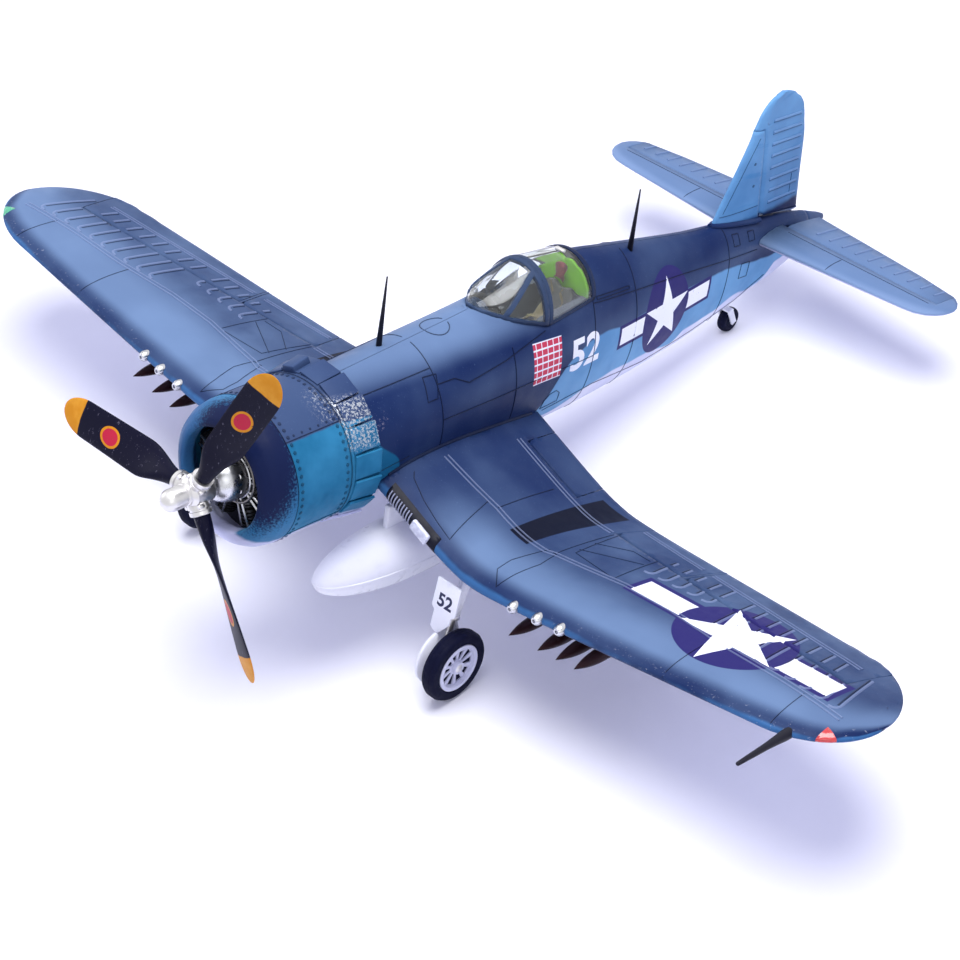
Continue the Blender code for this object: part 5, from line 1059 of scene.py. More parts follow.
class BuildCowling(bpy.types.Operator):
    """Cowl and cowl flaps with seams and rivets."""
    bl_idname = "model_plane.cowling"
    bl_label = "Cowling"

    RADIUS, RIVET_ROWS, SEAM_ANGLES = 42.6, (62.0, 95.5), (48, 132, -33, 213)
    RIVETS, STRIP_RIVETS, STRIP_SPACING = 60, 5, 6.0
    RING_SEAMS, LONG_SEAM = (59.0, 98.6), (59.0, 70.0, 85.0, 98.5)
    PLATES, PLATE, PLATE_PLACE = 18, (14.3, 17.6, 1.6), (0, 109.4, 44.3)
    HUMP_TURN, HUMP, HUMP_PLACE = -20, (9.0, 13.0, 5.0), (0, 106.0, 45.6)

    def on_cowl(self, angle, y):
        return air(self.RADIUS * cos(angle), y, self.RADIUS * sin(angle))

    def flap_plates(self):
        """A flared plate on every cowl flap, and the hump beside the crown."""
        plates = bmesh.new()
        flare = Matrix.Rotation(0.126, 4, "X") @ Matrix.Rotation(radians(5.5), 4, "Y")
        for k in range(self.PLATES):
            turn = Matrix.Rotation(radians(360 / self.PLATES * k), 4, "Y")
            add_box(plates, self.PLATE, turn @ Matrix.Translation(self.PLATE_PLACE) @ flare, 0.4)
        turn = Matrix.Rotation(radians(self.HUMP_TURN), 4, "Y")
        tilt = Matrix.Rotation(0.2, 4, "X")
        add_box(plates, self.HUMP, turn @ Matrix.Translation(self.HUMP_PLACE) @ tilt, 0.8)
        return plates

    def execute(self, context):
        flap_paint = finish("cowl_flap_paint", cowl_paint, 1.0, 0.03)
        reskin("cowl", finish("cowl_paint", cowl_paint), fit=fit_turned(32), longest=4 * MM)
        reskin("cowl_flaps", flap_paint, fit=fit_turned(36), longest=5 * MM, smooth=28)
        piece("cowl_flap_plates", self.flap_plates(), flap_paint, "airframe")
        rivets = bmesh.new()
        for y in self.RIVET_ROWS:
            for k in range(self.RIVETS):
                a = 2 * pi * (k + 0.5) / self.RIVETS
                add_dome(rivets, self.on_cowl(a, y), heading(cos(a), 0, sin(a)), sizes().rivet)
        for angle in self.SEAM_ANGLES[:2]:
            a = radians(angle)
            for k in range(self.STRIP_RIVETS):
                y = self.RIVET_ROWS[0] + self.STRIP_SPACING * (k + 1) - 2
                add_dome(rivets, self.on_cowl(a + 0.05, y), heading(cos(a), 0, sin(a)), 0.7 * sizes().rivet)
        # The rivets are painted darker than the cowl, as painted shade
        piece("cowl_rivets", rivets, finish("cowl_rivets", cowl_paint, 0.45), "airframe")
        paths = [[self.on_cowl(k * pi / 48, y) for k in range(97)] for y in self.RING_SEAMS]
        paths += [[self.on_cowl(radians(angle), y) for y in self.LONG_SEAM] for angle in self.SEAM_ANGLES]
        seams = strands(paths, 0.9 * sizes().seam, 1)
        piece("cowl_seams", seams, finish("cowl_seam", cowl_paint, 0.3), "airframe")
        return {"FINISHED"}


class BuildEngine(bpy.types.Operator):
    """Radial engine with finned cylinders, rocker boxes, push rods and ignition ring."""
    bl_idname = "model_plane.engine"
    bl_label = "Engine"

    CYLINDERS, Y, BARREL, HEAD, REACH = 9, 58.0, 4.6, 5.6, 36.0
    BAFFLE = ((13.0, 61.9), (40.2, 61.9), (40.2, 63.7), (13.0, 63.7), (13.0, 61.9))
    CASE_FRONT, RING_RADIUS, RING_Y = 33.2, 16.4, 50.6

    def execute(self, context):
        dark = finish("engine_iron", metal, (0.10, 0.10, 0.115), 0.42, (0.02, 0.02, 0.025), 0.6)
        silver = finish("engine_alloy", metal, (0.62, 0.63, 0.67), 0.28, (0.16, 0.16, 0.19), 0.5)
        bm = bmesh.new()
        rods = []
        for k in range(self.CYLINDERS):
            a = 2 * pi * k / self.CYLINDERS
            out = Vector((sin(a), 0, cos(a)))
            profile = [(0.0, 12.0)]
            for n in range(9):
                d, r = 13.0 + 2.1 * n, self.BARREL if n < 4 else self.HEAD
                profile += [(0.78 * r, d), (r, d + 0.4), (r, d + 1.0), (0.78 * r, d + 1.4)]
            profile += [(3.2, 33.6), (0.0, self.REACH - 0.4)]
            lathe(profile, facing((0, self.Y, 0), out), 20, bm)
            aside = Vector((cos(a), 0, -sin(a)))
            for way in (-1, 1):
                foot = Vector((0, self.Y - 6.4, 0)) + out * 13.0 + aside * (1.4 * way)
                top = Vector((0, self.Y - 5.4, 0)) + out * 31.0 + aside * (2.8 * way)
                rods.append([air(*foot), air(*top)])
        lathe(self.BAFFLE, forward_axis(), None, bm)
        piece("engine_cylinders", bm, dark, "airframe", ("dummy_engine",))
        front = self.CASE_FRONT
        case = [(3.3, front + 3.0), (3.3, front), (6.0, front)]
        case += [(6.0 + 7.4 * sin(t * pi / 16), front + 12.0 * (1 - cos(t * pi / 16))) for t in range(1, 9)]
        case += [(13.4, 50.0), (14.0, 50.4), (14.0, 52.0), (13.4, 52.4), (13.4, 61.5), (3.3, 61.5)]
        crank = lathe(case + case[:1], forward_axis())
        for k in range(self.CYLINDERS):
            a = 2 * pi * (k + 0.5) / self.CYLINDERS
            lathe([(0.0, -1.4), (1.6, -1.0), (1.6, 1.5), (0.0, 1.5)],
                  facing((11.6 * sin(a), 44.6, 11.6 * cos(a)), (sin(a), -0.9, cos(a))), 10, crank)
        piece("engine_crankcase", crank, silver, "airframe")
        r = self.RING_RADIUS
        ring = [[air(r * cos(k * pi / 24), self.RING_Y, r * sin(k * pi / 24)) for k in range(49)]]
        piece("engine_push_rods", strands(rods, 0.75 * MM, 2), silver, "airframe")
        steel = finish("ring_steel", metal, (0.20, 0.19, 0.19), 0.35)
        piece("engine_ignition_ring", strands(ring, 0.8 * MM, 2), steel, "airframe")
        dress(dark, "motor_stator")
        dress(silver, "motor_rotor")
        return {"FINISHED"}


class BuildPropeller(bpy.types.Operator):
    """Hub and three blades."""
    bl_idname = "model_plane.propeller"
    bl_label = "Propeller"

    PLANE_Y, RADIUS, ROOT, CHORD, THICK, SHANK = 22.7, 110.0, 13.8, 21.5, 3.4, 4.6
    BLADES, SECTIONS = 3, 40
    HUB = ((6.3, 13.2), (6.0, 13.5), (6.0, 14.3), (6.4, 14.6), (6.6, 16.4), (8.3, 18.0), (8.8, 18.6),
           (8.8, 29.6), (8.4, 31.0), (2.8, 31.0), (2.8, 20.0), (0.0, 20.0))
    BARREL = ((0.0, 6.6), (6.0, 6.6), (6.3, 7.2), (6.3, 9.6), (5.5, 9.9), (5.5, 10.7), (6.3, 11.0),
              (6.3, 13.0), (5.9, 13.4), (0.0, 13.4))
    BOLT = ((0.0, -2.0), (1.0, -2.0), (1.3, -1.6), (1.3, 1.6), (1.0, 2.0), (0.0, 2.0))

    def blade(self, turn):
        """Sections from the round shank to the rounded tip, bridged one to the next."""
        bm = bmesh.new()
        rings = []
        for k in range(self.SECTIONS + 1):
            share = 0.997 * (1 - (1 - k / self.SECTIONS) ** 1.4)
            radius = self.ROOT + (self.RADIUS - self.ROOT) * share
            flat = min(share / 0.3, 1.0)
            flat = flat * flat * (3 - 2 * flat)
            end = sqrt(max(1 - (max(share - 0.8, 0.0) / 0.2) ** 2, 0.0))
            chord = (2 * self.SHANK * (1 - flat) + self.CHORD * flat) * max(end, 0.08)
            thick = (2 * self.SHANK * (1 - flat) + self.THICK * (1.15 - 0.7 * share) * flat) * max(end, 0.2)
            pitch = atan2(0.31 * self.RADIUS, max(radius, 0.25 * self.RADIUS))
            made = bmesh.ops.create_circle(bm, segments=28, radius=1.0)["verts"]
            shape = (Matrix.Translation((0, 0, radius)) @ Matrix.Rotation(pitch, 4, "Z")
                     @ Matrix.Diagonal((chord / 2, thick / 2, 1.0, 1.0)))
            bmesh.ops.transform(bm, matrix=AIR @ turn @ shape, verts=made)
            rings.append(list({e for v in made for e in v.link_edges}))
        for low, high in zip(rings, rings[1:]):
            bmesh.ops.bridge_loops(bm, edges=low + high)
        bmesh.ops.holes_fill(bm, edges=rings[0] + rings[-1])
        bmesh.ops.recalc_face_normals(bm, faces=bm.faces)
        return bm

    def execute(self, context):
        paint = finish("blade_paint", blade_paint)
        nose = [(6.3 * sin(k * pi / 20), 0.2 + 6.1 * (1 - cos(k * pi / 20))) for k in range(11)]
        hub = lathe(nose + list(self.HUB), forward_axis())
        middle = Vector((0, self.PLANE_Y, 0))
        for k in range(self.BLADES):
            angle = BLADE_PHASE + 2 * pi * k / self.BLADES
            out = Vector((sin(angle), 0, cos(angle)))
            lathe(self.BARREL, facing(middle, out), 40, hub)
            aside = Vector((cos(angle), 0, -sin(angle)))
            for way in (-1, 1):
                spot = Vector((0, self.PLANE_Y - 2.8, 0)) + out * 8.4 + aside * (5.6 * way)
                lathe(self.BOLT, facing(spot, (0, 1, 0)), 12, hub)
            turn = Matrix.Translation(middle) @ Matrix.Rotation(angle, 4, "Y")
            node = f"prop_blade_{k + 1}"
            piece(f"{node}_finish", self.blade(turn), paint, "propeller", (node,))
        piece("prop_hub_finish", hub, hub_chrome(), "propeller", ("prop_hub",))
        return {"FINISHED"}


# Glass over the cockpit: front, bow and rear as (y, foot, top)
GLASS_FRONT, GLASS_BOW, GLASS_REAR = (225.0, 47.5, 47.5), (270.5, 34.0, 67.5), (313.5, 38.5, 62.0)
SCREEN_START, GLASS_PROUD = 230.46, 0.8


def hull_half(y, z):
    """Half width of the fuselage at a height."""
    width, middle, crown, keel = station(y)
    power, height = (CROWN_POWER, crown - middle) if z >= middle else (KEEL_POWER, middle - keel)
    return width * (1 - min(abs(z - middle) / height, 1.0) ** power) ** (1 / power)


def fit_glass(point):
    """Settles the outside of the glass on smooth arches."""
    low, high = (GLASS_FRONT, GLASS_BOW) if point.y <= GLASS_BOW[0] else (GLASS_BOW, GLASS_REAR)
    foot, top = (between(point.y, (low[0], low[k]), (high[0], high[k])) for k in (1, 2))
    half = hull_half(point.y, foot) + GLASS_PROUD
    if point.y <= GLASS_BOW[0]:
        share = (point.y - SCREEN_START) / (GLASS_BOW[0] - SCREEN_START)
        half *= 1 - 0.5 * max(1 - 2 * share, 0.0) ** 2
    share = hypot(point.x / half, (point.z - foot) / (top - foot))
    if point.z > foot + 0.5 and 0.975 < share < 1.0:
        point.x /= share
        point.z = foot + (point.z - foot) / share
    return point


def cut_strip(bm, strip, cuts, out):
    """Adds to bm the part of strip behind every cut (place, direction), stood proud by out."""
    for place, direction in cuts:
        geom = strip.verts[:] + strip.edges[:] + strip.faces[:]
        bmesh.ops.bisect_plane(strip, geom=geom, dist=1e-7, clear_outer=True, plane_co=air(*place),
                               plane_no=heading(*direction))
        bmesh.ops.holes_fill(strip, edges=[e for e in strip.edges if e.is_boundary])
        bmesh.ops.triangulate(strip, faces=[f for f in strip.faces if len(f.verts) > 4])
    bmesh.ops.recalc_face_normals(strip, faces=strip.faces)
    strip.normal_update()
    moves = [(v, v.normal.copy()) for v in strip.verts]
    for v, normal in moves:
        v.co += normal * (out * MM)
    mesh = bpy.data.meshes.new("strip")
    strip.to_mesh(mesh)
    strip.free()
    bm.from_mesh(mesh)
    bpy.data.meshes.remove(mesh)


def glass_band(bm, node, cuts, out=0.4):
    """Adds to bm a strip of the glass between cuts."""
    strip = merged(node)
    refine(strip, 2.6 * MM, fit_glass)
    cut_strip(bm, strip, cuts, out)


def skin_patch(name, cuts, out):
    """A patch of a finished piece's skin."""
    bm, strip = bmesh.new(), bmesh.new()
    strip.from_mesh(bpy.data.objects[name].data)
    cut_strip(bm, strip, cuts, out)
    return bm


def sill_cut(low, high, height):
    """The cut that keeps what lies less than height above the glass's foot from low to high."""
    slope = Vector((0, high[0] - low[0], high[1] - low[1]))
    rise = Vector((0, -slope.z, slope.y)).normalized()
    return Vector((0, GLASS_BOW[0], GLASS_BOW[1])) + rise * height, rise


class BuildCanopy(bpy.types.Operator):
    """Windscreen and sliding hood with their painted frames, and the mirror."""
    bl_idname = "model_plane.canopy"
    bl_label = "Canopy"

    PILLAR = ((15.8, 243.8, 46.8), (10.8, 265.1, 61.9))

    def execute(self, context):
        glass = finish("canopy_glass", glass_finish)
        for node in ("windscreen", "sliding_canopy"):
            reskin(node, glass, fit=fit_glass, longest=2.6 * MM, smooth=50)
        paint = finish("frame_paint", fuselage_paint, 0.45, True)
        fixed = bmesh.new()
        glass_band(fixed, "windscreen", [((0, 267.6, 0), (0, -1, 0))], 0.45)
        glass_band(fixed, "windscreen", [sill_cut(GLASS_FRONT, GLASS_BOW, 2.4)], 0.45)
        for side, _ in SIDES:
            foot, head = (Vector((side * x, y, z)) for x, y, z in self.PILLAR)
            across = (head - foot).cross(Vector((0, 255, 40)) - foot).normalized()
            cuts = [(foot + across * 1.2, across), (foot - across * 1.2, -across),
                    ((side * 3.0, 0, 0), (-side, 0, 0))]
            glass_band(fixed, "windscreen", cuts, 0.5)
        piece("windscreen_frame", fixed, paint, "airframe")
        hood = bmesh.new()
        for cut in (((0, 273.6, 0), (0, 1, 0)), ((0, 310.0, 0), (0, -1, 0)),
                    sill_cut(GLASS_BOW, GLASS_REAR, 2.2)):
            glass_band(hood, "sliding_canopy", [cut])
        piece("canopy_frame", hood, paint, "canopy")
        mirror = bmesh.new()
        add_box(mirror, (7.0, 3.0, 2.2), facing((0, 303.0, 64.2), (0, 0.1, 1)), 0.8)
        piece("canopy_mirror", mirror, hub_chrome(), "canopy")
        return {"FINISHED"}


def air_box(node):
    """Lowest and highest corner of a solid, in airframe millimetres."""
    places = [LEVEL @ v.co for v in frame["nodes"][node].data.vertices]
    return (Vector([min(p[k] for p in places) for k in range(3)]),
            Vector([max(p[k] for p in places) for k in range(3)]))


class BuildCockpit(bpy.types.Operator):
    """Tub, seat, instrument panel, armour plate and the two stuffed pads."""
    bl_idname = "model_plane.cockpit"
    bl_label = "Cockpit"

    SWELL, FRAMES = 25.0, 20
    DIALS = ((-6.6, 3.2, 2.0), (-1.9, 4.6, 2.2), (3.4, 4.4, 2.2), (7.8, 2.6, 1.6), (0.8, 1.4, 1.1),
             (-4.2, 1.2, 0.9))
    STRAPS = (-4.5, 4.5)

    def stuffed(self, node, material, flat_axis, flat_side):
        """A pad blown up by a cloth run at a larger size, with one side flattened, in its solid's place."""
        low, high = air_box(node)
        size, middle = high - low, (low + high) / 2
        bm = bmesh.new()
        bmesh.ops.create_cube(bm, size=1.0)
        bmesh.ops.subdivide_edges(bm, edges=bm.edges, cuts=13, use_grid_fill=True)
        bmesh.ops.scale(bm, vec=size * (0.86 * self.SWELL * MM), verts=bm.verts)
        mesh = bpy.data.meshes.new("pad")
        bm.to_mesh(mesh)
        bm.free()
        holder = bpy.data.objects.new("pad", mesh)
        scene = bpy.context.scene
        scene.collection.objects.link(holder)
        cloth = holder.modifiers.new("Cloth", "CLOTH")
        cloth.settings.quality = 6
        cloth.settings.mass = 0.2
        cloth.settings.tension_stiffness = cloth.settings.compression_stiffness = 18.0
        cloth.settings.bending_stiffness = 0.6
        cloth.settings.use_pressure = True
        cloth.settings.uniform_pressure_force = 4.0
        cloth.settings.effector_weights.gravity = 0.0
        cloth.collision_settings.use_collision = False
        cloth.point_cache.frame_end = self.FRAMES
        for number in range(1, self.FRAMES + 1):
            scene.frame_set(number)
        graph = bpy.context.evaluated_depsgraph_get()
        blown = bpy.data.meshes.new_from_object(holder.evaluated_get(graph))
        bm = bmesh.new()
        bm.from_mesh(blown)
        bpy.data.objects.remove(holder)
        bpy.data.meshes.remove(mesh)
        bpy.data.meshes.remove(blown)
        scene.frame_set(1)
        reach = [max(abs(v.co[k]) for v in bm.verts) for k in range(3)]
        shrink = Matrix.Diagonal((*[size[k] / 2 / reach[k] for k in range(3)], 1.0))
        bmesh.ops.transform(bm, matrix=shrink, verts=bm.verts)
        rest = flat_side * 0.36 * size[flat_axis]
        for v in bm.verts:
            if v.co[flat_axis] * flat_side > rest * flat_side:
                v.co[flat_axis] = rest + 0.14 * flat_side * size[flat_axis]
        bmesh.ops.smooth_vert(bm, verts=bm.verts, factor=0.4, use_axis_x=True, use_axis_y=True,
                              use_axis_z=True)
        bmesh.ops.transform(bm, matrix=AIR @ Matrix.Translation(middle), verts=bm.verts)
        pad = piece(f"{node}_stuffed", bm, material, "airframe", (node,), 60)

    def execute(self, context):
        c = colours()
        grey = finish("cockpit_grey", enamel, (0.10, 0.115, 0.135), (0.045, 0.05, 0.06), 0.6, 0.5, 9.0)
        dress(grey, "cockpit_tub")
        seat = finish("seat_grey", enamel, (0.17, 0.17, 0.16), (0.07, 0.07, 0.07), 0.6, 0.45, 8.0)
        reskin("pilot_seat", seat, 0.3)
        green = finish("bulkhead_green", enamel, c.bulkhead, (0.10, 0.30, 0.01), 0.5, 0.4, 12.0)
        reskin("armour_plate", green, 0.4)
        canvas = finish("cushion_canvas", cloth_finish, c.cushion, (0.19, 0.145, 0.06), 0.9)
        leather = finish("headrest_leather", cloth_finish, c.headrest, (0.10, 0.004, 0.012), 0.7)
        self.stuffed("seat_cushion", canvas, 2, -1)
        self.stuffed("headrest_pad", leather, 1, 1)
        low, high = air_box("pilot_seat")
        y = high.y - 2.75
        straps = [[air(x, y, high.z - 1.0), air(x * 0.9, y, low.z + 17.5)] for x in self.STRAPS]
        piece("seat_straps", strands(straps, 0.55 * MM, 1), canvas, "airframe")
        black = finish("panel_black", enamel, (0.012, 0.012, 0.015), (0.05, 0.05, 0.06), 0.5)
        reskin("instrument_panel", black, 0.3)
        low, high = air_box("instrument_panel")
        dials = bmesh.new()
        for x, up, radius in self.DIALS:
            face = 0.72 * radius
            ring = [(0.0, -0.12), (face, -0.12), (face, -0.45), (radius, -0.45), (radius, 0.1)]
            lathe(ring, facing((0.9 * x, high.y, low.z + up), (0, -1, 0)), 20, dials)
        rim = finish("dial_rim", metal, (0.35, 0.36, 0.38), 0.35)
        piece("panel_dials", dials, rim, "airframe")
        return {"FINISHED"}


class BuildWings(bpy.types.Operator):
    """Wings, ailerons and flaps, with seams, ribs, guns, intakes and lights."""
    bl_idname = "model_plane.wings"
    bl_label = "Wings"

    SPAR = ((42, 175.5), (64, 178), (81, 180.5), (99, 180.5), (120, 180), (126, 182), (172, 186.8),
            (206, 185), (249, 177.4), (287.5, 173.7), (331, 167))
    AFT = ((45, 235), (97, 235), (124.5, 233))
    ROOT = ((42, 150), (45, 147), (58, 143), (71, 141), (83, 140), (80, 155), (77, 170), (75, 179))
    TEARDROP = ((123, 137), (114, 147), (114, 158), (117, 170), (120, 183), (126, 182), (127.5, 167),
                (124.4, 150))
    CHORDS = (((81, 181), (81, 229)), ((240.5, 137), (240.5, 177)), ((307, 141), (305, 171)),
              ((125, 182), (127, 238)), ((163.5, 189), (163, 230)), ((162, 216), (129.5, 198)),
              ((161, 223), (147.4, 224.6), (129, 212)), ((160, 188), (131, 193), (129, 233)))
    LOWER_PANELS = (((118, 140), (186, 140), (186, 200), (118, 200)),
                    ((118, 208), (186, 208), (186, 232), (118, 232)))
    SKINS = (("wing", fit_wing), ("aileron", fit_aileron), ("inner_flap", fit_flap),
             ("outer_flap", fit_flap))

    LONG_RIBS = (231.0, 241.0, 251.6, 262.0, 272.3, 282.6, 293.4, 304.0, 314.5, 324.5)
    SHORT_RIBS, SHORT_FRONT, SHORT_BACK = (172.5, 182.5, 192.5, 203.0, 213.0), 209.5, 236.0
    LONG_BACK, BACK_SLOPE, LAST_MOVING = 231.3, 0.195, 312.0
    HOOK = ((-5.0, 0.0), (-2.2, 0.2), (-0.6, 1.6), (0.0, 4.0))
    RIDGE_ENDS, RIDGE_BACK = {"outer_flap": (129.5, 183.5), "aileron": (189.0, 308.0)}, (14.8, 17.2)

    GUNS = (139.5, 156.6, 172.3)
    GUN = ((0.0, -1.2), (1.1, -1.2), (1.1, -2.9), (1.9, -2.9), (3.1, -1.6), (3.4, 0.6), (3.3, 4.0),
           (0.0, 4.0))
    INTAKE, INTAKE_BACK, LAMP_X = (41.0, 80.0), 136.6, 68.0
    TIP_LAMP, TIP_LAMP_EDGE = (330.5, 341.0), (336.0, 155.4)
    TIP_COLOURS = {"left": ("lamp_red", (0.50, 0.012, 0.018), (0.68, 0.03, 0.04)),
                   "right": ("lamp_green", (0.02, 0.34, 0.17), (0.04, 0.46, 0.25))}
    PITOT_X, PITOT_REACH = 317.0, 40.0
    PITOT = ((0.0, 0.0), (0.8, 0.0), (1.1, 0.4), (1.4, 8.0), (1.9, 24.0), (2.5, 33.0), (3.0, 38.5),
             (3.0, 43.0), (0.0, 43.0))

    def rib_lines(self):
        """Ribs as (x, y) points: hooked ones on the wing, and those on the flap and aileron."""
        ribs = {"wing": [], "outer_flap": [], "aileron": []}
        for x in self.SHORT_RIBS + self.LONG_RIBS:
            hinge = outer_hinge(x)
            if x in self.LONG_RIBS:
                front = along(self.SPAR, x) + 4.0
                end = self.LONG_BACK - self.BACK_SLOPE * (x - self.LONG_RIBS[0])
            else:
                front, end = self.SHORT_FRONT, self.SHORT_BACK
            end = min(end, trailing_edge(x) - 7.0)
            lean = -0.05 - max(x - 290.0, 0.0) * 0.0023
            moves = x < self.LAST_MOVING
            back = hinge - 5.0 if moves else end
            hook = [(x + aside, front + behind) for aside, behind in self.HOOK]
            ribs["wing"].append(hook + [(x + lean * (back - front), back)])
            if moves and end > hinge + 5.0:
                rib = [(x + lean * (y - front), y) for y in (hinge + 0.6, end)]
                ribs["aileron" if x > AILERON_START else "outer_flap"].append(rib)
        return ribs

    def mark_under(self, skin):
        """Notes for the paint which points of a skin lie on its underside."""
        under = skin.attributes.new("under", "FLOAT", "POINT")
        for v, item in zip(skin.vertices, under.data):
            place = LEVEL @ v.co
            x = abs(place.x)
            low, high = wing_heights(x, place.y)
            hinge = INNER_HINGE_Y if x < KNEE_X else outer_hinge(x)
            nose = hinge - 9.0 < place.y < hinge + 2.0
            item.value = float(place.z - low < (0.04 if nose else 0.2) * (high - low))

    def seams(self, side, word, tree, dark, wear_and_highlight):
        """Double ridges along the spars, lightened as a painted highlight, and the panel seams."""
        ridges = []
        for line in (self.SPAR, self.AFT):
            for shift in (-1.5, 1.5):
                ridges.append(plan_seam(tree, [(side * x, y + shift) for x, y in line], 0.1 * MM))
        piece(f"{word}_wing_ridges", strands(ridges, 0.5 * MM, 2), wear_and_highlight, "airframe")
        lift = 0.03 * MM
        paths = [plan_seam(tree, mirrored(self.ROOT, side), lift)]
        paths.append(plan_seam(tree, mirrored(self.TEARDROP, side), lift, closed=True))
        paths += [plan_seam(tree, mirrored(line, side), lift) for line in self.CHORDS]
        paths += [plan_seam(tree, mirrored(box, side), lift, True, True) for box in self.LOWER_PANELS]
        paths.append(plan_seam(tree, mirrored(self.SPAR, side), lift, True))
        piece(f"{word}_wing_seams", strands(paths, 0.85 * sizes().seam, 1), dark, "airframe")

    def ribs(self, side, word, name, lines, dark, wear_and_highlight):
        """Ribs lightened as a painted highlight, a dark painted shadow beside each, and a lighter double
        ridge on a moving piece.
        """
        node = f"{word}_{name}"
        body, tree = BODY_OF[node], surface_tree(f"{node}_finish")
        if name in self.RIDGE_ENDS:
            edges = [[(x, outer_hinge(x) + back) for x in self.RIDGE_ENDS[name]] for back in self.RIDGE_BACK]
            ridges = [plan_seam(tree, mirrored(edge, side), 0.1 * MM) for edge in edges]
            piece(f"{node}_ridges", strands(ridges, 0.5 * MM, 2), wear_and_highlight, body)
        ribs = [plan_seam(tree, mirrored(line, side), -0.45 * MM) for line in lines]
        piece(f"{node}_ribs", strands(ribs, sizes().rib, 2), wear_and_highlight, body)
        beside = [[(x - 1.7, y) for x, y in line[-2:]] for line in lines]
        shade = [plan_seam(tree, mirrored(line, side), -0.5 * MM) for line in beside]
        piece(f"{node}_rib_shade", strands(shade, 0.8 * MM, 2), dark, body)

    def root_line(self, side):
        """Where the wing's upper side meets the fuselage."""
        line = []
        for y in range(136, 264, 3):
            x = 36.0
            for _ in range(6):
                x = hull_half(y, wing_heights(x, y)[1])
            line.append(air(side * x, y, wing_heights(x, y)[1]))
        return line

    def execute(self, context):
        paint = finish("wing_paint", wing_paint)
        # The rib paint is lighter, a painted highlight; the seam paint also draws painted shadows beside the
        # ribs
        dark, wear_and_highlight = finish("wing_seam", wing_paint, 0.35), finish("wing_rib", wing_paint, 1.4)
        ribs = self.rib_lines()
        for side, word in SIDES:
            for name, fit in self.SKINS:
                self.mark_under(reskin(f"{word}_{name}", paint, fit=fit).data)
            tree = surface_tree(f"{word}_wing_finish")
            self.seams(side, word, tree, dark, wear_and_highlight)
            for name, lines in ribs.items():
                self.ribs(side, word, name, lines, dark, wear_and_highlight)
            # A dark bead along the wing root: a fillet whose darkness is painted shade in the join
            fillet = strands([self.root_line(side)], 1.3 * MM, 3)
            piece(f"{word}_root_fillet", fillet, dark, "airframe")
            self.fittings(side, word, tree)
        x = self.PITOT_X
        tip = (x, leading_edge(x) - self.PITOT_REACH, KNEE_Z + OUTER_SLOPE * (x - KNEE_X) + 1.3)
        probe = lathe(self.PITOT, facing(tip, (0, 1, -0.03)), 32)
        piece("pitot_tube_finish", probe, mast_black(), "airframe", ("pitot_tube",), 50)
        return {"FINISHED"}

    def span_cuts(self, side, inner, outer):
        """Cuts that keep what lies from inner to outer along the span."""
        return [((side * inner, 0, 0), (-side, 0, 0)), ((side * outer, 0, 0), (side, 0, 0))]

    def fittings(self, side, word, tree):
        """Guns, intake as a dark patch of painted shade with its slats, landing lamp and wingtip lamp."""
        skin = f"{word}_wing_finish"
        guns = bmesh.new()
        for x in self.GUNS:
            nose = leading_edge(x)
            _, high = wing_heights(x, nose + 0.01)
            lathe(self.GUN, forward_axis(side * x, high) @ Matrix.Translation((0, 0, nose)), 24, guns)
        piece(f"{word}_guns", guns, gun_steel(), "airframe")
        # The intake is a near-black patch of the wing skin, lifted off it: painted shade for the opening
        cuts = self.span_cuts(side, *self.INTAKE) + [((0, self.INTAKE_BACK, 0), (0, 1, 0))]
        recess = skin_patch(skin, cuts, 0.12)
        black = finish("intake_black", enamel, (0.004, 0.005, 0.014), (0.02, 0.022, 0.04))
        piece(f"{word}_intake_shade", recess, black, "airframe")
        slats = []
        for x in range(43, 60, 2):
            low, high = wing_heights(x, leading_edge(x) + 3.4)
            starts = [(side * x, 60.0, high + (low - high) * (0.06 + 0.085 * k)) for k in range(9)]
            slats.append(drop(tree, starts, (0, 1, 0), 0.25 * MM))
        grey = finish("slat_grey", enamel, (0.30, 0.32, 0.42))
        piece(f"{word}_intake_slats", strands(slats, 0.42 * MM, 2), grey, "airframe")
        x = self.LAMP_X
        low, high = wing_heights(x, leading_edge(x) + 2.0)
        lens = bmesh.new()
        for place in drop(tree, [(side * x, 60.0, (low + high) / 2 + 1.0)], (0, 1, 0)):
            turn = Matrix.Rotation(side * 0.396, 4, "Y")
            add_box(lens, (14.2, 3.2, 7.6), Matrix.Translation(LEVEL @ place) @ turn, 1.5)
        glass = finish("lamp_glass", lens_finish, (0.52, 0.54, 0.66), (0.74, 0.76, 0.84))
        piece(f"{word}_landing_lamp", lens, glass, "airframe")
        x, y = self.TIP_LAMP_EDGE
        cuts = self.span_cuts(side, *self.TIP_LAMP) + [((side * x, y, 0), (side * 0.35, 1, 0))]
        light = skin_patch(skin, cuts, 0.14)
        name, colour, glow = self.TIP_COLOURS[word]
        tinted = finish(name, lens_finish, colour, glow)
        piece(f"{word}_wingtip_lamp", light, tinted, "airframe")


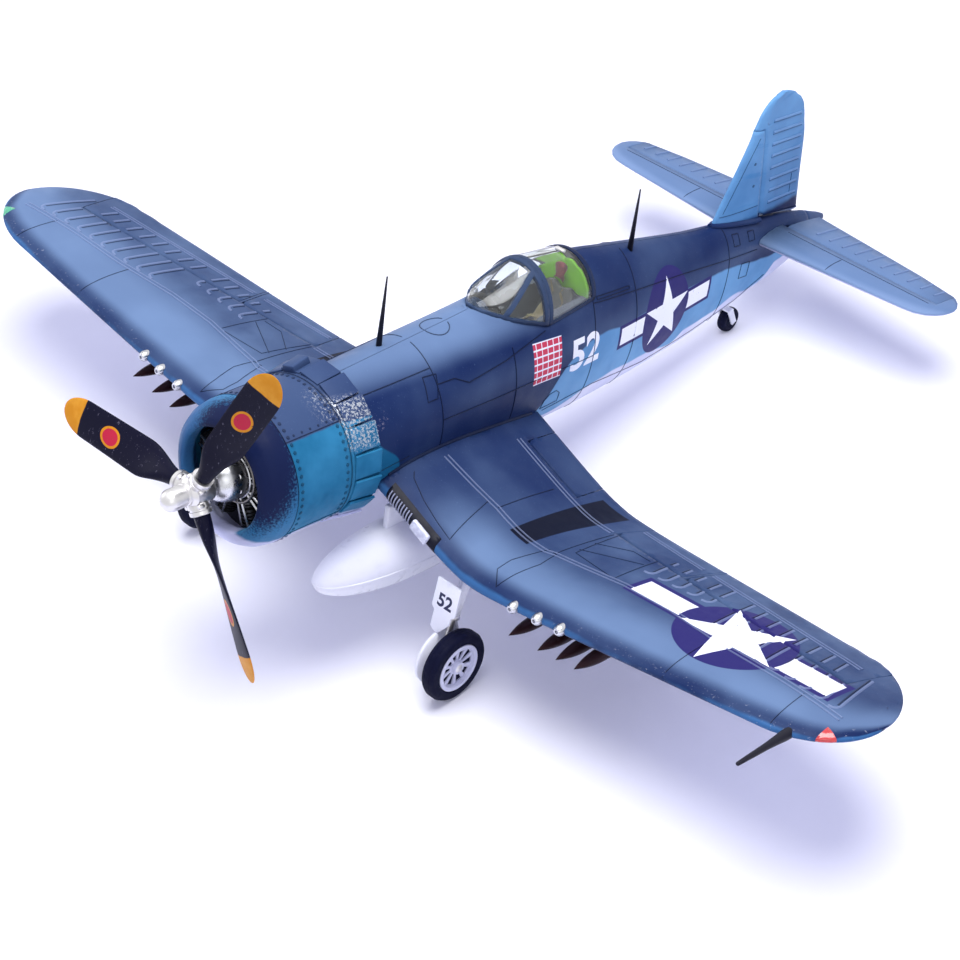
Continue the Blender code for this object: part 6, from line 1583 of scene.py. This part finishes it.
class BuildStores(bpy.types.Operator):
    """Drop tank and rockets."""
    bl_idname = "model_plane.stores"
    bl_label = "Stores"

    TANK, TANK_LENGTH, TANK_RADIUS, FULLEST = (40.0, 82.0, -64.5), 183.0, 19.3, 0.4
    ROCKETS = {"left": (141.0, 162.0, 175.0, 188.0), "right": (126.5, 143.5, 160.0, 178.0)}
    TIP, DROP, RADIUS, NOSE = 131.5, 17.0, 4.02, 22.0
    BODY = ((1.0, 24.0), (0.9, 24.4), (0.9, 25.6), (1.0, 26.0), (1.0, 70.0), (0.92, 70.6), (0.92, 73.0),
            (0.6, 91.9), (0.45, 91.9), (0.4, 90.5), (0.0, 90.5))

    def tank_radius(self, u):
        if u < self.FULLEST:
            return self.TANK_RADIUS * sqrt(max(1 - (1 - u / self.FULLEST) ** 2, 0.0))
        return self.TANK_RADIUS * (1 - ((u - self.FULLEST) / (1 - self.FULLEST)) ** 2.2)

    def execute(self, context):
        white = finish("tank_white", enamel, colours().white, (0.45, 0.46, 0.56), 0.35, 0.3, 22.0)
        x, y, z = self.TANK
        shares = [(1 - cos(pi * k / 44)) / 2 for k in range(45)]
        tank = lathe([(self.tank_radius(u), self.TANK_LENGTH * u) for u in shares],
                     forward_axis(x, z) @ Matrix.Translation((0, 0, y)))
        middle = y + self.FULLEST * self.TANK_LENGTH
        top = wing_heights(x, middle)[0] + 1.2
        add_box(tank, (4.0, 44.0, top - z - 10.0), Matrix.Translation((x, middle, (top + z + 10.0) / 2)), 1.2)
        piece("drop_tank_finish", tank, white, "airframe", ("drop_tank",))
        flange = []
        for way in (1, -1):
            flange.append([air(x + way * self.tank_radius(u), y + self.TANK_LENGTH * u, z) for u in shares])
        piece("drop_tank_flange", strands(flange, 0.55 * MM, 2), white, "airframe")
        maroon = finish("rocket_maroon", enamel, colours().rocket, (0.02, 0.004, 0.008), 0.6, 0.36, 10.0)
        nose = [(1 - (1 - t / 10) ** 2, self.NOSE * t / 10) for t in range(11)]
        body = [(self.RADIUS * share, d) for share, d in nose + list(self.BODY)]
        for side, word in SIDES:
            reskin(f"{word}_rocket_rack", maroon, smooth=40)
            rockets = bmesh.new()
            for x in self.ROCKETS[word]:
                middle = forward_axis(side * x, knee_height(x) - self.DROP)
                lathe(body, middle @ Matrix.Translation((0, 0, self.TIP)), 28, rockets)
            piece(f"{word}_rocket_bodies", rockets, maroon, "airframe")
        return {"FINISHED"}


class BuildUndercarriage(bpy.types.Operator):
    """Legs, doors, wheels and the tail wheel."""
    bl_idname = "model_plane.undercarriage"
    bl_label = "Undercarriage"

    LEG_X, LEG_TOP = 94.0, (148.0, -50.0)
    WHEEL_X, HALF, RIM = 104.5, 4.9, 15.0
    SLEEVE = ((2.2, 4.0), (2.35, 4.0), (2.35, 24.2), (2.2, 24.2))
    COLLAR = ((3.4, 24.2), (3.9, 24.4), (3.9, 26.6), (3.4, 26.8))
    HUB_SHADE_DISC = ((2.2, 1.6), (13.4, 1.6), (13.4, 0.4), (2.2, 0.4), (2.2, 1.6))
    HUB_RIM = ((13.3, 1.8), (13.3, 4.6), (13.6, 5.0), (14.5, 5.0), (14.85, 4.6), (14.85, 1.8), (13.3, 1.8))
    HUB_CAP = ((0.0, 5.6), (1.6, 5.5), (2.6, 4.9), (3.0, 4.2), (3.0, 2.0))
    TAIL_HUB = ((1.3, -2.6), (4.7, -2.4), (4.7, 2.4), (1.3, 2.6), (1.3, -2.6))

    def tyre(self, place, radius, half, seat, tread):
        """A rounded tyre with ridges round its tread."""
        profile = [(seat, -0.8 * half), (seat + 0.6, -0.97 * half)]
        for k in range(-8, 9):
            a = k * pi / 16
            profile.append((radius - 0.42 * (radius - seat) * (1 - cos(a) ** 0.7), half * sin(a) * 0.985))
        profile += [(seat + 0.6, 0.97 * half), (seat, 0.8 * half), (seat, -0.8 * half)]
        axis = side_axis(*place)
        bm = lathe(profile, axis)
        low, high = radius - 0.55, radius + 0.07
        for d in tread:
            lathe([(low, d - 0.5), (high, d - 0.28), (high, d + 0.28), (low, d + 0.5)], axis, None, bm)
        return bm

    def execute(self, context):
        white = finish("gear_white", enamel, colours().white, (0.42, 0.43, 0.55), 0.35, 0.36, 9.0)
        alloy = finish("wheel_alloy", enamel, (0.60, 0.61, 0.74), (0.25, 0.25, 0.36), 0.5, 0.34, 5.0)
        chrome = hub_chrome()
        rubber = finish("tyre_rubber", rubber_finish)
        for side, word in SIDES:
            reskin(f"{word}_gear_door", white, 0.35)
            reskin(f"{word}_gear_leg", white, 0.0, 50)
            foot = Vector((side * self.LEG_X, WHEEL_Y, WHEEL_Z))
            leg = facing(foot, Vector((side * self.LEG_X, *self.LEG_TOP)) - foot)
            oleo = lathe(self.SLEEVE, leg, 32)
            lathe(self.COLLAR, leg, 32, oleo)
            piece(f"{word}_oleo_sleeve", oleo, chrome, "airframe")
            place, body = (side * self.WHEEL_X, WHEEL_Y, WHEEL_Z), f"{word}_wheel"
            tyre = self.tyre(place, WHEEL_RADIUS - 0.12, self.HALF, self.RIM, (-1.6, 0.0, 1.6))
            piece(f"{word}_tyre_finish", tyre, rubber, body, (f"{word}_tyre",), 50)
            reskin(f"{word}_wheel_hub", alloy, 0.25)
            outward = side_axis(*place) if side > 0 else facing(place, (-1, 0, 0))
            piece(f"{word}_hub_rim", lathe(self.HUB_RIM, outward), alloy, body)
            # A dark rubber disc behind the spokes, a painted shade seen through their gaps
            piece(f"{word}_hub_shade", lathe(self.HUB_SHADE_DISC, outward, 48), rubber, body)
            piece(f"{word}_hub_cap", lathe(self.HUB_CAP, outward, 32), chrome, body)
        place = (0.0, TAIL_WHEEL_Y, TAIL_WHEEL_Z)
        bm = self.tyre(place, TAIL_WHEEL_RADIUS - 0.04, 3.0, 4.6, (0.0,))
        lathe(self.TAIL_HUB, side_axis(*place), 48, bm)
        piece("tail_wheel_finish", bm, rubber, "tail_wheel", ("tail_wheel",), 50)
        reskin("tail_wheel_fork", white, 0.25)
        return {"FINISHED"}


class BuildTail(bpy.types.Operator):
    """Fin, rudder, stabilizers and elevator with ribs and seams; masts."""
    bl_idname = "model_plane.tail"
    bl_label = "Tail"

    RUDDER_RIBS, FIRST_RIB, RIB_GAP = 8, 40.5, 8.6
    ELEVATOR_RIBS, ELEVATOR_FIRST, ELEVATOR_STEP = 10, 28.0, 10.6
    ELEVATOR_FRONT, ELEVATOR_BACK = 537.0, ((0.0, 566.0), (118.0, 553.5))
    DIMPLES = ((488.0, 58.0), (486.0, 74.0), (499.0, 47.0), (497.0, 90.0))
    FIN_LINES = (((462, 44), (474, 66), (487, 92)), ((456.5, 42), (496, 42)))
    TAB = ((520, 40), (534, 40), (533, 56), (520, 56))
    STABILIZER_LINES = (((16, 521), (128, 524)), ((60, 504), (60, 521)))

    def fairing(self, side):
        """The foot of the fin along one side of the fuselage's crown."""
        line = []
        for k in range(25):
            y = 453.5 + 2.0 * k
            u = min(max((y - 455.0) / 45.0, 0.0), 1.0)
            line.append(air(side * 4.5 * sqrt(1 - (1 - u) ** NOSE_POWER), y, station(y)[2] + 0.3))
        return line

    def execute(self, context):
        fin = finish("fin_paint", fin_paint)
        stab = finish("tailplane_paint", tailplane_paint)
        for node in ("vertical_fin", "rudder"):
            reskin(node, fin, 0.0, 46, fit_fin, 3.0 * MM)
        for node in ("left_stabilizer", "right_stabilizer", "elevator"):
            reskin(node, stab, 0.0, 46)
        rudder, post = surface_tree("rudder_finish"), surface_tree("vertical_fin_finish")
        lift = 0.02 * MM
        ribs, shades, lines, dimples = [], [], [], bmesh.new()
        for side, _ in SIDES:
            for k in range(self.RUDDER_RIBS):
                z = self.FIRST_RIB + self.RIB_GAP * k
                front = between(z, *RUDDER_HINGE) + 5.0
                line = [(front, z + 0.8), (smooth_row(RUDDER_ROUND, z)[0] - 4.0, z - 1.2)]
                ribs.append(flank_seam(rudder, line, side, -0.2 * MM))
                # A dark line under each rudder rib is a painted shadow
                shades.append(flank_seam(rudder, [(y, z - 1.35) for y, z in line], side, 0.04 * MM))
            lines += [flank_seam(post, line, side, lift) for line in self.FIN_LINES]
            # Dimples are low domes painted dark, a painted shade standing in for each hollow
            for y, z in self.DIMPLES:
                for place in drop(post, [(side * 60.0, y, z)], (-side, 0, 0)):
                    add_dome(dimples, place, heading(side, 0, 0), 1.3 * MM, 0.35)
        rib, seam = 0.95 * sizes().rib, 0.8 * sizes().seam
        # The rib paint is lighter, a painted highlight; the shade paint draws the painted shadows
        raised, dark = finish("fin_rib", fin_paint, 1.25), finish("fin_seam", fin_paint, 0.35)
        shaded, dimple_shade = finish("fin_shade", fin_paint, 0.6), finish("fin_dimple", fin_paint, 0.4)
        piece("rudder_ribs", strands(ribs, rib, 2), raised, "rudder")
        piece("rudder_rib_lines", strands(shades, 0.5 * MM, 1), shaded, "rudder")
        piece("fin_seams", strands(lines, seam, 1), dark, "airframe")
        piece("fin_dimples", dimples, dimple_shade, "airframe")
        tab = [flank_seam(rudder, self.TAB, side, lift) for side, _ in SIDES]
        piece("rudder_tab", strands(tab, 0.7 * sizes().seam, 1), dark, "rudder")
        flat = surface_tree("elevator_finish")
        # The elevator ribs are lighter too, a painted highlight
        raised = finish("tailplane_rib", tailplane_paint, 1.2)
        dark = finish("tailplane_seam", tailplane_paint, 0.3)
        ribs = []
        for side, word in SIDES:
            for k in range(self.ELEVATOR_RIBS):
                x = self.ELEVATOR_FIRST + self.ELEVATOR_STEP * k
                line = mirrored([(x, self.ELEVATOR_FRONT), (x, between(x, *self.ELEVATOR_BACK) - 3.0)], side)
                ribs += [plan_seam(flat, line, -0.2 * MM, below) for below in (False, True)]
            tree = surface_tree(f"{word}_stabilizer_finish")
            lines = [plan_seam(tree, mirrored(line, side), lift) for line in self.STABILIZER_LINES]
            piece(f"{word}_stabilizer_seams", strands(lines, seam, 1), dark, "airframe")
        piece("elevator_ribs", strands(ribs, rib, 2), raised, "elevator")
        fairing = strands([self.fairing(side) for side, _ in SIDES], 1.9 * MM, 3)
        piece("fin_fairing", fairing, finish("fuselage_paint", fuselage_paint), "airframe")
        for node in ("front_antenna_mast", "rear_antenna_mast"):
            reskin(node, mast_black(), 0.0, 60)
        dress(gun_steel(), "elevator_pushrod", "rudder_pushrod")
        dress(mast_black(), "tailplane_spar")
        return {"FINISHED"}


class BuildEquipment(bpy.types.Operator):
    """Battery, control board and servos inside the airframe."""
    bl_idname = "model_plane.equipment"
    bl_label = "Equipment"

    def execute(self, context):
        shell = finish("equipment_grey", enamel, (0.045, 0.05, 0.06), (0.12, 0.12, 0.14), 0.4, 0.45, 8.0)
        board = finish("board_green", enamel, (0.02, 0.20, 0.06), (0.01, 0.09, 0.03), 0.6, 0.4, 5.0)
        wrap = finish("battery_wrap", enamel, (0.03, 0.06, 0.22), (0.01, 0.02, 0.10), 0.5, 0.3, 18.0)
        dress(board, "control_board")
        dress(wrap, "battery")
        dress(shell, "tail_servos", "left_aileron_servo", "right_aileron_servo")
        return {"FINISHED"}


class BuildMarkings(bpy.types.Operator):
    """Plain numbers on the flanks and gear doors."""
    bl_idname = "model_plane.markings"
    bl_label = "Markings"

    FLANK_PLACE, FLANK_HEIGHT = (303.5, 9.0), 21.5
    DOOR_PLACE, DOOR_HEIGHT = (94.0, -65.0), 8.4

    def number(self, height):
        """The number as a flat mesh, centred, with that height in millimetres."""
        curve = bpy.data.curves.new("number", "FONT")
        curve.body = sizes().number
        curve.align_x, curve.align_y = "CENTER", "CENTER"
        curve.size = 1.0
        curve.offset = 0.028
        bm = curve_mesh(curve, 1e-5)
        ys = [v.co.y for v in bm.verts]
        low, high = min(ys), max(ys)
        grow = Matrix.Scale(height / (high - low), 4) @ Matrix.Translation((0, -(low + high) / 2, 0))
        bmesh.ops.transform(bm, matrix=grow, verts=bm.verts)
        return bm

    def lay(self, bm, tree, matrix, direction, lift):
        """Drops a flat figure on a surface and gives it a little thickness."""
        for _ in range(5):
            long = [e for e in bm.edges if e.calc_length() > 1.6]
            if not long:
                break
            bmesh.ops.subdivide_edges(bm, edges=long, cuts=1)
            bmesh.ops.triangulate(bm, faces=bm.faces)
        bmesh.ops.transform(bm, matrix=matrix, verts=bm.verts)
        lost = []
        for v in bm.verts:
            found = drop(tree, [v.co], direction, lift)
            if found:
                v.co = found[0]
            else:
                lost.append(v)
        bmesh.ops.delete(bm, geom=lost, context="VERTS")
        bmesh.ops.recalc_face_normals(bm, faces=bm.faces)
        if bm.faces and sum(f.normal.dot(heading(*direction)) for f in bm.faces) > 0:
            bmesh.ops.reverse_faces(bm, faces=bm.faces)
        bmesh.ops.solidify(bm, geom=bm.faces[:], thickness=0.12 * MM)
        bmesh.ops.recalc_face_normals(bm, faces=bm.faces)
        return bm

    def execute(self, context):
        pale = finish("number_white", enamel, colours().star, (0.40, 0.42, 0.52), 0.45, 0.4, 4.0)
        ink = finish("number_ink", enamel, (0.03, 0.035, 0.08), (0.1, 0.1, 0.16), 0.4, 0.45, 3.0)
        flank = surface_tree("fuselage_left_shell_finish", "fuselage_right_shell_finish")
        for side, word in SIDES:
            turn = Matrix(((0, 0, side, 0), (side, 0, 0, 0), (0, 1, 0, 0), (0, 0, 0, 1)))
            place = Matrix.Translation((side * 80.0, *self.FLANK_PLACE)) @ turn
            bm = self.lay(self.number(self.FLANK_HEIGHT), flank, place, (-side, 0, 0), 0.10 * MM)
            piece(f"{word}_flank_number", bm, pale, "airframe")
            door = surface_tree(f"{word}_gear_door_finish")
            turn = Matrix(((1, 0, 0, 0), (0, 0, -1, 0), (0, 1, 0, 0), (0, 0, 0, 1)))
            place = Matrix.Translation((side * self.DOOR_PLACE[0], 60.0, self.DOOR_PLACE[1])) @ turn
            bm = self.lay(self.number(self.DOOR_HEIGHT), door, place, (0, 1, 0), 0.06 * MM)
            piece(f"{word}_door_number", bm, ink, "airframe")
        return {"FINISHED"}


class BuildStage(bpy.types.Operator):
    """Floor, lights, background and camera."""
    bl_idname = "model_plane.stage"
    bl_label = "Stage"

    FLOOR_SIZE, KEY_SIZE, FILL_SIZE, CLEAR, MIDDLE_Y = 12.0, 1.1, 1.0, (480.0, 900.0), 290.0
    KEY_PLACE, FILLS = (0.05, -0.05, 1.3), (((-1.3, -0.6, 0.7), 1.0), ((1.2, -0.9, 0.9), 0.8))

    def lamp(self, name, place, power, size, target=(0.0, 0.0, 0.08)):
        light = bpy.data.lights.new(name, "AREA")
        light.shape, light.size, light.energy = "DISK", size, power
        obj = bpy.data.objects.new(name, light)
        towards = Vector(target) - Vector(place)
        obj.matrix_world = Matrix.Translation(place) @ towards.to_track_quat("-Z", "Y").to_matrix().to_4x4()
        bpy.context.scene.collection.objects.link(obj)

    def floor(self, stage):
        bm = bmesh.new()
        bmesh.ops.create_grid(bm, x_segments=8, y_segments=8, size=self.FLOOR_SIZE / 2)
        mesh = bpy.data.meshes.new("floor")
        bm.to_mesh(mesh)
        bm.free()
        g = Finish("floor_paper")
        grain = g.step(g.noise(14.0, 4.0), 0.3, 0.7)
        g.set(base_color=g.mix(grain, stage.floor, [0.992 * c for c in stage.floor]), roughness=0.75)
        g.put(0.15, g.shader.inputs["Specular IOR Level"])
        path = g.add("ShaderNodeLightPath").outputs
        rays = g.either(path["Is Camera Ray"], path["Is Glossy Ray"], path["Is Transmission Ray"])
        out = g.distance(g.x, g.calc("SUBTRACT", g.y, self.MIDDLE_Y))
        blend = g.add("ShaderNodeMixShader")
        g.put(g.both(rays, g.step(out, *self.CLEAR)), blend.inputs[0])
        g.put(g.shader.outputs[0], blend.inputs[1])
        g.put(g.add("ShaderNodeEmission").outputs[0], blend.inputs[2])
        g.put(blend.outputs[0], g.tree.nodes["Material Output"].inputs["Surface"])
        mesh.materials.append(g.material)
        obj = bpy.data.objects.new("floor", mesh)
        bpy.context.scene.collection.objects.link(obj)

    def world(self, scene, stage):
        world = bpy.data.worlds.new("studio")
        scene.world = world
        world.use_nodes = True
        tree = world.node_tree
        tree.nodes.clear()
        path = tree.nodes.new("ShaderNodeLightPath")
        rays = path.outputs["Is Camera Ray"]
        for other in ("Is Glossy Ray", "Is Transmission Ray"):
            seen = tree.nodes.new("ShaderNodeMath")
            seen.operation = "MAXIMUM"
            tree.links.new(rays, seen.inputs[0])
            tree.links.new(path.outputs[other], seen.inputs[1])
            rays = seen.outputs[0]
        ambient, white = (tree.nodes.new("ShaderNodeBackground") for _ in range(2))
        ambient.inputs["Color"].default_value = rgba(stage.ambient)
        white.inputs["Color"].default_value = (1.0, 1.0, 1.0, 1.0)
        mix = tree.nodes.new("ShaderNodeMixShader")
        tree.links.new(rays, mix.inputs[0])
        tree.links.new(ambient.outputs[0], mix.inputs[1])
        tree.links.new(white.outputs[0], mix.inputs[2])
        tree.links.new(mix.outputs[0], tree.nodes.new("ShaderNodeOutputWorld").inputs[0])

    def camera(self, scene, stage):
        data = bpy.data.cameras.new("photo")
        data.lens, data.sensor_width = stage.lens, 36.0
        data.shift_x, data.shift_y = stage.shift_x, stage.shift_y
        data.clip_start, data.clip_end = 0.05, 20.0
        camera = bpy.data.objects.new("photo", data)
        axes = Matrix([heading(*VIEW_RIGHT), heading(*VIEW_UP), heading(*VIEW_BACK)]).transposed()
        place = air(*(VIEW_TARGET + VIEW_BACK * VIEW_DISTANCE))
        camera.matrix_world = Matrix.Translation(place) @ axes.to_4x4()
        scene.collection.objects.link(camera)
        scene.camera = camera

    def execute(self, context):
        scene, stage = context.scene, context.scene.plane_stage
        scene.view_settings.view_transform = "Standard"
        self.floor(stage)
        self.world(scene, stage)
        self.lamp("key", self.KEY_PLACE, stage.key, self.KEY_SIZE)
        for k, (place, share) in enumerate(self.FILLS):
            self.lamp(f"fill_{k}", place, stage.fill * share, self.FILL_SIZE)
        self.camera(scene, stage)
        return {"FINISHED"}


STEPS = (BuildStage, BuildFuselage, BuildCowling, BuildEngine, BuildPropeller, BuildCanopy, BuildCockpit,
         BuildWings, BuildStores, BuildUndercarriage, BuildTail, BuildEquipment, BuildMarkings)


class PlanePanel(bpy.types.Panel):
    """Lists the steps that dress the plane."""
    bl_idname = "VIEW3D_PT_model_plane"
    bl_label = "Model Plane"
    bl_space_type = "VIEW_3D"
    bl_region_type = "UI"
    bl_category = "Model Plane"

    def draw(self, context):
        for step in STEPS:
            self.layout.operator(step.bl_idname)


GROUPS = (("plane_colours", PlaneColours), ("plane_sizes", PlaneSizes), ("plane_stage", PlaneStage))


def register():
    for name, group in GROUPS:
        bpy.utils.register_class(group)
        setattr(bpy.types.Scene, name, PointerProperty(type=group))
    for step in STEPS:
        bpy.utils.register_class(step)
    bpy.utils.register_class(PlanePanel)


def unregister():
    bpy.utils.unregister_class(PlanePanel)
    for step in reversed(STEPS):
        bpy.utils.unregister_class(step)
    for name, group in reversed(GROUPS):
        delattr(bpy.types.Scene, name)
        bpy.utils.unregister_class(group)


def main():
    register()
    for step in STEPS:
        group, name = step.bl_idname.split(".")
        getattr(getattr(bpy.ops, group), name)()


if __name__ == "__main__":
    main()
